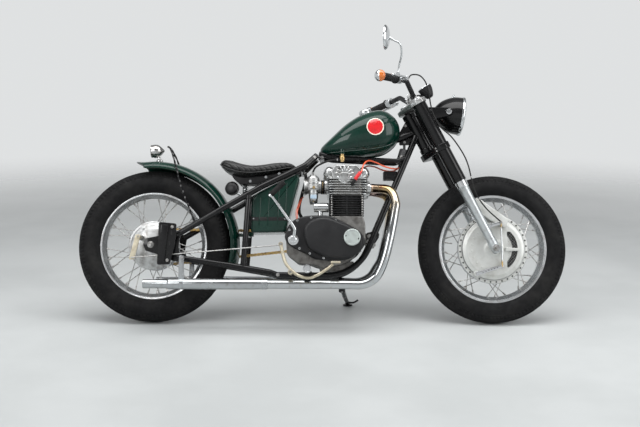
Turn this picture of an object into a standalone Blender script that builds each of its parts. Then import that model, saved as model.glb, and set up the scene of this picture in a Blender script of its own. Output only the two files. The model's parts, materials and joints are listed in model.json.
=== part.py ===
"""A hardtail bobber motorcycle with a parallel-twin engine, parked on its side stand.

The machine is modelled upright, with x = 0 at the rear axle, +X forwards, +Y to the rider's
left and z = 0 on the ground line.  At the end one empty leans it onto its side stand and puts
the origin under the middle of its outline.  Lengths are metres.
"""
import math

import bpy
import bmesh
from mathutils import Matrix, Vector

# Stance: what sets the whole machine's outline
WHEELBASE = 1.5175
LEAN = math.radians(15)
RAKE = math.radians(27.3)
FORK_OFFSET = 0.050
TOUCH = 0.0003
AXLE_PLAY = 0.0006
WHEEL_FACETS = 32

# Rims and the tyres that stand on them
RIM_OUTER = 0.242
REAR_TYRE_HEIGHT = 0.0985
REAR_TYRE_RADIUS = RIM_OUTER + REAR_TYRE_HEIGHT
REAR_TYRE_CROWN = 0.057
FRONT_TYRE_HEIGHT = 0.090
FRONT_TYRE_RADIUS = RIM_OUTER + FRONT_TYRE_HEIGHT
FRONT_TYRE_CROWN = 0.052


def axle_height(radius, crown):
    """Height of an axle above the ground line of a machine that rests on its leaned tyre."""
    return radius - crown + crown / math.cos(LEAN)


REAR_AXLE_Z = axle_height(REAR_TYRE_RADIUS, REAR_TYRE_CROWN)
FRONT_AXLE_Z = axle_height(FRONT_TYRE_RADIUS, FRONT_TYRE_CROWN)
REAR_AXLE = Vector((0, 0, REAR_AXLE_Z))
FRONT_AXLE = Vector((WHEELBASE, 0, FRONT_AXLE_Z))

ACROSS = Vector((0, 1, 0))
UP = Vector((0, 0, 1))
FORK_UP = Vector((-math.sin(RAKE), 0, math.cos(RAKE)))
FORK_AHEAD = Vector((math.cos(RAKE), 0, math.sin(RAKE)))


def on_fork(up, ahead=0.0, y=0.0):
    """A point beside the fork: up along its legs from the axle, ahead of them, and across."""
    return FRONT_AXLE + FORK_UP * up + FORK_AHEAD * ahead + ACROSS * y


# Solids and how they are joined

def link(name, mesh):
    solid = bpy.data.objects.new(name, mesh)
    bpy.context.scene.collection.objects.link(solid)
    return solid


def from_bmesh(bm, name="solid"):
    bmesh.ops.recalc_face_normals(bm, faces=bm.faces)
    if bm.calc_volume(signed=True) < 0:
        bmesh.ops.reverse_faces(bm, faces=bm.faces)
    mesh = bpy.data.meshes.new(name)
    bm.to_mesh(mesh)
    bm.free()
    return link(name, mesh)


def skin(rings, closed_path=False):
    """A closed solid through rings of equally many points; its ends are capped unless it loops."""
    bm = bmesh.new()
    rows = [[bm.verts.new(point) for point in ring] for ring in rings]
    count = len(rows[0])
    pairs = list(zip(rows, rows[1:]))
    if closed_path:
        pairs.append((rows[-1], rows[0]))
    else:
        bm.faces.new(rows[0])
        bm.faces.new(rows[-1])
    for low, high in pairs:
        for k in range(count):
            bm.faces.new((low[k], low[(k + 1) % count], high[(k + 1) % count], high[k]))
    return from_bmesh(bm)


def side_of(axis):
    """Any unit vector square to an axis."""
    helper = ACROSS if abs(axis.dot(ACROSS)) < 0.9 else UP
    return axis.cross(helper).normalized()


def turned(profile, centre, axis, facets=20, looped=False, start=0.0):
    """A turned solid: profile points are (distance along the axis, radius)."""
    axis = Vector(axis).normalized()
    right = side_of(axis)
    ahead = axis.cross(right)
    rings = []
    for k in range(facets):
        angle = start + 2 * math.pi * k / facets
        spoke = right * math.cos(angle) + ahead * math.sin(angle)
        rings.append([Vector(centre) + axis * along + spoke * radius for along, radius in profile])
    if looped:
        return skin(rings, closed_path=True)
    bm = bmesh.new()
    columns = [[bm.verts.new(point) for point in ring] for ring in rings]
    for k in range(facets):
        low = columns[k]
        high = columns[(k + 1) % facets]
        for j in range(len(profile) - 1):
            bm.faces.new((low[j], low[j + 1], high[j + 1], high[j]))
    bm.faces.new([column[0] for column in columns])
    bm.faces.new([column[-1] for column in columns])
    return from_bmesh(bm)


def rod(start, end, radius, facets=8):
    """A round bar between two points."""
    start = Vector(start)
    reach = Vector(end) - start
    return turned([(0, radius), (reach.length, radius)], start, reach, facets)


def tube(path, radius, facets=8):
    """A round bar swept along a path; the radius is one value, or one for each point."""
    path = [Vector(point) for point in path]
    radii = radius if isinstance(radius, (list, tuple)) else [radius] * len(path)
    rings = []
    right = None
    for k, point in enumerate(path):
        before = (point - path[k - 1]).normalized() if k else (path[1] - point).normalized()
        after = (path[k + 1] - point).normalized() if k + 1 < len(path) else before
        heading = (before + after).normalized()
        if right is None:
            right = side_of(heading)
        right = (right - heading * right.dot(heading)).normalized()
        ahead = heading.cross(right)
        rings.append([point + (right * math.cos(2 * math.pi * j / facets)
                               + ahead * math.sin(2 * math.pi * j / facets)) * radii[k]
                      for j in range(facets)])
    return skin(rings)


def bent(corners, radius, steps=3):
    """A path of straight runs whose corners are arcs of the given radius."""
    corners = [Vector(corner) for corner in corners]
    path = [corners[0]]
    for before, corner, after in zip(corners, corners[1:], corners[2:]):
        incoming = (corner - before).normalized()
        outgoing = (after - corner).normalized()
        turn = incoming.angle(outgoing)
        if turn < 1e-4:
            continue
        reach = radius * math.tan(turn / 2)
        hinge = incoming.cross(outgoing).normalized()
        first = corner - incoming * reach
        middle = first + hinge.cross(incoming) * radius
        for k in range(steps + 1):
            path.append(middle + Matrix.Rotation(turn * k / steps, 3, hinge) @ (first - middle))
    path.append(corners[-1])
    return path


def flowing(points, steps=2):
    """A smooth path through hand-picked points."""
    points = [Vector(point) for point in points]
    ends = [points[0] * 2 - points[1]] + points + [points[-1] * 2 - points[-2]]
    path = []
    for a, b, c, d in zip(ends, ends[1:], ends[2:], ends[3:]):
        for k in range(steps):
            t = k / steps
            path.append(0.5 * (2 * b + (c - a) * t + (2 * a - 5 * b + 4 * c - d) * t ** 2
                               + (3 * b - a - 3 * c + d) * t ** 3))
    path.append(points[-1])
    return path


def plate(outline, y_from, y_to):
    """An outline of (x, z) points made solid across the machine."""
    return skin([[(x, y, z) for x, z in outline] for y in (y_from, y_to)])


def shrunk(outline, amount):
    """An outline moved inwards by an amount, along the bisector at each point."""
    points = [Vector(point) for point in outline]
    area = sum(a.x * b.y - b.x * a.y for a, b in zip(points, points[1:] + points[:1]))
    inward = 1 if area > 0 else -1
    moved = []
    for k, point in enumerate(points):
        run = (points[(k + 1) % len(points)] - points[k - 1]).normalized()
        moved.append((point.x - run.y * inward * amount, point.y + run.x * inward * amount))
    return moved


def cushioned_plate(outline, y_from, y_to, edge):
    """A plate whose outer rim, on its y_to side, is rounded off."""
    out = 1 if y_to > y_from else -1
    layers = [(y_from, 0.0), (y_to - out * edge, 0.0), (y_to - out * edge * 0.3, edge * 0.3), (y_to, edge)]
    return skin([[(x, y, z) for x, z in shrunk(outline, inset)] for y, inset in layers])


def pillow_plate(outline, y_from, y_to, edge):
    """A plate whose rims are rounded off on both sides."""
    out = 1 if y_to > y_from else -1
    layers = [(y_from, edge), (y_from + out * edge * 0.3, edge * 0.3), (y_from + out * edge, 0.0),
              (y_to - out * edge, 0.0), (y_to - out * edge * 0.3, edge * 0.3), (y_to, edge)]
    return skin([[(x, y, z) for x, z in shrunk(outline, inset)] for y, inset in layers])


def block(low, high):
    """A box between two corners."""
    return plate([(low[0], low[2]), (high[0], low[2]), (high[0], high[2]), (low[0], high[2])],
                 low[1], high[1])


def placed(solid, matrix):
    solid.data.transform(matrix)
    return solid


def on_left(solid):
    """The same solid mirrored to the other side of the machine."""
    twin = link(solid.name, solid.data.copy())
    bm = bmesh.new()
    bm.from_mesh(twin.data)
    bmesh.ops.scale(bm, vec=(1, -1, 1), verts=bm.verts)
    bmesh.ops.reverse_faces(bm, faces=bm.faces)
    bm.to_mesh(twin.data)
    bm.free()
    return twin


def combined(base, others, operation):
    """The base solid with the others joined to it or cut from it."""
    group = bpy.data.collections.new("operands")
    for other in others:
        group.objects.link(other)
    modifier = base.modifiers.new(operation.lower(), "BOOLEAN")
    modifier.operation = operation
    modifier.solver = "EXACT"
    modifier.operand_type = "COLLECTION"
    modifier.collection = group
    graph = bpy.context.evaluated_depsgraph_get()
    mesh = bpy.data.meshes.new_from_object(base.evaluated_get(graph))
    base.modifiers.clear()
    base.data = mesh
    for other in others:
        bpy.data.objects.remove(other)
    bpy.data.collections.remove(group)
    bm = bmesh.new()
    bm.from_mesh(mesh)
    bmesh.ops.remove_doubles(bm, verts=bm.verts, dist=2e-6)
    bmesh.ops.dissolve_degenerate(bm, edges=bm.edges, dist=2e-6)
    bm.to_mesh(mesh)
    bm.free()
    return base


def fused(*solids):
    return combined(solids[0], solids[1:], "UNION")


def cut(base, *cutters):
    return combined(base, cutters, "DIFFERENCE")


def clear_bore(radius, facets):
    """Corner radius of a many-sided bore whose flats stay just clear of a round bar."""
    return (radius + TOUCH) / math.cos(math.pi / facets)


# Materials and the tree of bodies

def finish(name, colour, roughness, metallic=0.0):
    material = bpy.data.materials.new(name)
    material.use_nodes = True
    shader = material.node_tree.nodes["Principled BSDF"]
    shader.inputs["Base Color"].default_value = (*colour, 1)
    shader.inputs["Roughness"].default_value = roughness
    shader.inputs["Metallic"].default_value = metallic
    return material


def axis_empty(name, at, parent=None):
    """An empty on a joint's axis; what turns about the joint hangs from it."""
    empty = bpy.data.objects.new(name, None)
    bpy.context.scene.collection.objects.link(empty)
    empty.parent = parent
    empty.location = Vector(at) - (carried_from(parent) if parent else Vector())
    return empty


def carried_from(empty):
    """Where an empty of the upright machine sits."""
    place = Vector()
    while empty:
        place += empty.location
        empty = empty.parent
    return place


def piece(name, solid, material, parent):
    """One named sub-part, hung from its body's empty with its mesh about that empty."""
    solid.name = name
    solid.data.name = name
    solid.data.materials.clear()
    solid.data.materials.append(material)
    solid.data.transform(Matrix.Translation(-carried_from(parent)))
    solid.parent = parent
    solid.data.shade_smooth()
    solid.data.set_sharp_from_angle(angle=math.radians(35))
    return solid


for leftover in list(bpy.data.objects):
    bpy.data.objects.remove(leftover)

BLACK_PAINT = finish("black_paint", (0.012, 0.012, 0.013), 0.22)
GREEN_PAINT = finish("green_paint", (0.006, 0.045, 0.030), 0.12)
SATIN_BLACK = finish("satin_black", (0.022, 0.023, 0.025), 0.5)
CHROME = finish("chrome", (0.80, 0.81, 0.82), 0.08, 1.0)
ALLOY = finish("cast_alloy", (0.62, 0.63, 0.63), 0.34, 1.0)
POLISHED = finish("polished_alloy", (0.78, 0.79, 0.80), 0.16, 1.0)
LEAD_ORANGE = finish("orange_lead", (0.75, 0.16, 0.05), 0.45)
RUBBER = finish("rubber", (0.018, 0.018, 0.018), 0.75)
LEATHER = finish("leather", (0.014, 0.014, 0.014), 0.45)
CHAIN_GOLD = finish("chain_gold", (0.62, 0.42, 0.16), 0.38, 1.0)
CHAMPAGNE = finish("champagne_alloy", (0.60, 0.55, 0.42), 0.4, 0.8)
GREY_CASE = finish("grey_case", (0.18, 0.18, 0.18), 0.5)
BRASS = finish("brass", (0.62, 0.46, 0.24), 0.35, 1.0)

PARKED = axis_empty("parked_machine", (0, 0, 0))
STEERING = axis_empty("steering_axis", on_fork(0.62, -FORK_OFFSET), PARKED)
FRONT_HUB = axis_empty("front_wheel_axis", FRONT_AXLE, STEERING)
REAR_HUB = axis_empty("rear_wheel_axis", REAR_AXLE, PARKED)

# Wheels: drop-centre rims laced to drum hubs with crossed spokes, under balloon tyres
RIM_HALF_WIDTH = 0.0335
RIM_WALL = 0.003
RIM_LIP = 0.0083
RIM_SEAT = RIM_OUTER - RIM_LIP
RIM_WELL_DEPTH = 0.028
RIM_WELL = RIM_OUTER - RIM_WELL_DEPTH
RIM_WELL_HALF = 0.012
SPOKE_RADIUS = 0.0021
SPOKES_PER_SIDE = 18
SPOKE_CROSSING = math.radians(17)
SPOKE_STAGGER = 0.0032
AXLE_RADIUS = 0.0085
FRONT_FLANGE_RADIUS = 0.146
FRONT_FLANGE_Y = 0.034
FRONT_DRUM_RIM = 0.155
FRONT_DRUM_WALL = 0.006
REAR_FLANGE_RADIUS = 0.100
REAR_FLANGE_Y = 0.038
REAR_DRUM_RIM = 0.108
FLANGE_THICK = 0.006


def tyre(axle, radius, crown):
    """A balloon tyre down to its beads; one facet edge lies where the leaned machine rests."""
    lip = RIM_OUTER + TOUCH
    bead_y = RIM_HALF_WIDTH - RIM_WALL - TOUCH
    angles = [LEAN * (2 * k - 9) for k in range(10)]
    section = [(-bead_y, RIM_SEAT + TOUCH), (-bead_y, lip)]
    section += [(crown * math.sin(angle), max(radius - crown + crown * math.cos(angle), lip))
                for angle in angles]
    section += [(bead_y, lip), (bead_y, RIM_SEAT + TOUCH)]
    return turned(section, axle, ACROSS, WHEEL_FACETS, looped=True)


def rim(axle):
    bead_y = RIM_HALF_WIDTH - RIM_WALL
    half = [(bead_y, RIM_SEAT), (bead_y, RIM_OUTER), (RIM_HALF_WIDTH, RIM_OUTER),
            (RIM_HALF_WIDTH, RIM_SEAT - RIM_WALL), (RIM_WELL_HALF, RIM_WELL)]
    section = half + [(-y, radius) for y, radius in reversed(half)]
    return turned(section, axle, ACROSS, WHEEL_FACETS, looped=True)


def spokes(axle, flange_radius, flange_y):
    """Crossed spokes from both flanges; neighbours sit inside and outside their flange."""
    laced = []
    pitch = 2 * math.pi / SPOKES_PER_SIDE
    for side in (-1, 1):
        for k in range(SPOKES_PER_SIDE):
            lean = 1 if k % 2 else -1
            hub_angle = pitch * k + (pitch / 2 if side > 0 else 0)
            rim_angle = hub_angle + lean * SPOKE_CROSSING
            hub_y = side * (flange_y + lean * SPOKE_STAGGER)
            low = Vector((math.cos(hub_angle) * flange_radius, hub_y, math.sin(hub_angle) * flange_radius))
            high_radius = RIM_WELL + RIM_WALL / 2
            high = Vector((math.cos(rim_angle) * high_radius, side * RIM_WELL_HALF / 2,
                           math.sin(rim_angle) * high_radius))
            laced.append(rod(axle + low, axle + high, SPOKE_RADIUS, 3))
    return laced


def front_hub():
    """The wide front drum, open towards the brake plate on the right."""
    bore = AXLE_RADIUS + AXLE_PLAY
    section = [(-FRONT_FLANGE_Y - FLANGE_THICK, FRONT_DRUM_RIM),
               (-FRONT_FLANGE_Y + FLANGE_THICK, FRONT_DRUM_RIM),
               (-FRONT_FLANGE_Y + FLANGE_THICK * 1.5, FRONT_FLANGE_RADIUS - 0.006),
               (FRONT_FLANGE_Y - FLANGE_THICK, FRONT_FLANGE_RADIUS - 0.006),
               (FRONT_FLANGE_Y - FLANGE_THICK, FRONT_FLANGE_RADIUS + 0.005),
               (FRONT_FLANGE_Y + FLANGE_THICK, FRONT_FLANGE_RADIUS + 0.005),
               (FRONT_FLANGE_Y + FLANGE_THICK * 2, 0.050), (FRONT_FLANGE_Y + FLANGE_THICK * 2, bore),
               (-0.020, bore), (-0.020, FRONT_FLANGE_RADIUS - FRONT_DRUM_WALL),
               (-FRONT_FLANGE_Y - FLANGE_THICK, FRONT_FLANGE_RADIUS - FRONT_DRUM_WALL)]
    return turned(section, FRONT_AXLE, ACROSS, 24, looped=True)


# Chain line: two toothed wheels and the loop of links between them
CHAIN_Y = 0.085
CHAIN_PITCH = 0.015875
REAR_TEETH = 33
FRONT_TEETH = 17
CHAIN_PLATE_HALF = 0.0070
CHAIN_INNER_HALF_WIDTH = 0.0055
CHAIN_OUTER_HALF_WIDTH = 0.0080
SPROCKET_THICK = 0.007
SPROCKET_CLEAR = 0.0030
GEARBOX_SHAFT = Vector((0.640, 0, 0.375))


def pitch_radius(teeth):
    return CHAIN_PITCH / (2 * math.sin(math.pi / teeth))


def sprocket(centre, teeth, clear):
    """A toothed wheel whose tips stay clear inside the loop of links."""
    tip = pitch_radius(teeth) - CHAIN_PLATE_HALF - clear
    ring = []
    for k in range(teeth):
        for part, radius in ((-0.32, tip - 0.0045), (0.0, tip), (0.32, tip - 0.0045)):
            angle = 2 * math.pi * (k + part) / teeth
            ring.append((centre.x + math.cos(angle) * radius, centre.z + math.sin(angle) * radius))
    return plate(ring, CHAIN_Y - SPROCKET_THICK / 2, CHAIN_Y + SPROCKET_THICK / 2)


def rear_hub():
    """The rear drum, open towards its brake plate, with the sprocket's carrier on the left."""
    bore = AXLE_RADIUS + AXLE_PLAY
    section = [(-REAR_FLANGE_Y - FLANGE_THICK, REAR_DRUM_RIM), (-REAR_FLANGE_Y + FLANGE_THICK, REAR_DRUM_RIM),
               (-REAR_FLANGE_Y + FLANGE_THICK * 1.5, REAR_FLANGE_RADIUS), (-0.008, REAR_FLANGE_RADIUS),
               (-0.004, 0.046), (REAR_FLANGE_Y - FLANGE_THICK * 1.5, 0.046),
               (REAR_FLANGE_Y - FLANGE_THICK, REAR_DRUM_RIM), (REAR_FLANGE_Y + FLANGE_THICK, REAR_DRUM_RIM),
               (REAR_FLANGE_Y + FLANGE_THICK * 1.6, 0.052), (CHAIN_Y + SPROCKET_THICK, 0.040),
               (CHAIN_Y + SPROCKET_THICK, bore), (-0.012, bore), (-0.012, REAR_FLANGE_RADIUS - FLANGE_THICK),
               (-REAR_FLANGE_Y - FLANGE_THICK, REAR_FLANGE_RADIUS - FLANGE_THICK)]
    return turned(section, REAR_AXLE, ACROSS, 20, looped=True)


piece("rear_tyre", tyre(REAR_AXLE, REAR_TYRE_RADIUS, REAR_TYRE_CROWN), RUBBER, REAR_HUB)
toothed = cut(sprocket(REAR_AXLE, REAR_TEETH, SPROCKET_CLEAR),
              rod(REAR_AXLE, REAR_AXLE + ACROSS * 0.2, 0.030, 12))
piece("rear_wheel", fused(rim(REAR_AXLE), rear_hub(), toothed,
                          *spokes(REAR_AXLE, REAR_FLANGE_RADIUS, REAR_FLANGE_Y)), POLISHED, REAR_HUB)
piece("front_tyre", tyre(FRONT_AXLE, FRONT_TYRE_RADIUS, FRONT_TYRE_CROWN), RUBBER, FRONT_HUB)
piece("front_wheel", fused(rim(FRONT_AXLE), front_hub(),
                           *spokes(FRONT_AXLE, FRONT_FLANGE_RADIUS, FRONT_FLANGE_Y)), POLISHED, FRONT_HUB)


def chain_loop():
    """Inner and outer links in turn, laid round both sprockets."""
    rear = pitch_radius(REAR_TEETH)
    front = pitch_radius(FRONT_TEETH)
    gap = Vector((GEARBOX_SHAFT.x, GEARBOX_SHAFT.z)) - Vector((REAR_AXLE.x, REAR_AXLE.z))
    tilt = math.atan2(gap.y, gap.x)
    fall = math.acos((rear - front) / gap.length)
    run = gap.length * math.sin(fall)
    front_arc = 2 * fall
    rear_arc = 2 * (math.pi - fall)
    length = 2 * run + rear * rear_arc + front * front_arc
    links = 2 * round(length / CHAIN_PITCH / 2)

    def at(distance):
        """Place and outward direction at a distance along the loop, as (x, z) pairs."""
        distance %= length
        if distance < run:
            angle = tilt + fall
            along = Vector((math.sin(angle), -math.cos(angle))) * distance
            out = Vector((math.cos(angle), math.sin(angle)))
            return Vector((REAR_AXLE.x, REAR_AXLE.z)) + out * rear + along, out
        distance -= run
        if distance < front * front_arc:
            angle = tilt + fall - distance / front
            out = Vector((math.cos(angle), math.sin(angle)))
            return Vector((GEARBOX_SHAFT.x, GEARBOX_SHAFT.z)) + out * front, out
        distance -= front * front_arc
        if distance < run:
            angle = tilt - fall
            along = Vector((math.sin(angle), -math.cos(angle))) * distance
            out = Vector((math.cos(angle), math.sin(angle)))
            return Vector((GEARBOX_SHAFT.x, GEARBOX_SHAFT.z)) + out * front + along, out
        distance -= run
        angle = tilt - fall - distance / rear
        out = Vector((math.cos(angle), math.sin(angle)))
        return Vector((REAR_AXLE.x, REAR_AXLE.z)) + out * rear, out

    rings = []
    for k in range(links):
        half_width = CHAIN_OUTER_HALF_WIDTH if k % 2 else CHAIN_INNER_HALF_WIDTH
        for distance in (k, k + 1):
            middle, out = at(distance * length / links)
            ring = []
            for across, rise in ((-1, -1), (1, -1), (1, 1), (-1, 1)):
                spot = middle + out * rise * CHAIN_PLATE_HALF
                ring.append((spot.x, CHAIN_Y + across * half_width, spot.y))
            rings.append(ring)
    return skin(rings, closed_path=True)


piece("chain", chain_loop(), CHAIN_GOLD, PARKED)

# Frame: a bolted-up loop round the engine and a rigid rear triangle
MAIN_TUBE = 0.0135
BACKBONE_TUBE = 0.017
SMALL_TUBE = 0.010
HEAD_TUBE = 0.027
HEAD_LOW = 0.5215
HEAD_HIGH = 0.7145
HEAD_BORE = 0.0145
RAIL_Y = 0.110
RAIL_Z = 0.209
RAIL_BEND = 0.20
DOWNTUBE_TOP = on_fork(0.609, -0.068, 0.020)
DOWNTUBE_FOOT_X = 0.906
FRAME_SPLIT_X = 0.575
TOP_SPLIT = Vector((0.738, 0.062, 0.757))
BACKBONE_HEAD = on_fork(0.629, -0.058)
BACKBONE_KNEE = on_fork(0.638, -0.143)
ENGINE_MOUNT_Z = 0.392
ENGINE_MOUNT_AHEAD = 0.0126
MOUNT_PLATE_Y = 0.052
MOUNT_PLATE = 0.005
CROSSBAR = 0.008
CROSSBAR_Z = 0.664
PEG_X = 0.690
PEG_Z = 0.232
PEDAL_PIVOT = Vector((0.618, 0, 0.220))
BOSS_END_Y = 0.150
STAND_PIVOT = Vector((0.846, 0.104, 0.164))
STAND_FOOT = Vector((0.878, 0.300, 0.300 * math.tan(LEAN)))


def downtube_at(z, side):
    """The middle of a downtube at a height, on its straight run."""
    share = (DOWNTUBE_TOP.z - z) / (DOWNTUBE_TOP.z - RAIL_Z)
    foot = Vector((DOWNTUBE_FOOT_X, RAIL_Y, RAIL_Z))
    spot = DOWNTUBE_TOP.lerp(foot, share)
    return Vector((spot.x, side * spot.y, spot.z))


ENGINE_MOUNT = Vector((downtube_at(ENGINE_MOUNT_Z, 1).x + ENGINE_MOUNT_AHEAD, 0, ENGINE_MOUNT_Z))
STAND_LEG = (STAND_FOOT + Vector((0, 0, 0.006)) - STAND_PIVOT).normalized()
STAND_FOLDED = Vector((-0.99, 0.10, -0.05)).normalized()
STAND_AXIS = STAND_LEG.cross(STAND_FOLDED).normalized()


def front_loop():
    head = turned([(HEAD_LOW, HEAD_TUBE + 0.004), (HEAD_LOW + 0.02, HEAD_TUBE + 0.004),
                   (HEAD_LOW + 0.024, HEAD_TUBE), (HEAD_HIGH - 0.024, HEAD_TUBE),
                   (HEAD_HIGH - 0.02, HEAD_TUBE + 0.004), (HEAD_HIGH, HEAD_TUBE + 0.004)],
                  on_fork(0, -FORK_OFFSET), FORK_UP, 12)
    parts = []
    for side in (-1, 1):
        top = Vector((DOWNTUBE_TOP.x, side * DOWNTUBE_TOP.y, DOWNTUBE_TOP.z))
        foot = (DOWNTUBE_FOOT_X, side * RAIL_Y, RAIL_Z)
        parts.append(tube(bent([top, foot, (FRAME_SPLIT_X, side * RAIL_Y, RAIL_Z + 0.002)], RAIL_BEND, 4),
                          MAIN_TUBE))
        lug = downtube_at(0.744, side)
        parts.append(tube([lug, lug + Vector((-0.050, side * 0.012, -0.016)), (0.800, side * 0.052, 0.742),
                           (TOP_SPLIT.x, side * TOP_SPLIT.y, TOP_SPLIT.z)], SMALL_TUBE, 6))
        parts.append(rod((PEG_X, side * 0.105, PEG_Z - 0.008), (PEG_X, side * BOSS_END_Y, PEG_Z - 0.008),
                         0.011))
        mount = ENGINE_MOUNT
        inner = side * MOUNT_PLATE_Y
        parts.append(plate([(mount.x + 0.008, mount.z + 0.022), (0.952, mount.z + 0.010),
                            (0.950, mount.z - 0.040),
                            (mount.x - 0.020, mount.z - 0.058), (mount.x + 0.010, mount.z - 0.010)],
                           inner, inner + side * MOUNT_PLATE))
    parts.append(tube([BACKBONE_HEAD, BACKBONE_KNEE, (0.752, 0, 0.762)], BACKBONE_TUBE, 10))
    parts.append(rod((0.752, -0.062, 0.743), (0.752, 0.062, 0.743), SMALL_TUBE + 0.002))
    gusset = [(-0.074, -0.060), (-0.074, -0.004), (-0.046, 0.048), (-0.020, 0.042), (0.012, -0.026),
              (-0.006, -0.058)]
    parts.append(plate([(BACKBONE_HEAD.x + x, BACKBONE_HEAD.z + z) for x, z in gusset], -0.004, 0.004))
    parts.append(rod(ENGINE_MOUNT - ACROSS * 0.088, ENGINE_MOUNT + ACROSS * 0.088, SMALL_TUBE))
    low = downtube_at(CROSSBAR_Z, 1)
    parts.append(rod((low.x, -low.y, low.z), low, CROSSBAR, 8))
    parts.append(rod((0.640, -RAIL_Y, RAIL_Z), (0.640, RAIL_Y, RAIL_Z), SMALL_TUBE))
    parts.append(rod((PEDAL_PIVOT.x, -0.105, PEDAL_PIVOT.z), (PEDAL_PIVOT.x, -BOSS_END_Y, PEDAL_PIVOT.z),
                     0.012))
    parts.append(rod(STAND_PIVOT, STAND_PIVOT + STAND_AXIS * 0.042, 0.015, 10))
    bore = rod(on_fork(HEAD_LOW - 0.01, -FORK_OFFSET), on_fork(HEAD_HIGH + 0.01, -FORK_OFFSET), HEAD_BORE, 12)
    return cut(fused(head, *parts), bore)


GUARD_GAP = 0.0435
GUARD_SIDE_GAP = 0.0175
GUARD_RADIUS = REAR_TYRE_RADIUS + GUARD_GAP
GUARD_HALF_WIDTH = REAR_TYRE_CROWN + GUARD_SIDE_GAP
GUARD_TOP_Z = REAR_AXLE_Z + GUARD_RADIUS
POST_GAP = 0.031
POST_X = REAR_AXLE.x + GUARD_RADIUS + POST_GAP
STAY_REAR_Y = 0.112
STAY_REAR_X = 0.113
CROSS_LOW_Z = 0.392
SEAT_CROSS = Vector((POST_X - 0.010, 0, 0.560))
NOSE_CROSS = Vector((0.664, 0, 0.681))
AXLE_PLATE_Y = 0.106
AXLE_PLATE = 0.008
UPPER_STAY = [Vector((0.676, 0.090, 0.698)), Vector((0.482, 0.110, 0.600)), Vector((0.291, 0.118, 0.489)),
              Vector((STAY_REAR_X, STAY_REAR_Y, REAR_AXLE_Z + 0.0435))]
LOWER_STAY = [Vector((0.527, RAIL_Y + 0.002, 0.222)), Vector((0.350, 0.116, 0.252)),
              Vector((STAY_REAR_X, STAY_REAR_Y, REAR_AXLE_Z - 0.0565))]
AXLE_PLATE_OUTLINE = [(0.132, 0.0575), (0.100, 0.0615), (0.020, 0.0355), (-0.022, 0.0275), (-0.034, 0.0),
                      (-0.022, -0.0275), (0.020, -0.0385), (0.100, -0.0725), (0.134, -0.0725), (0.122,
                                                                                                -0.0075)]


def mirrored_point(point, side):
    return Vector((point.x, side * point.y, point.z))


def lower_stay_at(x):
    """The middle of a left lower stay at a distance ahead of the axle."""
    ahead, behind = LOWER_STAY[-2:]
    return behind.lerp(ahead, (x - behind.x) / (ahead.x - behind.x))


def hardtail():
    parts = []
    for side in (-1, 1):
        upper = [mirrored_point(TOP_SPLIT, side) + Vector((-0.010, 0, -0.009))]
        upper += [mirrored_point(point, side) for point in UPPER_STAY]
        parts.append(tube(upper, MAIN_TUBE))
        joint = Vector((FRAME_SPLIT_X - TOUCH, side * RAIL_Y, RAIL_Z + 0.002))
        lower = [joint, joint - Vector((0.020, 0, 0))]
        lower += [mirrored_point(point, side) for point in LOWER_STAY]
        parts.append(tube(lower, MAIN_TUBE))
        parts.append(rod((POST_X - 0.008, side * 0.1145, 0.240), (POST_X + 0.014, side * 0.1125, 0.568),
                         0.0125))
        plate_y = side * AXLE_PLATE_Y
        outline = [(REAR_AXLE.x + x, REAR_AXLE.z + z) for x, z in AXLE_PLATE_OUTLINE]
        parts.append(cut(plate(outline, plate_y, plate_y + side * AXLE_PLATE),
                         rod(REAR_AXLE - ACROSS * 0.2, REAR_AXLE + ACROSS * 0.2, AXLE_RADIUS + AXLE_PLAY,
                             16)))
    parts.append(rod((POST_X, -0.112, CROSS_LOW_Z), (POST_X, 0.112, CROSS_LOW_Z), SMALL_TUBE))
    parts.append(rod(SEAT_CROSS - ACROSS * 0.112, SEAT_CROSS + ACROSS * 0.112, SMALL_TUBE))
    parts.append(rod(NOSE_CROSS - ACROSS * 0.090, NOSE_CROSS + ACROSS * 0.090, SMALL_TUBE))
    return fused(*parts)


piece("front_loop", front_loop(), BLACK_PAINT, PARKED)
piece("hardtail", hardtail(), BLACK_PAINT, PARKED)

# Axles through the wheels, with their nuts
NUT_RADIUS = 0.015
FORK_HALF_TRACK = 0.100
SLIDER_FOOT_RADIUS = 0.0225


def axle(at, half_length, nut_from):
    bar = rod(at - ACROSS * half_length, at + ACROSS * half_length, AXLE_RADIUS, 10)
    nuts = [turned([(side * nut_from, NUT_RADIUS), (side * (nut_from + 0.010), NUT_RADIUS)], at, ACROSS, 6)
            for side in (-1, 1)]
    return fused(bar, *nuts)


piece("rear_axle", axle(REAR_AXLE, 0.136, AXLE_PLATE_Y + AXLE_PLATE + TOUCH), POLISHED, PARKED)
piece("front_axle", axle(FRONT_AXLE, 0.138, FORK_HALF_TRACK + SLIDER_FOOT_RADIUS + TOUCH), POLISHED, STEERING)

# Engine: crankcase, finned barrels and head, covers and carburettors
CASE_HALF_WIDTH = 0.128
CASE_TOP = 0.470
BARREL_TOP = 0.5647
HEAD_FIN_TOP = 0.642
CASE_OUTLINE = [(0.698, 0.262), (0.700, 0.462), (0.775, CASE_TOP), (0.932, CASE_TOP), (0.942, 0.440),
                (0.944, 0.372), (0.925, 0.330), (0.892, 0.288), (0.850, 0.260), (0.760, 0.240)]
GEARBOX_OUTLINE = [(0.600, 0.300), (0.594, 0.372), (0.618, 0.438), (0.660, 0.458), (0.720, 0.462),
                   (0.720, 0.256), (0.650, 0.262)]
GEARBOX_LEFT_Y = 0.070
COVER_OUTLINE = [(0.590, 0.372), (0.603, 0.419), (0.631, 0.450), (0.673, 0.466), (0.725, 0.471),
                 (0.791, 0.467),
                 (0.871, 0.430), (0.913, 0.404), (0.937, 0.372), (0.936, 0.335), (0.895, 0.293), (0.852,
                                                                                                  0.276),
                 (0.791, 0.273), (0.726, 0.279), (0.683, 0.301), (0.617, 0.334)]
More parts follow.
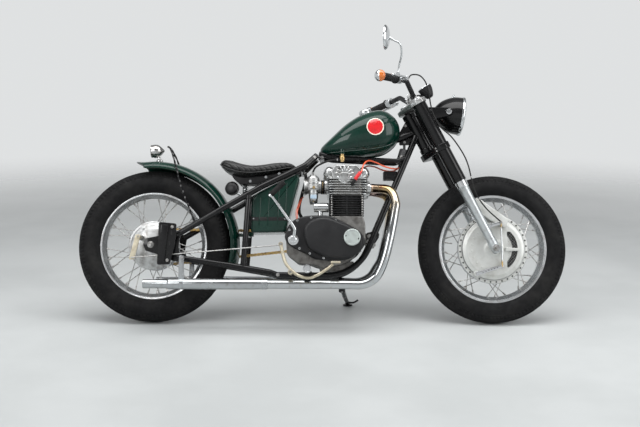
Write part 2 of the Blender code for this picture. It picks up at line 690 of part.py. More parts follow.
BULGE_OUTLINE = [(0.671, 0.403), (0.688, 0.436), (0.725, 0.457), (0.772, 0.462), (0.819, 0.447),
                 (0.868, 0.427),
                 (0.910, 0.402), (0.931, 0.370), (0.928, 0.325), (0.896, 0.294), (0.847, 0.280), (0.782,
                                                                                                  0.281),
                 (0.726, 0.302), (0.688, 0.333)]
COVER_DEPTH = 0.037
COVER_Y = CASE_HALF_WIDTH + COVER_DEPTH
BULGE_DEPTH = 0.025
BULGE_Y = COVER_Y + BULGE_DEPTH
LEFT_COVER_DEPTH = 0.024
CLUTCH_CAP = Vector((0.883, 0, 0.373))
CLUTCH_CAP_RADIUS = 0.0365


def finned_stack(core, fin, z_from, z_to, fins, fin_share=0.32):
    """A block with flat cooling fins; core and fin are (x from, x to, half width)."""
    def ring(bounds, z):
        low, high, half = bounds
        return [(low, -half, z), (high, -half, z), (high, half, z), (low, half, z)]

    pitch = (z_to - z_from) / fins
    rings = [ring(core, z_from)]
    for k in range(fins):
        low = z_from + pitch * (k + 0.5 - fin_share / 2)
        high = low + pitch * fin_share
        rings += [ring(core, low), ring(fin, low), ring(fin, high), ring(core, high)]
    rings.append(ring(core, z_to))
    return skin(rings)


def crankcase():
    lug = block((0.935, -MOUNT_PLATE_Y + TOUCH, 0.352), (0.984, MOUNT_PLATE_Y - TOUCH, 0.400))
    shaft = rod((GEARBOX_SHAFT.x, 0.05, GEARBOX_SHAFT.z),
                (GEARBOX_SHAFT.x, CHAIN_Y + 0.010, GEARBOX_SHAFT.z), 0.014)
    sump = plate([(0.735, 0.262), (0.748, 0.226), (0.880, 0.232), (0.900, 0.275)], -0.085, 0.085)
    breather = rod((0.716, -0.080, 0.512), (0.782, -0.080, 0.512), 0.021, 10)
    neck = rod((0.745, -0.080, 0.455), (0.745, -0.080, 0.505), 0.012, 6)
    return fused(plate(CASE_OUTLINE, -CASE_HALF_WIDTH, CASE_HALF_WIDTH),
                 plate(GEARBOX_OUTLINE, -CASE_HALF_WIDTH + 0.0004, GEARBOX_LEFT_Y), lug, shaft, sump,
                 sprocket(GEARBOX_SHAFT, FRONT_TEETH, 0.0010), breather, neck)


def right_cover():
    inner = -CASE_HALF_WIDTH - TOUCH
    base = cushioned_plate(COVER_OUTLINE, inner, -COVER_Y, 0.008)
    bulge = cushioned_plate(BULGE_OUTLINE, -COVER_Y + 0.012, -BULGE_Y, 0.012)
    cap = turned([(-0.02, CLUTCH_CAP_RADIUS), (0.005, CLUTCH_CAP_RADIUS), (0.008, CLUTCH_CAP_RADIUS - 0.004)],
                 (CLUTCH_CAP.x, -BULGE_Y, CLUTCH_CAP.z), -ACROSS, 18)
    return fused(base, bulge, cap)


def left_cover():
    """The generator's round cover, with the sprocket's cover behind it."""
    centre = Vector((0.862, CASE_HALF_WIDTH + TOUCH, 0.362))
    dome = turned([(0, 0.076), (0.030, 0.076), (0.040, 0.068), (0.044, 0.040)], centre, ACROSS, 20)
    guard = cushioned_plate([(0.700, 0.290), (0.596, 0.330), (0.590, 0.400), (0.625, 0.442), (0.800, 0.452),
                             (0.830, 0.380), (0.800, 0.290)],
                            CASE_HALF_WIDTH + TOUCH, CASE_HALF_WIDTH + LEFT_COVER_DEPTH, 0.008)
    return fused(dome, guard)


def barrels():
    return finned_stack((0.802, 0.922, 0.108), (0.784, 0.938, 0.128), CASE_TOP + TOUCH, BARREL_TOP, 9)


PORT_Z = 0.600
PORT_Y = 0.072
PORT_FACE_X = 0.966
CARB_TOP_Z = 0.660
CARB_Z = 0.612
CARB_FACE_X = 0.764
HEAD_CORE_HALF = 0.112
HEAD_FIN_HALF = 0.132
SCALLOPS = 7
SCALLOP_TIP = 0.047
SCALLOP_VALLEY = 0.039


def scalloped_fan(x, z):
    """Outline of the cast side cover: a fan of scallops over a blunt shield."""
    ring = []
    for k in range(2 * SCALLOPS + 1):
        angle = math.pi * k / (2 * SCALLOPS)
        radius = SCALLOP_TIP if k % 2 else SCALLOP_VALLEY
        ring.append((x + math.cos(angle) * radius, z + math.sin(angle) * radius))
    return ring + [(x - 0.022, z - 0.026), (x, z - 0.042), (x + 0.022, z - 0.026)]


def cylinder_head():
    fins = finned_stack((0.796, 0.934, HEAD_CORE_HALF), (0.773, 0.956, HEAD_FIN_HALF), BARREL_TOP + TOUCH,
                        HEAD_FIN_TOP, 7)
    box_outline = [(0.800, HEAD_FIN_TOP - 0.004), (0.790, 0.672), (0.812, 0.700), (0.905, 0.700),
                   (0.928, 0.676),
                   (0.932, HEAD_FIN_TOP - 0.004)]
    parts = [plate(box_outline, -0.118, 0.118)]
    parts.append(plate(scalloped_fan(0.851, 0.652), -HEAD_CORE_HALF, -HEAD_FIN_HALF - 0.002))
    for side in (-1, 1):
        for x, slant in ((0.792, -1), (0.930, 1)):
            axis = Vector((slant * 0.90, side * 0.12, 0.42)).normalized()
            parts.append(turned([(-0.03, 0.028), (0.022, 0.028), (0.034, 0.016)],
                                (x, side * 0.072, 0.664), axis, 10))
        parts.append(rod((0.930, side * PORT_Y, PORT_Z), (PORT_FACE_X, side * PORT_Y, PORT_Z), 0.027, 10))
        parts.append(rod((0.800, side * PORT_Y, CARB_Z), (CARB_FACE_X, side * PORT_Y, CARB_Z), 0.025, 10))
    return fused(fins, *parts)


def carburettors():
    parts = []
    for side in (-1, 1):
        y = side * PORT_Y
        throat = turned([(0, 0.023), (0.068, 0.021), (0.092, 0.030)], (CARB_FACE_X - TOUCH, y, CARB_Z),
                        (-1, 0, 0), 10)
        dashpot = turned([(0.596, 0.031), (0.646, 0.031), (CARB_TOP_Z, 0.018)], (0.712, y, 0), UP, 12)
        bowl = turned([(0.541, 0.018), (0.575, 0.022), (0.600, 0.022)], (0.714, y, 0), UP, 10)
        parts += [throat, dashpot, bowl]
    link_bar = rod((0.700, -PORT_Y, 0.625), (0.700, PORT_Y, 0.625), 0.006, 6)
    return fused(link_bar, *parts)


piece("crankcase", crankcase(), ALLOY, PARKED)
piece("right_engine_cover", right_cover(), SATIN_BLACK, PARKED)
piece("left_engine_cover", left_cover(), SATIN_BLACK, PARKED)
piece("finned_barrels", barrels(), SATIN_BLACK, PARKED)
piece("cylinder_head", cylinder_head(), ALLOY, PARKED)
piece("carburettors", carburettors(), ALLOY, PARKED)

# Exhausts: a header pipe and a straight stepped silencer on each side
PIPE_RADIUS = 0.0200
SILENCER_RADIUS = 0.0235
TIP_RADIUS = 0.0195
SILENCER_FRONT_X = 0.520
SILENCER_STEP_X = 0.088
SILENCER_END_X = -0.017
PIPE_BORE_DEPTH = 0.06
RIGHT_PIPE_Y = -0.190
RIGHT_PIPE_Z = 0.169
LEFT_PIPE_Y = 0.165
LEFT_PIPE_Z = 0.190
HANGER_X = 0.147
HANGER_PLATE = 0.005


def header(side, run_y, run_z):
    """From the exhaust port round outside the downtube, down it and back along the ground."""
    path = [(PORT_FACE_X + TOUCH, side * PORT_Y, PORT_Z), (PORT_FACE_X + 0.022, side * PORT_Y, PORT_Z),
               (1.050, side * 0.118, 0.586), (1.074, side * 0.146, 0.535), (1.070, side * 0.158, 0.490),
               (1.052, run_y - side * 0.012, 0.400), (1.029, run_y - side * 0.004, 0.300),
               (1.004, run_y, run_z + 0.062), (0.975, run_y, run_z + 0.022), (0.925, run_y, run_z),
               (SILENCER_FRONT_X + TOUCH, run_y, run_z)]
    return tube(path, PIPE_RADIUS, 12)


def silencer(run_y, run_z):
    wall = 0.002
    profile = [(SILENCER_FRONT_X, PIPE_RADIUS + 0.002), (SILENCER_FRONT_X - 0.030, PIPE_RADIUS + 0.002),
               (SILENCER_FRONT_X - 0.060, SILENCER_RADIUS), (SILENCER_STEP_X + 0.004, SILENCER_RADIUS),
               (SILENCER_STEP_X, TIP_RADIUS), (SILENCER_END_X, TIP_RADIUS), (SILENCER_END_X,
                                                                             TIP_RADIUS - wall),
               (SILENCER_END_X + PIPE_BORE_DEPTH, TIP_RADIUS - wall)]
    can = turned([(-x, radius) for x, radius in profile], (0, run_y, run_z), (-1, 0, 0), 14)
    side = 1 if run_y > 0 else -1
    stay = lower_stay_at(HANGER_X)
    strap = plate([(HANGER_X - 0.013, run_z + SILENCER_RADIUS - 0.006),
                   (HANGER_X + 0.013, run_z + SILENCER_RADIUS - 0.006),
                   (HANGER_X + 0.010, stay.z + 0.011), (HANGER_X - 0.010, stay.z + 0.011)],
                  run_y - HANGER_PLATE / 2, run_y + HANGER_PLATE / 2)
    bolt = rod((HANGER_X, run_y, stay.z), (HANGER_X, side * (stay.y + MAIN_TUBE + TOUCH), stay.z), 0.006)
    clamp = turned([(-0.010, SILENCER_RADIUS - 0.002), (-0.010, SILENCER_RADIUS + 0.002),
                    (0.010, SILENCER_RADIUS + 0.002),
                    (0.010, SILENCER_RADIUS - 0.002)], (HANGER_X, run_y, run_z), (1, 0, 0), 14)
    return fused(can, clamp, strap, bolt)


piece("header_right", header(-1, RIGHT_PIPE_Y, RIGHT_PIPE_Z), CHROME, PARKED)
piece("header_left", header(1, LEFT_PIPE_Y, LEFT_PIPE_Z), CHROME, PARKED)
piece("silencer_right", silencer(RIGHT_PIPE_Y, RIGHT_PIPE_Z), CHROME, PARKED)
piece("silencer_left", silencer(LEFT_PIPE_Y, LEFT_PIPE_Z), CHROME, PARKED)

# Tank, seat, mudguard and oil tank
TUNNEL_HALF_WIDTH = 0.022
TANK_STATIONS = [(0.744, 0.768, 0.782, 0.022), (0.753, 0.758, 0.797, 0.052), (0.787, 0.750, 0.830, 0.086),
                 (0.855, 0.746, 0.894, 0.117), (0.922, 0.746, 0.938, 0.130), (0.990, 0.752, 0.961, 0.134),
                 (1.035, 0.764, 0.959, 0.128), (1.075, 0.792, 0.934, 0.104), (1.096, 0.820, 0.905, 0.074),
                 (1.103, 0.842, 0.884, 0.040)]


TAP_TOP = Vector((0.842, -0.085, 0.752))


def squarish(half_width, low, high, count, fullness=2.5):
    """A closed (y, z) section between plain ellipse and box."""
    ring = []
    for k in range(count):
        angle = 2 * math.pi * (k + 0.5) / count
        c = math.cos(angle)
        s = math.sin(angle)
        reach = 2 / fullness
        ring.append((half_width * math.copysign(abs(c) ** reach, c),
                     (low + high) / 2 + (high - low) / 2 * math.copysign(abs(s) ** reach, s)))
    return ring


def fuel_tank():
    rings = [[(x, y, z) for y, z in squarish(half, low, high, 16)] for x, low, high, half in TANK_STATIONS]
    shell = skin(rings)
    rise = BACKBONE_TUBE + 0.006
    past_head = BACKBONE_HEAD.x + 0.022
    tunnel = plate([(0.70, 0.762 + rise), (BACKBONE_KNEE.x, BACKBONE_KNEE.z + rise),
                    (past_head, BACKBONE_HEAD.z + 0.006 + rise),
                    (past_head, 0.60), (0.70, 0.60)], -TUNNEL_HALF_WIDTH, TUNNEL_HALF_WIDTH)
    cap = turned([(-0.03, 0.020), (-0.004, 0.020), (-0.004, 0.029), (0.012, 0.029), (0.016, 0.024)],
                 (0.950, 0, 0.952), (-0.25, 0, 1), 14)
    outlet = rod(TAP_TOP, TAP_TOP + UP * 0.030, 0.011)
    return fused(cut(shell, tunnel), cap, outlet)


piece("fuel_tank", fuel_tank(), GREEN_PAINT, PARKED)

SEAT_STATIONS = [(0.296, 0.704, 0.720, 0.060), (0.312, 0.684, 0.733, 0.096), (0.345, 0.664, 0.731, 0.118),
                 (0.392, 0.652, 0.717, 0.124), (0.440, 0.653, 0.709, 0.116), (0.490, 0.660, 0.715, 0.096),
                 (0.540, 0.669, 0.724, 0.076), (0.590, 0.683, 0.727, 0.058), (0.618, 0.692, 0.720, 0.042),
                 (0.633, 0.699, 0.711, 0.022)]


def seat():
    return skin([[(x, y, z) for y, z in squarish(half, low, high, 14)] for x, low, high,
                 half in SEAT_STATIONS])


PAN_HALF_WIDTH = 0.045


def seat_pan():
    """The steel pan under the seat, with its rear spring post and its nose lug."""
    top = [(x, low - TOUCH) for x, low, high, half in SEAT_STATIONS[2:8]]
    under = [(0.605, 0.676), (0.505, 0.640), (0.462, 0.621), (0.385, 0.620), (0.352, 0.650)]
    pan = plate(top + under, -PAN_HALF_WIDTH, PAN_HALF_WIDTH)
    posts = [turned([(SEAT_CROSS.z + SMALL_TUBE + TOUCH, 0.012), (0.630, 0.012)],
                    (SEAT_CROSS.x, side * 0.028, 0), UP, 10)
             for side in (-1, 1)]
    nose = block((0.590, -0.014, 0.672), (NOSE_CROSS.x - SMALL_TUBE - TOUCH, 0.014, 0.6815))
    return fused(pan, nose, *posts)


piece("seat", seat(), LEATHER, PARKED)
piece("seat_pan", seat_pan(), SATIN_BLACK, PARKED)

GUARD_DROP = 0.034
GUARD_THICK = 0.004
GUARD_FROM = math.radians(-12.5)
GUARD_TO = math.radians(96)
GUARD_STEPS = 15


def rear_guard():
    """A crowned mudguard bent round the tyre, flared to a point behind."""
    def section(offset):
        count = 6
        ring = []
        for k in range(count + 1):
            angle = math.pi * (k / count - 0.5)
            ring.append((math.sin(angle) * (GUARD_HALF_WIDTH - offset),
                         GUARD_RADIUS - GUARD_DROP * (1 - math.cos(angle)) - offset))
        return ring

    outline = section(0) + list(reversed(section(GUARD_THICK)))
    rings = []
    for k in range(GUARD_STEPS + 1):
        angle = GUARD_FROM + (GUARD_TO - GUARD_FROM) * k / GUARD_STEPS
        out = Vector((math.cos(angle), 0, math.sin(angle)))
        rings.append([REAR_AXLE + out * radius + ACROSS * y for y, radius in outline])
    for share, lift in ((0.5, 0.001), (1.0, 0.004)):
        angle = GUARD_TO
        out = Vector((math.cos(angle), 0, math.sin(angle)))
        back = Vector((-math.sin(angle), 0, math.cos(angle)))
        ring = []
        for y, radius in outline:
            reach = share * (0.042 * max(0.0, 1 - (y / GUARD_HALF_WIDTH) ** 2) - 0.012)
            ring.append(REAR_AXLE + out * (radius + lift) + back * (reach + 0.018 * share) + ACROSS * y)
        rings.append(ring)
    tab = block((REAR_AXLE.x + GUARD_RADIUS - 0.012, -0.018, CROSS_LOW_Z - 0.006),
                (POST_X - SMALL_TUBE - TOUCH, 0.018, CROSS_LOW_Z + 0.006))
    return fused(skin(rings), tab)


piece("rear_guard", rear_guard(), GREEN_PAINT, PARKED)

LOOP_ROD = 0.0045
LOOP_FOOT = Vector((0.190, 0.117, 0.432))
LOOP_TOP = Vector((0.051, 0, GUARD_TOP_Z + 0.0685))


def guard_loop():
    """The bent rod from both stays up over the mudguard, with a pointed top."""
    beside = GUARD_HALF_WIDTH + LOOP_ROD + TOUCH
    right = [LOOP_FOOT + Vector((0, 0, 0.016)), Vector((0.168, 0.108, 0.500)), Vector((0.128, 0.096, 0.600)),
             Vector((0.104, beside, GUARD_TOP_Z - 0.0465)), Vector((0.085, 0.064, GUARD_TOP_Z + 0.0155)),
             Vector((0.064, 0.024, GUARD_TOP_Z + 0.0595)), LOOP_TOP]
    left = [Vector((p.x, -p.y, p.z)) for p in reversed(right[:-1])]
    return tube(flowing(right + left, 2), LOOP_ROD, 6)


piece("guard_loop", guard_loop(), BLACK_PAINT, PARKED)

LAMP_CENTRE = Vector((0.004, 0, GUARD_TOP_Z + 0.0485))


def tail_lamp():
    shell = turned([(-0.030, 0.022), (-0.028, 0.029), (-0.010, 0.031), (0.006, 0.027), (0.020, 0.016),
                    (0.032, 0.004)],
                   LAMP_CENTRE, (1, 0, 0.05), 14)
    guard_top = GUARD_TOP_Z + TOUCH * 2
    stalk = rod((0.014, 0, guard_top + 0.003), (0.010, 0, LAMP_CENTRE.z - 0.012), 0.008)
    foot = turned([(0, 0.016), (0.006, 0.016), (0.010, 0.008)], (0.014, 0, guard_top), UP, 8)
    return fused(shell, stalk, foot)


piece("tail_lamp", tail_lamp(), CHROME, PARKED)

OIL_RIGHT_Y = -0.094
OIL_LEFT_Y = 0.070
OIL_OUTLINE = [(0.022, 0.398), (0.175, 0.402), (0.201, 0.500), (0.237, 0.640), (0.233, 0.664), (0.205, 0.652),
               (0.045, 0.572), (0.025, 0.545)]


def oil_tank():
    box = pillow_plate([(POST_X + x, z) for x, z in OIL_OUTLINE], OIL_RIGHT_Y, OIL_LEFT_Y, 0.012)
    ear = block((POST_X + SMALL_TUBE + TOUCH, -0.02, CROSS_LOW_Z - 0.005),
                (POST_X + 0.030, 0.02, CROSS_LOW_Z + 0.012))
    return fused(box, ear)


piece("oil_tank", oil_tank(), GREEN_PAINT, PARKED)

# Small fittings on the frame

HORN_CENTRE = Vector((0.350, -0.070, 0.598))


def horn():
    dome = turned([(-0.016, 0.012), (-0.012, 0.030), (0.004, 0.032), (0.014, 0.026), (0.020, 0.012)],
                  HORN_CENTRE, (-0.25, -1, 0.1), 14)
    arm_end = SEAT_CROSS + Vector((-SMALL_TUBE - TOUCH, -0.060, 0.004))
    arm = tube([HORN_CENTRE + Vector((0.004, 0.010, -0.004)), HORN_CENTRE + Vector((0.022, 0.012, -0.018)),
                arm_end], 0.006, 6)
    return fused(dome, arm)


def plate_bracket():
    outline = [(0.040, 0.439), (0.118, 0.432), (0.119, 0.394), (0.110, 0.330), (0.092, 0.254), (0.036, 0.252),
               (0.040, 0.340)]
    upright = plate(outline, -0.152, -0.160)
    backing = plate([(0.052, 0.428), (0.084, 0.424), (0.070, 0.264), (0.046, 0.264)], -0.161 + 0.003, -0.172)
    stub_z = REAR_AXLE_Z + 0.0025
    stub = rod((0.075, -AXLE_PLATE_Y - AXLE_PLATE - TOUCH, stub_z), (0.075, -0.156, stub_z), 0.010)
    return fused(upright, backing, stub)


COIL_LOW = BACKBONE_HEAD + Vector((-0.072, 0, -0.150))
COIL_AXIS = Vector((0.285, 0, 0.959)).normalized()


def electrics():
    """Ignition coil in its strap under the backbone."""
    can = turned([(0, 0.016), (0.003, 0.021), (0.070, 0.021), (0.075, 0.014)], COIL_LOW, COIL_AXIS, 12)
    strap_x = COIL_LOW.x + 0.021
    strap = rod((strap_x, 0, COIL_LOW.z + 0.064), (strap_x, 0, BACKBONE_HEAD.z - 0.060), 0.006, 6)
    return fused(can, strap)


REGULATOR_LONG = 0.0626


def regulator():
    """A finned box clipped to the cross bar between the downtubes."""
    bar = downtube_at(CROSSBAR_Z, 1)
    front = bar.x - CROSSBAR - TOUCH
    back = front - REGULATOR_LONG
    return finned_stack((back + 0.004, front - 0.004, 0.028), (back, front, 0.032), bar.z - 0.018,
                        bar.z + 0.020, 5, 0.45)


def ignition_leads():
    """A cap on each plug and its lead to the coil's lower end."""
    end = COIL_LOW - COIL_AXIS * TOUCH
    sides = []
    for side in (-1, 1):
        face = side * (HEAD_FIN_HALF + TOUCH)
        cap = [(0.886, face, 0.612), (0.886, face + side * 0.010, 0.612), (0.897, face + side * 0.016, 0.630),
               (0.914, face + side * 0.012, 0.654)]
        lead = [(0.927, side * 0.134, 0.670), (0.936, side * 0.120, 0.700), (0.958, side * 0.088, 0.722),
                (0.994, side * 0.066, 0.717), (1.028, side * 0.060, 0.702), (1.062, side * 0.050, 0.694),
                (1.085, side * 0.028, 0.695), COIL_LOW - COIL_AXIS * 0.012, end]
        sides.append(tube(cap + lead, [0.008] * len(cap) + [0.0036] * (len(lead) - 2) + [0.006, 0.006], 6))
    return fused(*sides)


piece("horn", horn(), GREY_CASE, PARKED)
piece("plate_bracket", plate_bracket(), BLACK_PAINT, PARKED)
piece("ignition_coil", electrics(), GREY_CASE, PARKED)
piece("regulator", regulator(), SATIN_BLACK, PARKED)
piece("ignition_leads", ignition_leads(), LEAD_ORANGE, PARKED)


def fuel_tap():
    """The tap under the tank and its hose down to the carburettors."""
    body = turned([(-0.036, 0.008), (-0.030, 0.012), (-0.010, 0.012), (-TOUCH, 0.009)], TAP_TOP, UP, 8)
    carb_top = Vector((0.712, -PORT_Y, CARB_TOP_Z + TOUCH))
    hose = tube(flowing([TAP_TOP - UP * 0.026, (0.805, -0.087, 0.725), (0.765, -0.088, 0.715),
                         (0.726, -0.080, 0.695)], 2)
                + [carb_top + UP * 0.012, carb_top], 0.0045, 6)
    return fused(body, hose)


piece("fuel_tap", fuel_tap(), BRASS, PARKED)

KICK_SHAFT = Vector((0.628, 0, 0.362))
KICK_ARM_CLEAR = 0.047


def kick_lever():
    arm_y = -COVER_Y - KICK_ARM_CLEAR
    shaft = rod((KICK_SHAFT.x, -COVER_Y - TOUCH, KICK_SHAFT.z), (KICK_SHAFT.x, arm_y - 0.010, KICK_SHAFT.z),
                0.016, 10)
    arm = tube(flowing([(KICK_SHAFT.x, arm_y, KICK_SHAFT.z), (0.634, arm_y - 0.006, 0.388),
                        (0.632, arm_y - 0.012, 0.412),
                        (0.594, arm_y - 0.020, 0.466), (0.533, arm_y - 0.030, 0.550)], 2), 0.0085, 6)
    foot = rod((0.528, arm_y - 0.030, 0.546), (0.590, arm_y - 0.040, 0.604), 0.0125, 10)
    return fused(shaft, arm, foot)


ROD_KNEE = Vector((0.180, -0.1415, REAR_AXLE_Z - 0.037))
ROD_END = Vector((-0.082, -0.1358, REAR_AXLE_Z - 0.0585))


def brake_pedal():
    """The cast pedal, its pivot on the lower rail, and the long rod back to the brake arm."""
    path = [(0.575, -0.200, 0.345), (0.582, -0.206, 0.308), (0.596, -0.218, 0.262),
            (PEDAL_PIVOT.x, -0.224, 0.232),
            (0.652, -0.228, 0.206), (0.694, -0.230, 0.195), (0.726, -0.230, 0.204), (0.768, -0.229, 0.229),
            (0.800, -0.226, 0.254)]
    arm = tube(flowing(path, 1), 0.0075, 6)
    pad = block((0.790, -0.246, 0.258), (0.832, -0.208, 0.268))
    pivot = rod((PEDAL_PIVOT.x, -BOSS_END_Y - TOUCH, PEDAL_PIVOT.z), (PEDAL_PIVOT.x, -0.236, PEDAL_PIVOT.z),
                0.011)
    pull = tube([(0.576, -0.200, 0.338), ROD_KNEE, ROD_END], 0.003, 6)
    return fused(arm, pad, pivot, pull)


def foot_peg(side):
    y = side * (BOSS_END_Y + TOUCH)
    return turned([(0, 0.014), (0.010, 0.014), (0.014, 0.0165), (0.125, 0.0165), (0.128, 0.018),
                   (0.138, 0.018)],
                  (PEG_X, y, PEG_Z), (0, side, 0), 10)


def gear_lever():
    shaft = rod((0.716, CASE_HALF_WIDTH + LEFT_COVER_DEPTH + 0.001, 0.300), (0.716, 0.196, 0.300), 0.008)
    arm = tube([(0.716, 0.190, 0.300), (0.760, 0.196, 0.292), (0.822, 0.200, 0.286)], 0.006, 8)
    toe = rod((0.822, 0.192, 0.286), (0.822, 0.238, 0.286), 0.009)
    return fused(shaft, arm, toe)


piece("kick_lever", kick_lever(), CHROME, PARKED)
piece("brake_pedal", brake_pedal(), CHAMPAGNE, PARKED)
piece("foot_peg_right", foot_peg(-1), RUBBER, PARKED)
piece("foot_peg_left", foot_peg(1), RUBBER, PARKED)
piece("gear_lever", gear_lever(), CHROME, PARKED)

PLATE_AIR = 0.005
REAR_PLATE_Y = REAR_FLANGE_Y + FLANGE_THICK + PLATE_AIR
BRAKE_CAM = Vector((-0.052, 0, REAR_AXLE_Z + 0.0345))


def rear_brake_plate():
    """The fixed plate that closes the rear drum, its cam and its pull arm."""
    bore = AXLE_RADIUS + TOUCH
    disc = turned([(REAR_PLATE_Y, bore), (REAR_PLATE_Y, REAR_DRUM_RIM),
                   (REAR_PLATE_Y + 0.004, REAR_DRUM_RIM - 0.002),
                   (REAR_PLATE_Y + 0.016, 0.075), (REAR_PLATE_Y + 0.020, 0.030), (AXLE_PLATE_Y - TOUCH,
                                                                                  0.026),
                   (AXLE_PLATE_Y - TOUCH, bore)], REAR_AXLE, -ACROSS, 24, looped=True)
    cam = rod((BRAKE_CAM.x, -REAR_PLATE_Y - 0.006, BRAKE_CAM.z), (BRAKE_CAM.x, -0.134, BRAKE_CAM.z), 0.009)
    arm_foot_z = ROD_END.z - 0.008
    arm = plate([(BRAKE_CAM.x - 0.012, BRAKE_CAM.z + 0.008), (BRAKE_CAM.x + 0.011, BRAKE_CAM.z + 0.008),
                 (-0.068, arm_foot_z), (-0.092, arm_foot_z)], -0.126, -0.132)
    return fused(disc, cam, arm)


piece("rear_brake_plate", rear_brake_plate(), POLISHED, PARKED)

# Side stand, swung out under the left lower rail
STAND_ROD = 0.009


def side_stand():
    head = rod(STAND_PIVOT - STAND_AXIS * 0.0006, STAND_PIVOT - STAND_AXIS * 0.023, 0.015, 10)
    floor_up = Vector((0, -math.sin(LEAN), math.cos(LEAN)))
    foot = turned([(0, 0.023), (0.005, 0.023), (0.008, 0.012)], STAND_FOOT, floor_up, 12)
    leg = tube([STAND_PIVOT - STAND_AXIS * 0.012, STAND_FOOT + floor_up * 0.008], [0.010, STAND_ROD], 8)
    tang = tube([STAND_FOOT.lerp(STAND_PIVOT, 0.12) + floor_up * 0.006,
                 STAND_FOOT + Vector((0.026, -0.006, 0.014)),
                 STAND_FOOT + Vector((0.050, -0.004, 0.026))], 0.0045, 6)
    return fused(head, leg, foot, tang)


STAND = axis_empty("side_stand_axis", STAND_PIVOT, PARKED)
piece("side_stand", side_stand(), BLACK_PAINT, STAND)

# Fork: yokes, legs with long covers, and what is bolted to them
COVER_RADIUS = 0.030
COVER_LOW = 0.333
COVER_TOP = 0.722
LOWER_YOKE = (0.490, 0.519)
UPPER_YOKE = (0.7225, 0.744)
STEM_RADIUS = HEAD_BORE * math.cos(math.pi / 12) - 0.0004


def fork_matrix():
    """Turns (ahead, across, up the fork) into the machine's own axes."""
    frame = Matrix((FORK_AHEAD, ACROSS, FORK_UP)).transposed().to_4x4()
    frame.translation = FRONT_AXLE
    return frame


def leg_profile(grown=0.0):
    return [(-0.024, 0.012 + grown), (-0.016, 0.0200 + grown), (0.030, SLIDER_FOOT_RADIUS + grown),
            (0.300, 0.0245 + grown), (0.306, 0.0270 + grown), (COVER_LOW, 0.0270 + grown),
            (COVER_LOW, COVER_RADIUS + grown), (COVER_TOP, COVER_RADIUS + grown)]


EAR_Y = 0.096
HEADLAMP_RADIUS = 0.086
HEADLAMP_PIVOT = on_fork(0.6337, 0.1026)
EAR_OUTLINE = [(0.003, 0.7075), (0.1145, 0.648), (0.1115, 0.625), (0.091, 0.618), (-0.007, 0.6465)]
ANCHOR_UP = 0.225
ANCHOR_Y = 0.070


def fork_leg(side):
    leg = turned(leg_profile(), on_fork(0, 0, side * FORK_HALF_TRACK), FORK_UP, 14)
    ear = skin([[on_fork(up, ahead, side * y) for ahead, up in EAR_OUTLINE] for y in (EAR_Y, EAR_Y + 0.005)])
    parts = [leg, ear]
    if side < 0:
        parts.append(rod(on_fork(ANCHOR_UP, 0, -FORK_HALF_TRACK), on_fork(ANCHOR_UP, 0, -ANCHOR_Y - TOUCH),
                         0.010))
    hole = rod(FRONT_AXLE - ACROSS * 0.2, FRONT_AXLE + ACROSS * 0.2, AXLE_RADIUS + AXLE_PLAY, 16)
    return cut(fused(*parts), hole)


HEADLAMP_FACE = on_fork(0.6033, 0.1561)
HEADLAMP_AXIS = Vector((math.cos(math.radians(-8.3)), 0, math.sin(math.radians(-8.3))))


def yoke(low, high):
    outline = [(0.034, -0.118), (0.034, 0.118), (0.014, 0.137), (-0.016, 0.137), (-0.040, 0.112),
               (-0.084, 0.030),
               (-0.092, 0.0), (-0.084, -0.030), (-0.040, -0.112), (-0.016, -0.137), (0.014, -0.137)]
    plan = [Vector((a, y)) for a, y in outline]
    body = skin([[(p.x, p.y, z) for p in plan] for z in (low, high)])
    return placed(body, fork_matrix())


def lower_yoke():
    body = yoke(*LOWER_YOKE)
    stem = rod(on_fork(LOWER_YOKE[1] - 0.01, -FORK_OFFSET), on_fork(UPPER_YOKE[0] - TOUCH, -FORK_OFFSET),
               STEM_RADIUS, 12)
    cutters = [turned(leg_profile(TOUCH), on_fork(0, 0, side * FORK_HALF_TRACK), FORK_UP,
                      14) for side in (-1, 1)]
    return fused(cut(body, *cutters), stem)


BAR_RADIUS = 0.0111
BAR_MIDDLE = on_fork(0.772, -0.004)
BAR_KNEE = on_fork(0.8303, -0.0165, 0.176)
BAR_END = on_fork(0.8635, -0.1333, 0.370)
GRIP_RADIUS = 0.0165
GRIP_LENGTH = 0.122


def bar_path():
    half = [BAR_MIDDLE, BAR_MIDDLE + ACROSS * 0.085, BAR_KNEE, BAR_END]
    right = bent(half, 0.030, 3)
    left = [Vector((p.x, -p.y, p.z)) for p in reversed(right[1:])]
    return left + right


def upper_yoke():
    body = yoke(*UPPER_YOKE)
    parts = []
    for side in (-1, 1):
        parts.append(turned([(UPPER_YOKE[1] - 0.004, 0.021), (UPPER_YOKE[1] + 0.006, 0.021),
                             (UPPER_YOKE[1] + 0.010, 0.015)],
                            on_fork(0, 0, side * FORK_HALF_TRACK), FORK_UP, 6))
        clamp = skin([[(a, side * y, s) for a, s in ((-0.026, 0.740), (0.018, 0.740), (0.014, 0.790),
                                                     (-0.022, 0.790))]
                      for y in (0.030, 0.058)])
        parts.append(placed(clamp, fork_matrix()))
    parts.append(turned([(UPPER_YOKE[1] - 0.004, 0.022), (UPPER_YOKE[1] + 0.014, 0.020)],
                        on_fork(0, -FORK_OFFSET), FORK_UP, 6))
    whole = fused(body, *parts)
    return cut(whole, rod(BAR_MIDDLE - ACROSS * 0.07, BAR_MIDDLE + ACROSS * 0.07, BAR_RADIUS + TOUCH, 8))


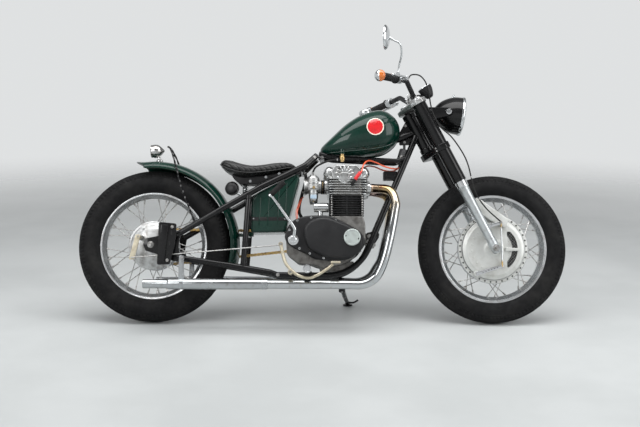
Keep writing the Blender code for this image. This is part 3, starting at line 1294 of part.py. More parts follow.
def grip(side):
    out = (BAR_END - BAR_KNEE).normalized()
    inner = clear_bore(BAR_RADIUS, 12)
    start = BAR_END - out * GRIP_LENGTH
    sleeve = turned([(0, inner), (0, GRIP_RADIUS + 0.005), (0.004, GRIP_RADIUS + 0.005), (0.005, GRIP_RADIUS),
                     (GRIP_LENGTH - 0.002, GRIP_RADIUS), (GRIP_LENGTH, GRIP_RADIUS - 0.002), (GRIP_LENGTH,
                                                                                              inner)],
                    start, out, 12, looped=True)
    return sleeve if side > 0 else on_right(sleeve)


def on_right(solid):
    """Mirrors a left-hand solid to the right and drops the original."""
    twin = on_left(solid)
    bpy.data.objects.remove(solid)
    return twin


def turn_signal(side):
    out = (BAR_END - BAR_KNEE).normalized()
    ball = turned([(TOUCH, 0.014), (0.012, 0.0235), (0.022, 0.0250), (0.032, 0.0215), (0.040, 0.010)],
                  BAR_END, out, 14)
    return ball if side > 0 else on_right(ball)


BAR_OUT = (BAR_END - BAR_KNEE).normalized()
BAR_AHEAD = Vector((BAR_OUT.y, -BAR_OUT.x, 0)).normalized()
PERCH_AT = BAR_END - BAR_OUT * (GRIP_LENGTH + 0.004)


CABLE_STOP = 0.016


def lever_elbow():
    """Where the left lever turns in its perch."""
    return PERCH_AT - BAR_OUT * 0.018 + BAR_AHEAD * 0.040


def lever_and_perch(side):
    out = BAR_OUT
    start = PERCH_AT
    ahead = BAR_AHEAD
    inner = clear_bore(BAR_RADIUS, 12)
    collar = turned([(-0.036, inner), (-0.036, 0.019), (-0.004, 0.019), (-0.004, inner)], start, out, 12,
                    looped=True)
    elbow = lever_elbow()
    neck = rod(start - out * 0.020 + ahead * 0.014, elbow, 0.009, 6)
    blade = tube([elbow, elbow + out * 0.050 + ahead * 0.012, elbow + out * 0.110 + ahead * 0.010,
                  elbow + out * 0.160 + ahead * 0.014], [0.0085, 0.0065, 0.0060, 0.0070], 6)
    stop = rod(elbow + out * 0.004, elbow - out * CABLE_STOP, 0.006, 6)
    whole = fused(collar, neck, blade, stop)
    return whole if side > 0 else on_right(whole)


def mirror_glass_and_stalk():
    """The round mirror on its bent stalk, on the right-hand perch."""
    out = (BAR_END - BAR_KNEE).normalized()
    base = BAR_END - out * (GRIP_LENGTH + 0.024)
    foot = Vector((base.x, -base.y, base.z + 0.019 + TOUCH))
    centre = on_fork(1.0112, -0.0356, -0.335)
    facing = Vector((-1, 0.22, 0.05)).normalized()
    dish = turned([(-0.016, 0.012), (-0.012, 0.034), (-0.002, 0.051), (0.004, 0.0535), (0.006, 0.050)],
                  centre, facing, 18)
    stalk = tube(flowing([foot, foot + Vector((0.004, -0.012, 0.040)), on_fork(0.9214, -0.0055, -0.300),
                          on_fork(0.9589, 0.0048, -0.330), on_fork(0.9868, -0.0144, -0.337),
                          centre - facing * 0.010], 2), 0.0042, 6)
    return fused(dish, stalk)


def speedometer():
    centre = on_fork(0.7808, 0.0750)
    axis = Vector((-0.52, 0, 0.85)).normalized()
    body = turned([(-0.040, 0.014), (-0.032, 0.020), (-0.004, 0.031), (0.012, 0.033), (0.016, 0.031)],
                  centre, axis, 14)
    bracket = tube([centre - axis * 0.034, on_fork(0.775, 0.024), on_fork(UPPER_YOKE[1] + TOUCH, 0.024)],
                   0.006, 6)
    return fused(body, bracket)


def headlamp_shell():
    profile = [(-0.122, 0.010), (-0.114, 0.032), (-0.092, 0.056), (-0.060, 0.075), (-0.030, 0.084),
               (-0.0003, HEADLAMP_RADIUS)]
    shell = turned(profile, HEADLAMP_FACE, HEADLAMP_AXIS, 20)
    knob = rod(HEADLAMP_FACE + Vector((-0.0345, 0, 0.0685)), HEADLAMP_FACE + Vector((-0.0225, 0, 0.0985)),
               0.0075)
    reach = ACROSS * (EAR_Y - TOUCH)
    return fused(shell, knob, rod(HEADLAMP_PIVOT - reach, HEADLAMP_PIVOT + reach, 0.010, 10))


def headlamp_front():
    profile = [(0, 0.0885), (0.010, 0.0890), (0.014, 0.083), (0.018, 0.070), (0.024, 0.040), (0.026, 0.010)]
    return turned(profile, HEADLAMP_FACE, HEADLAMP_AXIS, 20)


piece("lower_yoke", lower_yoke(), BLACK_PAINT, STEERING)
piece("upper_yoke", upper_yoke(), ALLOY, STEERING)
piece("fork_leg_right", fork_leg(-1), BLACK_PAINT, STEERING)
piece("fork_leg_left", fork_leg(1), BLACK_PAINT, STEERING)
piece("handlebar", tube(bar_path(), BAR_RADIUS, 8), SATIN_BLACK, STEERING)
for hand, side in (("right", -1), ("left", 1)):
    piece("grip_" + hand, grip(side), RUBBER, STEERING)
    piece("turn_signal_" + hand, turn_signal(side), CHROME, STEERING)
    piece("lever_" + hand, lever_and_perch(side), ALLOY, STEERING)
piece("mirror", mirror_glass_and_stalk(), CHROME, STEERING)
piece("speedometer", speedometer(), SATIN_BLACK, STEERING)
piece("headlamp_shell", headlamp_shell(), BLACK_PAINT, STEERING)
piece("headlamp_front", headlamp_front(), CHROME, STEERING)

FRONT_PLATE_Y = FRONT_FLANGE_Y + FLANGE_THICK + PLATE_AIR
CAM_ARM_Y = (0.074, 0.080)
LINK_ROD = 0.004
UPPER_CAM = (-0.0195, 0.0982)
UPPER_CAM_TIP = (0.0305, 0.1152)
LOWER_CAM = (-0.076, -0.114)
LOWER_CAM_TIP = (0.034, -0.078)
SCOOP_RADIUS = 0.118
SCOOP_WALL = 0.012
SCOOP_BACK = 0.048
ANCHOR_OUTLINE = [(-0.118, 0.196), (-0.108, 0.212), (-0.066, 0.226), (0.066, 0.131), (0.052, 0.088),
                  (-0.020, 0.128)]


def by_front_axle(points):
    """Outline points given from the front axle, as (x, z) of the machine."""
    return [(FRONT_AXLE.x + x, FRONT_AXLE.z + z) for x, z in points]


def scoop_outline(radius, back, half_angle):
    """A D-shaped outline: an arc in front of the axle closed by an upright behind it."""
    angles = [math.radians(half_angle * (2 * k / 6 - 1) - 3) for k in range(7)]
    arc = [(math.cos(angle) * radius, math.sin(angle) * radius) for angle in angles]
    return by_front_axle([(back, arc[0][1])] + arc + [(back, arc[-1][1])])


def front_brake_plate():
    """The fixed plate of the front brake: air scoop, anchor arm, two cam arms and their link rod."""
    bore = AXLE_RADIUS + TOUCH
    disc = turned([(FRONT_PLATE_Y, bore), (FRONT_PLATE_Y, 0.138), (FRONT_PLATE_Y + 0.004, 0.138),
                   (FRONT_PLATE_Y + 0.012, 0.120), (FRONT_PLATE_Y + 0.016, 0.045), (0.074, 0.030), (0.074,
                                                                                                    bore)],
                  FRONT_AXLE, -ACROSS, 24, looped=True)
    scoop_y = (-FRONT_PLATE_Y - 0.009, -FRONT_PLATE_Y - 0.026)
    mouth = plate(scoop_outline(SCOOP_RADIUS - SCOOP_WALL, SCOOP_BACK + SCOOP_WALL, 48),
                  -FRONT_PLATE_Y - 0.014, scoop_y[1] - 0.01)
    scoop = cut(plate(scoop_outline(SCOOP_RADIUS, SCOOP_BACK, 54), *scoop_y), mouth)
    bar = plate(by_front_axle([(SCOOP_BACK + 0.002, -0.011), (SCOOP_RADIUS - 0.003, -0.010),
                               (SCOOP_RADIUS - 0.003, 0.002),
                               (SCOOP_BACK + 0.002, 0.005)]), scoop_y[0], scoop_y[1] + 0.003)
    anchor = plate(by_front_axle(ANCHOR_OUTLINE), -FRONT_PLATE_Y - 0.010, -ANCHOR_Y)
    parts = [scoop, bar, anchor]
    for cam, tip in ((UPPER_CAM, UPPER_CAM_TIP), (LOWER_CAM, LOWER_CAM_TIP)):
        cam_at = FRONT_AXLE + Vector((cam[0], 0, cam[1]))
        parts.append(rod(cam_at - ACROSS * (FRONT_PLATE_Y + 0.002),
                         cam_at - ACROSS * (CAM_ARM_Y[1] + 0.002), 0.008))
        parts.append(plate(by_front_axle([(cam[0] - 0.010, cam[1] - 0.009), (cam[0] - 0.006, cam[1] + 0.010),
                                          (tip[0] + 0.006, tip[1] + 0.007), (tip[0] + 0.007,
                                                                             tip[1] - 0.006)]),
                           -CAM_ARM_Y[0], -CAM_ARM_Y[1]))
    middle = (CAM_ARM_Y[0] + CAM_ARM_Y[1]) / 2
    ends = [FRONT_AXLE + Vector((tip[0], -middle, tip[1])) for tip in (UPPER_CAM_TIP, LOWER_CAM_TIP)]
    parts.append(rod(*ends, LINK_ROD, 6))
    return fused(disc, *parts)


CABLE_RADIUS = 0.0032


def brake_cable():
    """The front brake's cable, from the right-hand lever down ahead of the fork to the upper cam arm."""
    inward = Vector((-BAR_OUT.x, BAR_OUT.y, -BAR_OUT.z))
    lever = lever_elbow()
    start = Vector((lever.x, -lever.y, lever.z)) + inward * (CABLE_STOP + TOUCH)
    route = [start, start + inward * 0.006, (1.140, -0.225, 1.080), (1.178, -0.195, 1.084),
             (1.208, -0.165, 1.060), (1.224, -0.145, 1.014),
             (1.233, -0.132, 0.967), (1.246, -0.126, 0.925), (1.277, -0.125, 0.869), (1.326, -0.124, 0.824),
             (1.373, -0.122, 0.756), (1.397, -0.120, 0.703), (1.413, -0.118, 0.639), (1.432, -0.114, 0.575),
             (1.478, -0.104, 0.510)]
    tip = FRONT_AXLE + Vector((UPPER_CAM_TIP[0], -CAM_ARM_Y[1], UPPER_CAM_TIP[1]))
    barrel_y = (CAM_ARM_Y[0] + CAM_ARM_Y[1]) / 2 + LINK_ROD * math.cos(math.pi / 6) + TOUCH
    barrel = rod((tip.x, -barrel_y, tip.z), (tip.x, -barrel_y - 0.014, tip.z), 0.005, 6)
    return fused(barrel, tube(route + [(tip.x, -barrel_y - 0.009, tip.z)], CABLE_RADIUS, 6))


piece("front_brake_plate", front_brake_plate(), ALLOY, STEERING)
piece("brake_cable", brake_cable(), RUBBER, STEERING)


def lean_and_centre():
    """Leans the machine onto its stand and puts the origin under the middle of its box."""
    PARKED.rotation_euler = (-LEAN, 0, 0)
    bpy.context.view_layer.update()
    graph = bpy.context.evaluated_depsgraph_get()
    low = Vector((9, 9, 9))
    high = Vector((-9, -9, -9))
    for solid in bpy.data.objects:
        if solid.type != "MESH" or solid.hide_render:
            continue
        world = solid.evaluated_get(graph).matrix_world
        for vertex in solid.data.vertices:
            spot = world @ vertex.co
            low = Vector(min(a, b) for a, b in zip(low, spot))
            high = Vector(max(a, b) for a, b in zip(high, spot))
    PARKED.location = (-(low.x + high.x) / 2, -(low.y + high.y) / 2, -low.z)
    bpy.context.view_layer.update()


lean_and_centre()
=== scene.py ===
"""Looks for a parked hardtail bobber motorcycle: finer forms, small fittings and materials.

Forms are given in machine coordinates: x = 0 at the rear axle, +X forwards, +Y to the rider's
left, z = 0 on the ground line and the machine upright, in metres; mm() takes millimetres. Each shape
leans with the machine when it is finished.
"""

import json
import math

import bmesh
import bpy
from mathutils import Matrix, Vector
from mathutils.bvhtree import BVHTree


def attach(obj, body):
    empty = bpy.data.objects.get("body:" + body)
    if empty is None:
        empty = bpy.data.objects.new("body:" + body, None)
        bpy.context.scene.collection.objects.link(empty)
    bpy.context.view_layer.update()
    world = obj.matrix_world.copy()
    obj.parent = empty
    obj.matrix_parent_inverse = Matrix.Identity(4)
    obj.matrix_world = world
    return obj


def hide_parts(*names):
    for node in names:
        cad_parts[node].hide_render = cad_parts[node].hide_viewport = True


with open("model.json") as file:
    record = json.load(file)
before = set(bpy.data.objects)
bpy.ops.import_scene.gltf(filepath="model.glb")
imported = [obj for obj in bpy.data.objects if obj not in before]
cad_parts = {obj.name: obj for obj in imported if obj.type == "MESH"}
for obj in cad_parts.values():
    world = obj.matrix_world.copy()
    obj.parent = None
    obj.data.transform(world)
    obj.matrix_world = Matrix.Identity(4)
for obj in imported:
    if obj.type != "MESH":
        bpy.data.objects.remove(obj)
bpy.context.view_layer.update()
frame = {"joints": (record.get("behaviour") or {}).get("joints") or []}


# Photographer's side: the camera that took the photo, fitted to its tyres and axles, and the pale floor
# of a studio. The floor fades into the room before its edge, so that no view from behind is blocked.
ACROSS = Vector((0, 1, 0))
LEAN = math.radians(15)
REAR_AXLE = Vector((0, 0, 0.34251))
REAR_HUB_WORLD = Vector(next(j["pos_m"] for j in frame["joints"] if j["name"] == "rear_wheel_spin"))

PARKED = (Matrix.Translation(REAR_HUB_WORLD) @ Matrix.Rotation(-LEAN, 4, "X")
          @ Matrix.Translation(-REAR_AXLE))


class Value:
    """A shader value on which ordinary arithmetic works."""

    def __init__(self, look, socket):
        self.look = look
        self.socket = socket

    def maths(self, operation, *others):
        return self.look.node("ShaderNodeMath", self, *others, operation=operation)

    def __rsub__(self, other):
        return self.look.node("ShaderNodeMath", other, self, operation="SUBTRACT")

    def __add__(self, other):
        return self.maths("ADD", other)

    def __mul__(self, other):
        return self.maths("MULTIPLY", other)

    __radd__ = __add__
    __rmul__ = __mul__

    def sine(self):
        return self.maths("SINE")

    def ramp(self, low, high, to_low=0.0, to_high=1.0):
        """A smooth step from one value to another as this one goes from low to high."""
        return self.look.node("ShaderNodeMapRange", self, low, high, to_low, to_high,
                              interpolation_type="SMOOTHSTEP")

    def blend(self, first, second):
        """One colour where this value is 0, the other where it is 1."""
        mix = self.look.tree.nodes.new("ShaderNodeMix")
        mix.data_type = "RGBA"
        for name, given in (("Factor_Float", self), ("A_Color", first), ("B_Color", second)):
            socket = next(s for s in mix.inputs if s.identifier == name)
            self.look.join(given, socket)
        return Value(self.look, next(s for s in mix.outputs if s.identifier == "Result_Color"))


class Look:
    """A node material with a Principled shader."""

    def __init__(self, name, colour, roughness, metallic=0.0, **settings):
        self.material = bpy.data.materials.new(name)
        self.material.use_nodes = True
        self.tree = self.material.node_tree
        self.shader = self.tree.nodes["Principled BSDF"]
        self.feed("Base Color", (*colour, 1.0))
        self.feed("Roughness", roughness)
        self.feed("Metallic", metallic)
        for setting, value in settings.items():
            self.feed(setting.replace("_", " "), value)
        self.place = Value(self, self.tree.nodes.new("ShaderNodeTexCoord").outputs["Object"])

    def join(self, given, socket):
        if isinstance(given, Value):
            self.tree.links.new(given.socket, socket)
        elif hasattr(socket.default_value, "__len__") and len(given) == 3 and len(socket.default_value) == 4:
            socket.default_value = (*given, 1.0)
        else:
            socket.default_value = given

    def node(self, kind, *inputs, output=0, **settings):
        made = self.tree.nodes.new(kind)
        for setting, value in settings.items():
            setattr(made, setting, value)
        for given, socket in zip(inputs, made.inputs):
            if given is not None:
                self.join(given, socket)
        return Value(self, made.outputs[output])

    def feed(self, name, given):
        self.join(given, self.shader.inputs[name])
        return self

    def noise(self, scale, detail=3.0, roughness=0.55):
        return self.node("ShaderNodeTexNoise", self.place, None, scale, detail, roughness)

    def cells(self, scale, **settings):
        return self.node("ShaderNodeTexVoronoi", self.place, None, scale, **settings)

    def across_lean(self, at):
        """Distance from an axle that points across the leaned machine."""
        offset = self.node("ShaderNodeVectorMath", self.place, tuple(PARKED @ Vector(at)),
                           operation="SUBTRACT")
        flat = self.node("ShaderNodeVectorMath", offset, tuple(PARKED.to_3x3() @ ACROSS),
                         operation="CROSS_PRODUCT")
        return self.node("ShaderNodeVectorMath", flat, operation="LENGTH", output=1)

    def bump(self, height, distance, strength=1.0):
        made = self.tree.nodes.new("ShaderNodeBump")
        self.join(strength, made.inputs["Strength"])
        self.join(distance, made.inputs["Distance"])
        self.join(height, made.inputs["Height"])
        previous = self.shader.inputs["Normal"].links
        if previous:
            self.tree.links.new(previous[0].from_socket, made.inputs["Normal"])
        self.tree.links.new(made.outputs["Normal"], self.shader.inputs["Normal"])
        return self


camera = bpy.data.objects.new("camera", bpy.data.cameras.new("camera"))
bpy.context.scene.collection.objects.link(camera)
camera.data.sensor_width = 36
camera.data.lens = 55.49
camera.location = REAR_HUB_WORLD + Vector((0.73906, -4.27345 - REAR_AXLE.z * math.sin(LEAN),
                                           1.21507 - REAR_HUB_WORLD.z))
camera.rotation_euler = (Matrix.Rotation(-0.00107, 4, "Z") @ Matrix.Rotation(math.pi / 2 - 0.16623, 4, "X")
                         @ Matrix.Rotation(0.00417, 4, "Z")).to_euler()
bpy.context.scene.camera = camera
bpy.context.scene.view_settings.view_transform = "Standard"

floor_look = Look("pale_floor", (0.5, 0.52, 0.52), 0.45)
floor_look.feed("Base Color", floor_look.noise(1.5, 4).ramp(0.35, 0.65).blend((0.48, 0.5, 0.5),
        (0.53, 0.55, 0.55)))
floor_look.bump(floor_look.noise(180, 4), 0.0006, 0.25)
away = floor_look.node("ShaderNodeVectorMath", floor_look.place, operation="LENGTH", output=1)
fade = floor_look.node("ShaderNodeMixShader", away.ramp(2.2, 7.5))
floor_nodes = floor_look.tree
floor_nodes.links.new(floor_look.shader.outputs[0], fade.socket.node.inputs[1])
floor_nodes.links.new(floor_nodes.nodes.new("ShaderNodeBsdfTransparent").outputs[0],
                      fade.socket.node.inputs[2])
floor_nodes.links.new(fade.socket, floor_nodes.nodes["Material Output"].inputs["Surface"])
disc = bmesh.new()
bmesh.ops.create_circle(disc, cap_ends=True, segments=96, radius=8)
bmesh.ops.translate(disc, verts=disc.verts, vec=(0, 0, -0.0005))
floor_mesh = bpy.data.meshes.new("studio_floor")
disc.to_mesh(floor_mesh)
disc.free()
floor_mesh.materials.append(floor_look.material)
studio_floor = bpy.data.objects.new("studio_floor", floor_mesh)
bpy.context.scene.collection.objects.link(studio_floor)


# The room and its lights: pale walls at eye level and a dimmer ceiling, so that bright metal has
# something to mirror, and three soft boxes: overhead, beside the camera and ahead of the front wheel.
world = bpy.data.worlds.new("studio")
world.use_nodes = True
sky = world.node_tree.nodes
height = sky.new("ShaderNodeSeparateXYZ")
world.node_tree.links.new(sky.new("ShaderNodeTexCoord").outputs["Generated"], height.inputs[0])
room = sky.new("ShaderNodeValToRGB")
world.node_tree.links.new(height.outputs["Z"], room.inputs[0])
room.color_ramp.elements[0].position = 0.0
room.color_ramp.elements[0].color = (0.74, 0.755, 0.76, 1)
room.color_ramp.elements[1].position = 1.0
room.color_ramp.elements[1].color = (0.55, 0.56, 0.57, 1)
for position, shade in ((0.3, 0.74), (0.42, 0.3), (0.8, 0.24), (0.88, 0.55)):
    room.color_ramp.elements.new(position).color = (shade, shade * 1.01, shade * 1.02, 1)
world.node_tree.links.new(room.outputs["Color"], sky["Background"].inputs["Color"])
sky["Background"].inputs["Strength"].default_value = 1.0
bpy.context.scene.world = world


def soft_light(name, place, target, width, height, power):
    lamp = bpy.data.lights.new(name, "AREA")
    lamp.shape = "RECTANGLE"
    lamp.size = width
    lamp.size_y = height
    lamp.energy = power
    holder = bpy.data.objects.new(name, lamp)
    holder.location = place
    holder.rotation_euler = (Vector(target) - Vector(place)).to_track_quat("-Z", "Y").to_euler()
    bpy.context.scene.collection.objects.link(holder)


soft_light("overhead_softbox", (0.0, -0.6, 3.2), (0, 0, 0.4), 5.0, 2.0, 125)
soft_light("camera_side_softbox", (-2.8, -3.4, 2.6), (0, 0, 0.4), 2.4, 1.4, 55)
soft_light("front_wheel_softbox", (3.2, -1.8, 1.8), (0.3, 0, 0.5), 1.8, 2.4, 45)


# Tyres: black balloon tyres of moulded rubber, with two zigzag ribs, a sawtooth shoulder and fine rings
# on the walls. Each is held on its rim by its beads and has a body of its own to turn with.
UP = Vector((0, 0, 1))
FRONT_AXLE = Vector((1.5175, 0, 0.33383))


def side_of(axis):
    helper = ACROSS if abs(axis.dot(ACROSS)) < 0.9 else UP
    return axis.cross(helper).normalized()


def shrunk(outline, amount):
    points = [Vector(point) for point in outline]
    area = sum(a.x * b.y - b.x * a.y for a, b in zip(points, points[1:] + points[:1]))
    inward = 1 if area > 0 else -1
    moved = []
    for k, point in enumerate(points):
        run = (points[(k + 1) % len(points)] - points[k - 1]).normalized()
        moved.append((point.x - run.y * inward * amount, point.y + run.x * inward * amount))
    return moved


def round_rims(low, high, edge, back_edge=0.0, steps=5):
    """Layers of a plate with quarter-round rims, as (height, how far the outline draws in)."""
    out = 1 if high > low else -1
    layers = []
    for face, sign, radius in ((low, out, back_edge), (high, -out, edge)):
        turns = [math.pi / 2 * k / steps for k in range(steps + 1)] if radius else [0]
        rows = [(face + sign * radius * (1 - math.sin(turn)), radius * (1 - math.cos(turn)))
                for turn in turns]
        layers += rows[::-1] if sign == out else rows
    return layers


def make_repeating_tree():
    """Geometry nodes that set a part at each point of a carrier, turned and stretched as its point says."""
    tree = bpy.data.node_groups.new("part_at_each_point", "GeometryNodeTree")
    for name, kind in (("Points", "Geometry"), ("Part", "Object"), ("Size", "Float"), ("Finish", "Material")):
        tree.interface.new_socket(name, in_out="INPUT", socket_type="NodeSocket" + kind)
    tree.interface.new_socket("Parts", in_out="OUTPUT", socket_type="NodeSocketGeometry")
    given, made, part, turn, stretch, size, place, real, finish = (
        tree.nodes.new(kind) for kind in (
            "NodeGroupInput", "NodeGroupOutput", "GeometryNodeObjectInfo", "GeometryNodeInputNamedAttribute",
            "GeometryNodeInputNamedAttribute", "ShaderNodeVectorMath", "GeometryNodeInstanceOnPoints",
            "GeometryNodeRealizeInstances", "GeometryNodeSetMaterial"))
    euler = tree.nodes.new("FunctionNodeEulerToRotation")
    turn.data_type = stretch.data_type = "FLOAT_VECTOR"
    turn.inputs["Name"].default_value = "turn"
    stretch.inputs["Name"].default_value = "stretch"
    size.operation = "SCALE"
    for start, output, end, entry in (
            (given, "Part", part, "Object"), (turn, "Attribute", euler, "Euler"),
            (stretch, "Attribute", size, "Vector"), (given, "Size", size, "Scale"),
            (given, "Points", place, "Points"), (part, "Geometry", place, "Instance"),
            (euler, "Rotation", place, "Rotation"), (size, "Vector", place, "Scale"),
            (place, "Instances", real, "Geometry"), (real, "Geometry", finish, "Geometry"),
            (given, "Finish", finish, "Material"), (finish, "Geometry", made, "Parts")):
        tree.links.new(start.outputs[output], end.inputs[entry])
    return tree


REPEATING = make_repeating_tree()


def around(centre, angle, radius, y=0.0):
    """A point on a circle that faces across the machine."""
    return Vector(centre) + Vector((math.cos(angle) * radius, y, math.sin(angle) * radius))


class Shape:
    """Mesh code for one piece: each call adds a closed form in machine coordinates."""

    def __init__(self):
        self.bm = bmesh.new()
        self.slot = 0
        self.local = Matrix()

    def paint(self, slot):
        """What is added next takes the finish with this number."""
        self.slot = slot
        return self

    def within(self, matrix):
        """What is added next is given in this frame."""
        self.local = matrix
        return self

    def repeat(self, part, places, look, size=1.0):
        """Sets a part at many places with geometry nodes and takes the real mesh in."""
        pattern_mesh = bpy.data.meshes.new("pattern")
        part.bm.to_mesh(pattern_mesh)
        carrier_mesh = bpy.data.meshes.new("carrier")
        carrier_mesh.from_pydata([place.translation for place in places], [], [])
        turn = carrier_mesh.attributes.new("turn", "FLOAT_VECTOR", "POINT")
        stretch = carrier_mesh.attributes.new("stretch", "FLOAT_VECTOR", "POINT")
        for k, place in enumerate(places):
            turn.data[k].vector = place.to_euler()
            stretch.data[k].vector = place.to_scale()
        pattern, carrier = (bpy.data.objects.new(mesh.name, mesh) for mesh in (pattern_mesh, carrier_mesh))
        for holder in (pattern, carrier):
            bpy.context.scene.collection.objects.link(holder)
        grow = carrier.modifiers.new("grow", "NODES")
        grow.node_group = REPEATING
        sockets = {item.name: item.identifier for item in REPEATING.interface.items_tree}
        for name, value in (("Part", pattern), ("Size", size), ("Finish", look.material)):
            grow[sockets[name]] = value
        grown = bpy.data.meshes.new_from_object(carrier.evaluated_get(bpy.context.evaluated_depsgraph_get()))
        carrier.modifiers.clear()
        first = len(self.bm.faces)
        self.bm.from_mesh(grown)
        self.bm.faces.ensure_lookup_table()
        for face in self.bm.faces[first:]:
            face.material_index = self.slot
        for holder in (pattern, carrier):
            bpy.data.objects.remove(holder)
        return self

    def skin(self, rings, loop=False):
        rows = [[self.bm.verts.new(self.local @ Vector(point)) for point in ring] for ring in rings]
        count = len(rows[0])
        faces = []
        for low, high in zip(rows, rows[1:] + rows[:1] if loop else rows[1:]):
            for k in range(count):
                faces.append(self.bm.faces.new((low[k], low[(k + 1) % count], high[(k + 1) % count],
                                                high[k])))
        if not loop:
            faces.append(self.bm.faces.new(rows[0]))
            faces.append(self.bm.faces.new(rows[-1]))
        bmesh.ops.recalc_face_normals(self.bm, faces=faces)
        for face in faces:
            face.material_index = self.slot
        return self

    def turn(self, profile, centre, axis, facets=32, loop=False):
        """A turned form: profile points are (distance along the axis, radius)."""
        axis = Vector(axis).normalized()
        right = side_of(axis)
        ahead = axis.cross(right)
        rings = []
        for k in range(facets):
            angle = 2 * math.pi * k / facets
            spoke = right * math.cos(angle) + ahead * math.sin(angle)
            rings.append([Vector(centre) + axis * along + spoke * radius for along, radius in profile])
        return self.skin(rings, loop=True) if loop else self.skin([list(ring) for ring in zip(*rings)])

    def sweep(self, path, radius, facets=12, twist=0.0, loop=False):
        path = [Vector(point) for point in path]
        radii = radius if isinstance(radius, (list, tuple)) else [radius] * len(path)
        rings = []
        right = None
        for k, point in enumerate(path):
            before = (point - path[k - 1]).normalized() if k or loop else (path[1] - point).normalized()
            after = (path[(k + 1) % len(path)] - point).normalized() if k + 1 < len(path) or loop else before
            heading = (before + after).normalized()
            if right is None:
                right = side_of(heading)
            right = (right - heading * right.dot(heading)).normalized()
            ahead = heading.cross(right)
            turns = [2 * math.pi * j / facets + twist * k for j in range(facets)]
            rings.append([point + (right * math.cos(turn) + ahead * math.sin(turn)) * radii[k]
                          for turn in turns])
        return self.skin(rings, loop=loop)

    def bar(self, start, end, radius, facets=16):
        """A round bar with small chamfers."""
        reach = Vector(end) - Vector(start)
        rim = min(radius * 0.12, 0.0012, reach.length * 0.3)
        return self.turn([(0, radius - rim), (rim, radius), (reach.length - rim, radius),
                          (reach.length, radius - rim)], start, reach, facets)

    def slab(self, outline, y_from, y_to):
        """An (x, z) outline made solid across the machine."""
        return self.skin([[(x, y, z) for x, z in outline] for y in (y_from, y_to)])

    def pillow(self, outline, y_from, y_to, edge, back_edge=0.0):
        """A plate across the machine with rounded rims, on its y_to side first."""
        return self.skin([[(x, y, z) for x, z in shrunk(outline, inset)]
                          for y, inset in round_rims(y_from, y_to, edge, back_edge)])

    def tablet(self, outline, z_from, z_to, edge, back_edge=0.0):
        """The same lying flat, from an (x, y) outline."""
        return self.skin([[(x, y, z) for x, y in shrunk(outline, inset)]
                          for z, inset in round_rims(z_from, z_to, edge, back_edge)])

    def hoop(self, centre, axis, radius, thick, facets=48, sides=8):
        profile = [(math.sin(2 * math.pi * k / sides) * thick, radius
                    + math.cos(2 * math.pi * k / sides) * thick) for k in range(sides)]
        return self.turn(profile, centre, axis, facets, loop=True)

    def weld(self, centre, axis, radius, thick=0.0026):
        """A bead of small overlapping lumps round a joint."""
        axis = Vector(axis).normalized()
        right = side_of(axis)
        ahead = axis.cross(right)
        count = max(40, int(radius * 2 * math.pi / 0.0012))
        turns = [2 * math.pi * k / count for k in range(count)]
        path = [Vector(centre) + (right * math.cos(turn) + ahead * math.sin(turn)) * radius for turn in turns]
        return self.sweep(path, [thick * (0.82 + 0.18 * math.cos(k * math.pi / 2)) for k in range(count)], 8,
                          loop=True)

    def spring(self, start, end, radius, wire, turns, facets=8):
        start = Vector(start)
        reach = Vector(end) - start
        right = side_of(reach.normalized())
        ahead = reach.normalized().cross(right)
        steps = int(turns * 20)
        path = [start + reach * (k / steps) + (right * math.cos(turns * 2 * math.pi * k / steps)
                                               + ahead * math.sin(turns * 2 * math.pi * k / steps)) * radius
                for k in range(steps + 1)]
        return self.sweep(path, wire, facets)

    def bolt(self, at, axis, across=0.01, height=0.006, washer=True):
        if washer:
            self.turn([(0, across * 0.8), (0.0009, across * 0.8), (0.0013, across * 0.76)], at, axis, 20)
        self.turn([(0.001, across * 0.56), (height - 0.0012, across * 0.57), (height, across * 0.48)], at,
                  axis, 6)
        return self

    def screw(self, at, axis, radius=0.0045, height=0.003):
        """A cheese-head screw with a hollow for the driver."""
        return self.turn([(0, radius), (height * 0.6, radius), (height, radius * 0.8), (height, radius * 0.42),
                          (height * 0.35, radius * 0.36)], at, axis, 16)

    def carved(self, *cutters):
        """Cuts other shapes out of this one."""
        solids = []
        for shape in (self, *cutters):
            mesh = bpy.data.meshes.new("cut")
            shape.bm.to_mesh(mesh)
            shape.bm.free()
            solids.append(bpy.data.objects.new("cut", mesh))
            bpy.context.scene.collection.objects.link(solids[-1])
        for cutter in solids[1:]:
            modifier = solids[0].modifiers.new("cut", "BOOLEAN")
            modifier.operation = "DIFFERENCE"
            modifier.solver = "EXACT"
            modifier.object = cutter
        graph = bpy.context.evaluated_depsgraph_get()
        self.bm = bmesh.new()
        self.bm.from_mesh(solids[0].evaluated_get(graph).to_mesh())
        for solid in solids:
            bpy.data.objects.remove(solid)
        return self

    def mirrored(self):
        """Adds the same forms on the other side of the machine."""
        copied = bmesh.ops.duplicate(self.bm, geom=self.bm.verts[:] + self.bm.edges[:]
                                     + self.bm.faces[:])["geom"]
        for part in copied:
            if isinstance(part, bmesh.types.BMVert):
                part.co.y = -part.co.y
        bmesh.ops.reverse_faces(self.bm, faces=[part for part in copied if isinstance(part,
                bmesh.types.BMFace)])
        return self

    def finished(self, name, looks, body, slot, replaces=(), crease=32):
        """Leans the form with the machine, gives it its looks and lets it ride on a body."""
        mesh = bpy.data.meshes.new(name)
        self.bm.to_mesh(mesh)
        self.bm.free()
        mesh.transform(PARKED)
        for look in looks:
            mesh.materials.append(look.material)
        mesh.shade_smooth()
        mesh.set_sharp_from_angle(angle=math.radians(crease))
        solid = bpy.data.objects.new(name, mesh)
        bpy.context.scene.collection.objects.link(solid)
        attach(solid, body)
        if replaces:
            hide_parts(*replaces)
        return solid


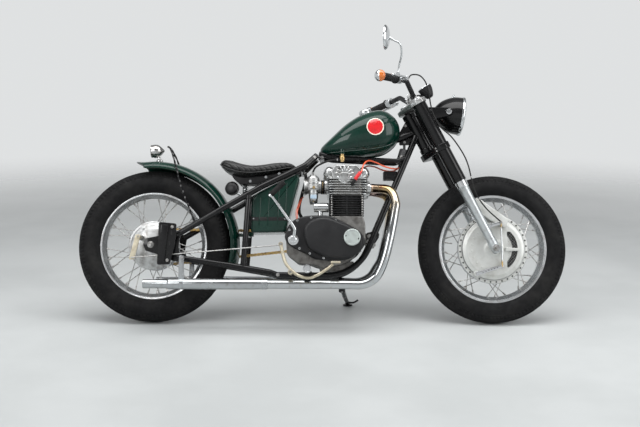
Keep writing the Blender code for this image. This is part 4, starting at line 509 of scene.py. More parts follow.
tyre_look = Look("tyre_rubber", (0.008, 0.008, 0.0085), 0.7, Specular_IOR_Level=0.16)
tyre_look.feed("Roughness", tyre_look.noise(40, 5).ramp(0.3, 0.7, 0.6, 0.88))
tyre_look.feed("Base Color", tyre_look.noise(12, 6).ramp(0.4, 0.85).blend((0.007, 0.007, 0.0075),
        (0.017, 0.0165, 0.016)))
tyre_look.bump(tyre_look.noise(900, 4), 0.0003, 0.35)


def tread_depth(share, arc, teeth, crown):
    """Groove depth at a place: share is 0 to 1 round the tyre, arc is the distance off its middle."""
    off = abs(arc) / crown
    wave = (share * teeth) % 1.0
    saw = abs(wave * 2 - 1)
    depth = 0.0
    for rib in (0.2, 0.52):
        centre = rib + 0.05 * (saw - 0.5)
        if abs(off - centre) < 0.042:
            depth = 0.0042
    edge = 1.02 + 0.05 * (saw - 0.5)
    if 0.8 < off < edge and wave > 0.6:
        depth = 0.0026
    if edge <= off < 1.1:
        depth = 0.0032
    elif off >= 1.1:
        depth = 0.002
    return depth


def tyre(name, axle, radius, crown, teeth, body):
    shape = Shape()
    around = teeth * 6
    lip = 0.2423
    bead = 0.0302
    section = [math.radians(-135 + 270 * k / 56) for k in range(57)]
    rings = []
    for j in range(around):
        share = j / around
        turn = 2 * math.pi * share
        out = Vector((math.cos(turn), 0, math.sin(turn)))
        ring = [axle + out * 0.234 - ACROSS * bead]
        for angle in section:
            depth = tread_depth(share, angle * crown, teeth, crown)
            wall = abs(math.degrees(angle))
            if 72 < wall <= 80:
                depth += 0.0006
            if 96 < wall < 99 or 108 < wall < 110:
                depth -= 0.0007
            reach = crown - depth
            ring.append(axle + out * max(radius - crown + reach * math.cos(angle), lip)
                        + ACROSS * reach * math.sin(angle))
        ring.append(axle + out * 0.234 + ACROSS * bead)
        rings.append(ring)
    shape.skin(rings, loop=True)
    return shape.finished(name, [tyre_look], body, "tyre", (name.replace("_tread", ""),), crease=28)


tyre("rear_tyre_tread", REAR_AXLE, 0.3405, 0.057, 116, "rear_wheel")
tyre("front_tyre_tread", FRONT_AXLE, 0.332, 0.052, 116, "front_wheel")


# Front wheel: a drop-centre alloy rim laced with 36 steel spokes to a wide cast and turned drum. The
# spokes are headed at the flange and pulled up by nipples; a ring of holes lightens the flange.


def place_along(start, axis, stretch=1.0):
    """Where a part made along Z from the origin goes: its start, its direction and its stretch."""
    turned = Vector(axis).to_track_quat("Z", "Y").to_matrix().to_4x4()
    return Matrix.Translation(start) @ turned @ Matrix.Diagonal((1, 1, stretch, 1))


def mm(*rows):
    """Places given in millimetres."""
    return [tuple(value / 1000 for value in row) for row in rows]


def worn(look, scale, low, high, first, second):
    """Colour that wanders between two tones in patches."""
    look.feed("Base Color", look.noise(scale, 6, 0.6).ramp(low, high).blend(first, second))
    return look


def uneven(look, scale, smooth, rough):
    """Sheen that wanders, as from handling and polish."""
    look.feed("Roughness", look.noise(scale, 5).ramp(0.3, 0.78, smooth, rough))
    return look


# Painted shade: a near-black look put where holes, slots, gaps and hollows stand for the shade inside them.
dark_recess = Look("dark_recess", (0.006, 0.006, 0.006), 0.8)
uneven(dark_recess, 200, 0.7, 0.95)
dark_recess.bump(dark_recess.noise(400, 2), 0.0002, 0.2)

steel = uneven(Look("bare_steel", (0.5, 0.5, 0.49), 0.32, 1.0), 80, 0.24, 0.48)
worn(steel, 120, 0.4, 0.75, (0.46, 0.46, 0.455), (0.22, 0.2, 0.17))
steel.bump(steel.noise(500, 3), 0.0002, 0.2)

turned_alloy = {}
for end, axle in (("rear", REAR_AXLE), ("front", FRONT_AXLE)):
    look = Look("turned_alloy_" + end, (0.62, 0.635, 0.645), 0.24, 1.0)
    rings = (look.across_lean(axle) * 5200 + look.noise(60, 2) * 3).sine()
    look.feed("Roughness", rings.ramp(-1, 1, 0.19, 0.3))
    look.feed("Base Color", look.noise(25, 6).ramp(0.4, 0.85).blend((0.64, 0.655, 0.665), (0.42, 0.41, 0.4)))
    look.bump(rings, 0.00012, 0.35)
    look.bump(look.noise(350, 4), 0.0003, 0.12)
    turned_alloy[end] = look


def rim_and_spokes(shape, axle, flange_radius, flange_y, per_side=18):
    half = mm((30.5, 233.7), (30.5, 241.2), (31.2, 241.9), (32.8, 241.9), (33.5, 241.2), (33.5, 232.5),
              (32.8, 230.5), (30, 229), (17, 218.5), (12, 214.5), (10, 214))
    shape.turn(half + [(-y, r) for y, r in reversed(half)], axle, ACROSS, 120, loop=True)
    pitch = 2 * math.pi / per_side
    wires, heads, nipples = [], [], []
    for side in (-1, 1):
        for k in range(per_side):
            lean = 1 if k % 2 else -1
            hub_angle = pitch * k + (pitch / 2 if side > 0 else 0)
            rim_angle = hub_angle + lean * math.radians(17)
            hub_y = side * (flange_y + lean * 0.0032)
            low = around(axle, hub_angle, flange_radius, hub_y)
            high = around(axle, rim_angle, 0.2155, side * 0.006)
            wires.append(place_along(low, high - low, (high - low).length))
            heads.append(place_along(low, ACROSS * side * lean))
            nipples.append(place_along(high, high - low))
    shape.paint(1)
    for profile, places in (([(0, 0.0019), (1, 0.0019)], wires),
                            (mm((-3.2, 2.2), (-1.8, 3.6), (1.2, 3.6)), heads),
                            (mm((-20, 2.4), (-19, 3.2), (-2, 3.8)), nipples)):
        shape.repeat(Shape().turn(profile, (0, 0, 0), UP, 8), places, steel)
    shape.paint(0)


# Lightening holes drawn as thin dark discs on a flange's face: painted shade in place of open holes.
def flange_holes(shape, axle, y, radius, count, size, side):
    places = []
    for k in range(count):
        angle = 2 * math.pi * (k + 0.5) / count
        spot = around(axle, angle, radius, y)
        places.append(place_along(spot, ACROSS * side))
    shape.repeat(Shape().turn([(0, 1), (0.0003 / size, 1)], (0, 0, 0), UP, 10), places, dark_recess, size)


pale_cast = uneven(Look("pale_cast_plate", (0.56, 0.57, 0.55), 0.42, 0.35), 40, 0.36, 0.52)
worn(pale_cast, 22, 0.4, 0.8, (0.6, 0.61, 0.59), (0.45, 0.45, 0.42))
pale_cast.bump(pale_cast.cells(1000), 0.0003, 0.15)
front = Shape()
rim_and_spokes(front, FRONT_AXLE, 0.146, 0.034)
front.turn(mm((-40, 155), (-38.5, 156.2), (-30, 156.2), (-28, 155), (-25, 141), (27, 141), (28, 151),
              (39, 151), (41, 146), (46, 58), (50, 45), (50, 9.2), (-20, 9.2), (-20, 140), (-40, 140)),
           FRONT_AXLE, ACROSS, 96, loop=True)
front.paint(3)
front.turn([(-0.0398, 0.1405), (-0.0402, 0.141), (-0.0402, 0.1535), (-0.0398, 0.1545)], FRONT_AXLE, ACROSS, 96,
           loop=True)
front.paint(2)
flange_holes(front, FRONT_AXLE, -0.0403, 0.1478, 36, 0.004, -1)
flange_holes(front, FRONT_AXLE, 0.0402, 0.1435, 30, 0.0036, 1)
front.paint(0)
for k in range(5):
    angle = 2 * math.pi * k / 5
    front.bolt(around(FRONT_AXLE, angle, 0.095, 0.0435), ACROSS)
front.paint(1)
front.sweep([FRONT_AXLE + Vector((-0.21, -0.006, 0.03)), FRONT_AXLE + Vector((-0.178, -0.006, 0.0255))],
            0.0032, 10)
front.finished("front_wheel_detail", [turned_alloy["front"], steel, dark_recess, pale_cast], "front_wheel",
               "polished_alloy", ("front_wheel",))


# Rear wheel: the same rim laced to a narrower turned drum hub, with the chain's toothed steel wheel
# screwed to its left side.
PITCH = 0.015875
REAR_TEETH = 33


def pitch_radius(teeth):
    return PITCH / (2 * math.sin(math.pi / teeth))


def toothed(x, z, teeth, clearance):
    """The side view of a chain's toothed wheel."""
    tip = pitch_radius(teeth) - clearance
    flank = ((-0.36, 0.0048), (-0.2, 0.003), (-0.07, 0), (0.07, 0), (0.2, 0.003), (0.36, 0.0048))
    return [(x + math.cos(turn) * radius, z + math.sin(turn) * radius) for k in range(teeth)
            for turn, radius in ((2 * math.pi * (k + part) / teeth, tip - cut) for part, cut in flank)]


rear = Shape()
rim_and_spokes(rear, REAR_AXLE, 0.1, 0.038)
rear.turn(mm((-44, 108), (-42.5, 109.2), (-33.5, 109.2), (-32, 108), (-30, 100), (-8, 100), (-4, 50), (0, 46),
             (26, 46), (30, 50), (32, 108), (33.5, 109.2), (42.5, 109.2), (44, 108), (47.6, 54), (85, 40.5),
             (92, 40), (92, 9.2), (-12, 9.2), (-12, 94), (-44, 94)), REAR_AXLE, ACROSS, 72, loop=True)
rear.paint(1)
rear.slab(toothed(0, REAR_AXLE.z, REAR_TEETH, 0.01), 0.0815, 0.0885)
rear.paint(2)
flange_holes(rear, REAR_AXLE, 0.0886, 0.0545, 8, 0.006, 1)
rear.paint(1)
for k in range(6):
    angle = 2 * math.pi * (k + 0.5) / 6
    rear.bolt(around(REAR_AXLE, angle, 0.0335, 0.092), ACROSS, 0.009)
rear.sweep([REAR_AXLE + Vector((-0.19, -0.006, -0.094)), REAR_AXLE + Vector((-0.162, -0.006, -0.08))], 0.0032,
           10)
rear.finished("rear_wheel_detail", [turned_alloy["rear"], steel, dark_recess], "rear_wheel", "polished_alloy",
              ("rear_wheel",))


# Drive chain: waisted steel side plates in pairs, gilt outside, over rollers and riveted pins. It runs
# round both toothed wheels in the CAD loop's place and doesn't move when the wheel turns.
FRONT_TEETH = 17
FRONT_SPROCKET = (0.64, 0.375)
chain_gold = Look("chain_gold", (0.62, 0.4, 0.13), 0.32, 1.0)
chain_gold.feed("Base Color", chain_gold.noise(160, 5).ramp(0.42, 0.7).blend((0.66, 0.45, 0.16),
        (0.16, 0.1, 0.05)))
chain_gold.feed("Roughness", chain_gold.noise(220, 4).ramp(0.3, 0.7, 0.24, 0.52))
chain_steel = Look("chain_steel", (0.3, 0.28, 0.25), 0.35, 1.0)
chain_steel.feed("Base Color", chain_steel.noise(150, 4).ramp(0.4, 0.7).blend((0.36, 0.34, 0.31),
        (0.07, 0.06, 0.05)))


def chain_points():
    """Pin places round both toothed wheels, as in the CAD loop."""
    big = pitch_radius(REAR_TEETH)
    small = pitch_radius(FRONT_TEETH)
    rear_centre = Vector((0, REAR_AXLE.z))
    front_centre = Vector(FRONT_SPROCKET)
    gap = front_centre - rear_centre
    tilt = math.atan2(gap.y, gap.x)
    fall = math.acos((big - small) / gap.length)
    run = gap.length * math.sin(fall)
    length = 2 * run + big * 2 * (math.pi - fall) + small * 2 * fall
    links = 2 * round(length / PITCH / 2)
    points = []
    for k in range(links):
        distance = k * length / links
        if distance < run:
            angle = tilt + fall
            spot = rear_centre + Vector((math.cos(angle), math.sin(angle))) * big
            spot += Vector((math.sin(angle), -math.cos(angle))) * distance
        elif distance < run + small * 2 * fall:
            angle = tilt + fall - (distance - run) / small
            spot = front_centre + Vector((math.cos(angle), math.sin(angle))) * small
        elif distance < 2 * run + small * 2 * fall:
            angle = tilt - fall
            spot = front_centre + Vector((math.cos(angle), math.sin(angle))) * small
            spot += Vector((math.sin(angle), -math.cos(angle))) * (distance - run - small * 2 * fall)
        else:
            angle = tilt - fall - (distance - 2 * run - small * 2 * fall) / big
            spot = rear_centre + Vector((math.cos(angle), math.sin(angle))) * big
        points.append(spot)
    return points


link_outline = [(PITCH + 0.0066 * math.cos(math.radians(t)), 0.0066 * math.sin(math.radians(t)))
                for t in range(-90, 91, 30)]
link_outline += [(PITCH / 2, 0.0047)]
link_outline += [(0.0066 * math.cos(math.radians(t)), 0.0066 * math.sin(math.radians(t))) for t in range(90,
        271, 30)]
link_outline += [(PITCH / 2, -0.0047)]
chain = Shape()
pins = chain_points()
links = []
for pin, after in zip(pins, pins[1:] + pins[:1]):
    heading = math.atan2(after.y - pin.y, after.x - pin.x)
    links.append(Matrix.Translation((pin.x, 0.085, pin.y)) @ Matrix.Rotation(-heading, 4, "Y")
                 @ Matrix.Diagonal(((after - pin).length / PITCH, 1, 1, 1)))
for near, far, places in ((0.0046, 0.0062, links[::2]), (0.0062, 0.0078, links[1::2])):
    plates = Shape()
    for side in (-1, 1):
        plates.slab(link_outline, side * near, side * far)
    chain.repeat(plates, places, chain_gold)
chain.paint(1)
for reach, radius, facets in ((0.0046, 0.005, 10), (0.008, 0.0022, 8)):
    chain.repeat(Shape().turn([(-reach, radius), (reach, radius)], (0, 0, 0), ACROSS, facets), links,
                 chain_steel)
chain.finished("roller_chain", [chain_gold, chain_steel], "frame", "chain_gold", ("chain",))


# Front loop: round steel tubes on the CAD's centre lines, bent and welded: headstock, backbone, two
# downtubes swept into the lower rails, top rails, gusset and engine plates. Brushed with black enamel.
RAKE = math.radians(27.3)
FORK_UP = Vector((-math.sin(RAKE), 0, math.cos(RAKE)))
FORK_AHEAD = Vector((math.cos(RAKE), 0, math.sin(RAKE)))


def on_fork(up, ahead=0.0, y=0.0):
    return FRONT_AXLE + FORK_UP * up + FORK_AHEAD * ahead + ACROSS * y


def bent(corners, radius, steps=10):
    """Straight runs whose corners are arcs."""
    corners = [Vector(corner) for corner in corners]
    path = [corners[0]]
    for before, corner, after in zip(corners, corners[1:], corners[2:]):
        incoming = (corner - before).normalized()
        outgoing = (after - corner).normalized()
        turn = incoming.angle(outgoing)
        if turn > 1e-4:
            hinge = incoming.cross(outgoing).normalized()
            first = corner - incoming * radius * math.tan(turn / 2)
            middle = first + hinge.cross(incoming) * radius
            path += [middle + Matrix.Rotation(turn * k / steps, 3, hinge) @ (first - middle)
                     for k in range(steps + 1)]
    return path + [corners[-1]]


def rounded(outline, radius, steps=5):
    """An outline with its corners rounded off."""
    points = [Vector(point) for point in outline]
    ring = []
    for before, corner, after in zip(points[-1:] + points[:-1], points, points[1:] + points[:1]):
        back = before - corner
        ahead = after - corner
        half = back.angle(ahead) / 2
        reach = min(radius / max(math.tan(half), 0.02), back.length * 0.48, ahead.length * 0.48)
        start = corner + back.normalized() * reach
        end = corner + ahead.normalized() * reach
        for k in range(steps + 1):
            t = k / steps
            ring.append(tuple(start * (1 - t) ** 2 + corner * 2 * t * (1 - t) + end * t ** 2))
    return ring


black_enamel = uneven(Look("black_enamel", (0.004, 0.004, 0.004), 0.3, Specular_IOR_Level=0.12,
                           Coat_Weight=0.5, Coat_Roughness=0.04), 24, 0.24, 0.38)
worn(black_enamel, 60, 0.62, 0.8, (0.0035, 0.0035, 0.004), (0.014, 0.0135, 0.013))
black_enamel.bump(black_enamel.noise(420, 2), 0.0003, 0.1)

BACKBONE_HEAD = on_fork(0.629, -0.058)
BACKBONE_KNEE = on_fork(0.638, -0.143)
DOWNTUBE_TOP = on_fork(0.609, -0.068, 0.02)
DOWNTUBE_FOOT = Vector((0.906, 0.11, 0.209))
TOP_SPLIT = Vector((0.738, 0.062, 0.757))


def downtube_at(z, side=1):
    spot = DOWNTUBE_TOP.lerp(DOWNTUBE_FOOT, (DOWNTUBE_TOP.z - z) / (DOWNTUBE_TOP.z - DOWNTUBE_FOOT.z))
    return Vector((spot.x, side * spot.y, spot.z))


ENGINE_MOUNT = Vector((downtube_at(0.392).x + 0.0126, 0, 0.392))

loop = Shape()
loop.turn(mm((521.5, 14.6), (521.5, 30), (522.5, 31), (540.5, 31), (542, 30), (545.5, 27), (690.5, 27),
             (694, 30), (695.5, 31), (713.5, 31), (714.5, 30), (714.5, 14.6)), on_fork(0, -0.05), FORK_UP, 40,
          loop=True)
for side in (-1, 1):
    flip = Matrix.Scale(-1, 4, ACROSS) if side < 0 else Matrix()
    loop.within(flip)
    loop.sweep(bent([DOWNTUBE_TOP, DOWNTUBE_FOOT, (0.575, 0.11, 0.211)], 0.2, 18), 0.0135, 20)
    lug = downtube_at(0.744)
    loop.sweep(bent([lug, lug + Vector((-0.05, 0.012, -0.016)), (0.8, 0.052, 0.742), TOP_SPLIT], 0.04, 6),
               0.01, 16)
    loop.weld(lug + Vector((-0.0135, 0.003, -0.004)), (-0.05, 0.012, -0.016), 0.0105)
    loop.weld(DOWNTUBE_TOP + (DOWNTUBE_FOOT - DOWNTUBE_TOP).normalized() * 0.03, DOWNTUBE_FOOT - DOWNTUBE_TOP,
              0.0138, 0.002)
    loop.bar((0.69, 0.105, 0.224), (0.69, 0.15, 0.224), 0.011, 20)
    plate = rounded([(ENGINE_MOUNT.x + 0.008, 0.414), (0.952, 0.402), (0.95, 0.352),
                     (ENGINE_MOUNT.x - 0.02, 0.334), (ENGINE_MOUNT.x + 0.01, 0.382)], 0.006)
    loop.pillow(plate, 0.052, 0.057, 0.0008, 0.0008)
loop.within(Matrix())
loop.sweep(bent([BACKBONE_HEAD, BACKBONE_KNEE, (0.752, 0, 0.762)], 0.1, 8), 0.017, 24)
loop.weld(BACKBONE_HEAD + FORK_AHEAD * -0.004, FORK_AHEAD, 0.018, 0.003)
loop.bar((0.752, -0.062, 0.743), (0.752, 0.062, 0.743), 0.012, 20)
gusset = mm((-74, -60), (-74, -4), (-46, 48), (-20, 42), (12, -26), (-6, -58))
loop.pillow(rounded([(BACKBONE_HEAD.x + x, BACKBONE_HEAD.z + z) for x, z in gusset], 0.006), -0.004, 0.004,
            0.0008, 0.0008)
loop.bar(ENGINE_MOUNT - ACROSS * 0.088, ENGINE_MOUNT + ACROSS * 0.088, 0.01, 20)
low = downtube_at(0.664)
loop.bar((low.x, -low.y, low.z), low, 0.008)
for side in (-1, 1):
    loop.weld((low.x, side * (low.y - 0.012), low.z), ACROSS, 0.0084, 0.0018)
    loop.weld((0.64, side * 0.0975, 0.209), ACROSS, 0.0104, 0.002)
loop.bar((0.64, -0.11, 0.209), (0.64, 0.11, 0.209), 0.01)
loop.bar((0.618, -0.105, 0.22), (0.618, -0.15, 0.22), 0.012, 20)
STAND_PIVOT = Vector((0.846, 0.104, 0.164))
STAND_FOOT = Vector((0.878, 0.3, 0.3 * math.tan(LEAN)))
STAND_LEG = (STAND_FOOT + Vector((0, 0, 0.006)) - STAND_PIVOT).normalized()
STAND_AXIS = STAND_LEG.cross(Vector((-0.99, 0.1, -0.05)).normalized()).normalized()
loop.bar(STAND_PIVOT, STAND_PIVOT + STAND_AXIS * 0.042, 0.015, 24)
loop.paint(1)
for side in (-1, 1):
    out = Vector((0, side, 0))
    for x, z in ((ENGINE_MOUNT.x, 0.392), (0.964, 0.387), (0.96, 0.362), (ENGINE_MOUNT.x - 0.014, 0.348)):
        loop.bolt((x, side * 0.0568, z), out, 0.012, 0.008)
    loop.bolt((BACKBONE_HEAD.x - 0.046, side * 0.0038, BACKBONE_HEAD.z + 0.03), out, 0.008, 0.004)
    loop.bolt((BACKBONE_HEAD.x - 0.05, side * 0.0038, BACKBONE_HEAD.z - 0.046), out, 0.008, 0.004)
    loop.bolt((0.752, side * 0.0615, 0.743), out, 0.011, 0.005)
loop.finished("frame_loop", [black_enamel, steel], "frame", "black_paint", ("front_loop",))


# Hardtail: straight steel stays from the seat and the lower rails to the axle plates, with cross tubes.
# It is welded up, enamelled black and bolted to the front loop.
AXLE_PLATE_OUTLINE = mm((132, 57.5), (100, 61.5), (20, 35.5), (-22, 27.5), (-34, 0), (-22, -27.5), (20, -38.5),
                        (100, -72.5), (134, -72.5), (122, -7.5))
POST_X = 0.415
tail = Shape()
upper_stay = [TOP_SPLIT + Vector((-0.01, 0, -0.009)), Vector((0.676, 0.09, 0.698)), Vector((0.482, 0.11, 0.6)),
              Vector((0.291, 0.118, 0.489)), Vector((0.113, 0.112, REAR_AXLE.z + 0.0435))]
lower_stay = [Vector((0.5747, 0.11, 0.211)), Vector((0.5547, 0.11, 0.211)), Vector((0.527, 0.112, 0.222)),
              Vector((0.35, 0.116, 0.252)), Vector((0.113, 0.112, REAR_AXLE.z - 0.0565))]
tail.sweep(bent(upper_stay, 0.05, 6), 0.0135, 20)
tail.sweep(bent(lower_stay, 0.03, 6), 0.0135, 20)
tail.bar((POST_X - 0.008, 0.1145, 0.24), (POST_X + 0.014, 0.1125, 0.568), 0.0125, 20)
tail.weld((POST_X + 0.0125, 0.1127, 0.548), (0.022, -0.002, 0.328), 0.0128, 0.0022)
tail.weld((POST_X - 0.0068, 0.1143, 0.258), (0.022, -0.002, 0.328), 0.0128, 0.0022)
outline = rounded([(x, REAR_AXLE.z + z) for x, z in AXLE_PLATE_OUTLINE], 0.012)
tail.pillow(outline, 0.106, 0.114, 0.001, 0.001)
for spot, run in ((upper_stay[-1], upper_stay[-2]), (lower_stay[-1], lower_stay[-2])):
    along = (run - spot).normalized()
    tail.weld(spot + along * 0.003, along, 0.0132, 0.0028)
    tail.turn(mm((-10, 2), (-6, 8), (0, 13)), spot, along, 16)
for at, half, radius in (((POST_X, 0.392), 0.112, 0.01), ((POST_X - 0.01, 0.56), 0.112, 0.01)):
    tail.bar((at[0], 0, at[1]), (at[0], half, at[1]), radius)
    tail.weld((at[0], half - 0.011, at[1]), ACROSS, radius + 0.0004, 0.002)
tail.bar((0.664, 0, 0.681), (0.664, 0.09, 0.681), 0.01)
tail.paint(1)
tail.bolt((0.126, 0.1136, REAR_AXLE.z + 0.05), ACROSS, 0.011, 0.007)
tail.bolt((0.126, 0.1136, REAR_AXLE.z - 0.064), ACROSS, 0.011, 0.007)
tail.bolt((0.56, 0.1228, 0.212), ACROSS, 0.01, 0.006)
tail.bolt((0.718, 0.0838, 0.7375), (0.32, 0.9, 0.1), 0.01, 0.006)
tail.mirrored()
tail.finished("frame_hardtail", [black_enamel, steel], "frame", "black_paint", ("hardtail",))


# Twisted loop over the mudguard: a square steel bar turned on itself and bent to a point, enamelled
# black. Short sleeves join both ends to the upper stays.


def curve_between(a, b, c, d, t):
    """The Catmull-Rom point between b and c."""
    return 0.5 * (2 * b + (c - a) * t + (2 * a - 5 * b + 4 * c - d) * t ** 2
                  + (3 * b - a - 3 * c + d) * t ** 3)


def flowing(points, steps=4):
    """A smooth path through given points."""
    points = [Vector(point) for point in points]
    ends = [points[0] * 2 - points[1]] + points + [points[-1] * 2 - points[-2]]
    path = [curve_between(a, b, c, d, k / steps)
            for a, b, c, d in zip(ends, ends[1:], ends[2:], ends[3:]) for k in range(steps)]
    return path + [points[-1]]


GUARD_TOP_Z = REAR_AXLE.z + 0.384
loop_half = [Vector((0.19, 0.117, 0.448)), Vector((0.168, 0.108, 0.5)), Vector((0.128, 0.096, 0.6)),
             Vector((0.104, 0.0793, GUARD_TOP_Z - 0.0465)), Vector((0.085, 0.064, GUARD_TOP_Z + 0.0155)),
             Vector((0.064, 0.024, GUARD_TOP_Z + 0.0595)), Vector((0.051, 0, GUARD_TOP_Z + 0.0685))]
route = flowing(loop_half + [Vector((p.x, -p.y, p.z)) for p in reversed(loop_half[:-1])], 14)
twisted = Shape()
twisted.sweep(route, 0.0044, 4, twist=0.21)
for side in (-1, 1):
    twisted.turn(mm((-6, 4.4), (-5, 5.2), (6, 5.2), (7, 4.4)), (0.186, side * 0.1154, 0.456),
                 (-0.3, -0.1 * side, 1), 14)
twisted.finished("twisted_loop", [black_enamel], "frame", "black_paint", ("guard_loop",), crease=25)


# Side bracket for a number plate, bare of one: a pressed steel plate with a raised panel, three slots
# and two bolts, on a bar from the right axle plate.


def box_outline(x_low, x_high, z_low, z_high, radius):
    return rounded([(x_low, z_low), (x_high, z_low), (x_high, z_high), (x_low, z_high)], radius)


bracket = Shape()
bracket.pillow(rounded(mm((40, 439), (118, 432), (119, 394), (110, 330), (92, 254), (36, 252), (40, 340)),
                       0.01), -0.152, -0.16, 0.0012, 0.0012)
bracket.pillow(rounded(mm((52, 428), (84, 424), (70, 264), (46, 264)), 0.006), -0.16, -0.172, 0.0015)
bracket.bar((0.075, -0.1143, REAR_AXLE.z + 0.0025), (0.075, -0.156, REAR_AXLE.z + 0.0025), 0.01, 20)
bracket.paint(1)
for x, z in ((0.1, 0.418), (0.08, 0.272)):
    bracket.bolt((x, -0.1598, z), -ACROSS, 0.009, 0.005)
# The three slots are thin dark plates on the panel: painted shade in place of open slots.
bracket.paint(2)
for x, z in ((0.097, 0.392), (0.09, 0.345), (0.082, 0.3)):
    bracket.pillow(box_outline(x - 0.003, x + 0.003, z - 0.01, z + 0.01, 0.003), -0.1585, -0.1602, 0)
bracket.finished("side_bracket", [black_enamel, steel, dark_recess], "frame", "black_paint",
                 ("plate_bracket",))


# Side stand: a steel leg forged to its turned head, with a flat round foot and a tang for the boot. It
# swings on the pivot under the left rail and a coil spring pulls it home.
stand = Shape()
floor_up = Vector((0, -math.sin(LEAN), math.cos(LEAN)))
stand.bar(STAND_PIVOT - STAND_AXIS * 0.0006, STAND_PIVOT - STAND_AXIS * 0.023, 0.015, 28)
stand.turn(mm((0, 21.5), (1.2, 23), (5, 23), (6.5, 20), (8, 12)), STAND_FOOT, floor_up, 32)
stand.sweep([STAND_PIVOT - STAND_AXIS * 0.012, STAND_FOOT + floor_up * 0.008], [0.01, 0.009], 20)
stand.weld(STAND_FOOT + floor_up * 0.009, floor_up, 0.0105, 0.0016)
stand.sweep(flowing([STAND_FOOT.lerp(STAND_PIVOT, 0.12) + floor_up * 0.006, STAND_FOOT
                     + Vector((0.026, -0.006, 0.014)), STAND_FOOT + Vector((0.05, -0.004, 0.026))], 6), 0.0045,
            12)
stand.paint(1)
stand.bolt(STAND_PIVOT - STAND_AXIS * 0.0215, -STAND_AXIS, 0.008, 0.0055)
along = (STAND_FOOT - STAND_PIVOT).normalized()
stand.spring(STAND_PIVOT + along * 0.03 + STAND_AXIS * -0.003, STAND_PIVOT + along * 0.1 + STAND_AXIS * -0.003,
             0.01, 0.0009, 16, 6)
stand.finished("stand_leg", [black_enamel, steel], "side_stand", "black_paint", ("side_stand",))


# Crankcase: sand-cast alloy block and gearbox with a ribbed sump and bolts along the joint. The round
# breather canister on its neck and the front toothed wheel are turned metal.
polished_alloy = uneven(Look("polished_alloy", (0.64, 0.655, 0.665), 0.2, 1.0), 35, 0.15, 0.3)
worn(polished_alloy, 28, 0.5, 0.85, (0.62, 0.635, 0.645), (0.42, 0.41, 0.4))
polished_alloy.bump(polished_alloy.noise(500, 3), 0.0002, 0.12)

crank = Shape()
case = mm((698, 262), (700, 462), (775, 470), (932, 470), (942, 440), (944, 372), (925, 330), (892, 288),
          (850, 260), (760, 240))
crank.pillow(rounded(case, 0.01), -0.1278, 0.1278, 0.006, 0.006)
gearbox = mm((600, 300), (594, 372), (618, 438), (660, 458), (720, 462), (720, 256), (650, 262))
crank.pillow(rounded(gearbox, 0.018), -0.1274, 0.07, 0.006, 0.002)
crank.pillow(box_outline(0.93, 0.984, 0.352, 0.4, 0.008), -0.0515, 0.0515, 0.002, 0.002)
crank.pillow(rounded([(0.735, 0.262), (0.748, 0.226), (0.88, 0.232), (0.9, 0.275)], 0.01), -0.085, 0.085,
             0.004, 0.004)
for x in (0.765, 0.79, 0.815, 0.84, 0.865):
    crank.pillow(box_outline(x - 0.002, x + 0.002, 0.2275 + (x - 0.765) * 0.04, 0.256, 0.001), -0.087, 0.087,
                 0.001)
for y in (-0.129, 0.1268):
    crank.pillow(rounded(shrunk(case, 0.0105), 0.008), y, y + 0.0022, 0)
crank.pillow(box_outline(0.796, 0.93, 0.436, 0.4698, 0.01), -0.1279, 0.1279, 0.001, 0.001)
crank.paint(1)
crank.turn(mm((0, 13.5), (0.5, 14), (34.5, 14), (35, 13.5)), (0.64, 0.06, 0.375), ACROSS, 28)
crank.slab(toothed(*FRONT_SPROCKET, FRONT_TEETH, 0.008), 0.0817, 0.0883)
crank.bolt((0.64, 0.088, 0.375), ACROSS, 0.013, 0.0065)
for x, z in ((0.712, 0.45), (0.78, 0.457), (0.93, 0.452), (0.932, 0.33), (0.905, 0.305), (0.86, 0.274),
             (0.78, 0.253)):
    crank.bolt((x, 0.127, z), ACROSS, 0.008, 0.0013, washer=False)
for x in (0.775, 0.845):
    crank.bolt((x, 0, 0.2295 + (x - 0.765) * 0.05), -UP, 0.016, 0.004)
crank.turn(mm((0, 17), (1.6, 20.4), (6, 21), (6.4, 19.8), (9, 19.8), (9.4, 21), (56, 21), (56.4, 19.8),
              (59, 19.8), (59.4, 21), (64.5, 20.4), (66, 17)), (0.716, -0.08, 0.512), (1, 0, 0), 40)
crank.turn(mm((0, 11.8), (12, 11.8), (12.5, 10.5), (50, 10.5)), (0.745, -0.08, 0.455), UP, 24)
# A dark alloy look, darker than bare cast alloy: painted shade on the crankcase low under the covers, and on
# the head's core between its fins.
case_alloy = uneven(Look("case_alloy", (0.2, 0.195, 0.185), 0.45, 0.9), 50, 0.36, 0.58)
worn(case_alloy, 30, 0.35, 0.75, (0.24, 0.235, 0.225), (0.1, 0.095, 0.088))
case_alloy.bump(case_alloy.cells(900), 0.0005, 0.3)
crank.finished("crankcase_casting", [case_alloy, polished_alloy], "frame", "cast_alloy", ("crankcase",))


# Right engine cover: an egg-shaped alloy casting with a raised face, painted satin black and held by
# hollow-head screws. A bright joint line shows behind it, and a pale round cap with two notches closes it.


def flowing_loop(points, steps=4):
    points = [Vector(point) for point in points]
    count = len(points)
    return [tuple(curve_between(*(points[(k + j) % count] for j in (-1, 0, 1, 2)), i / steps))
            for k in range(count) for i in range(steps)]


satin_black = uneven(Look("satin_black", (0.01, 0.01, 0.011), 0.45, Specular_IOR_Level=0.32), 30, 0.36, 0.54)
worn(satin_black, 9, 0.35, 0.75, (0.009, 0.009, 0.01), (0.017, 0.017, 0.018))
satin_black.bump(satin_black.noise(900, 3), 0.0003, 0.35)

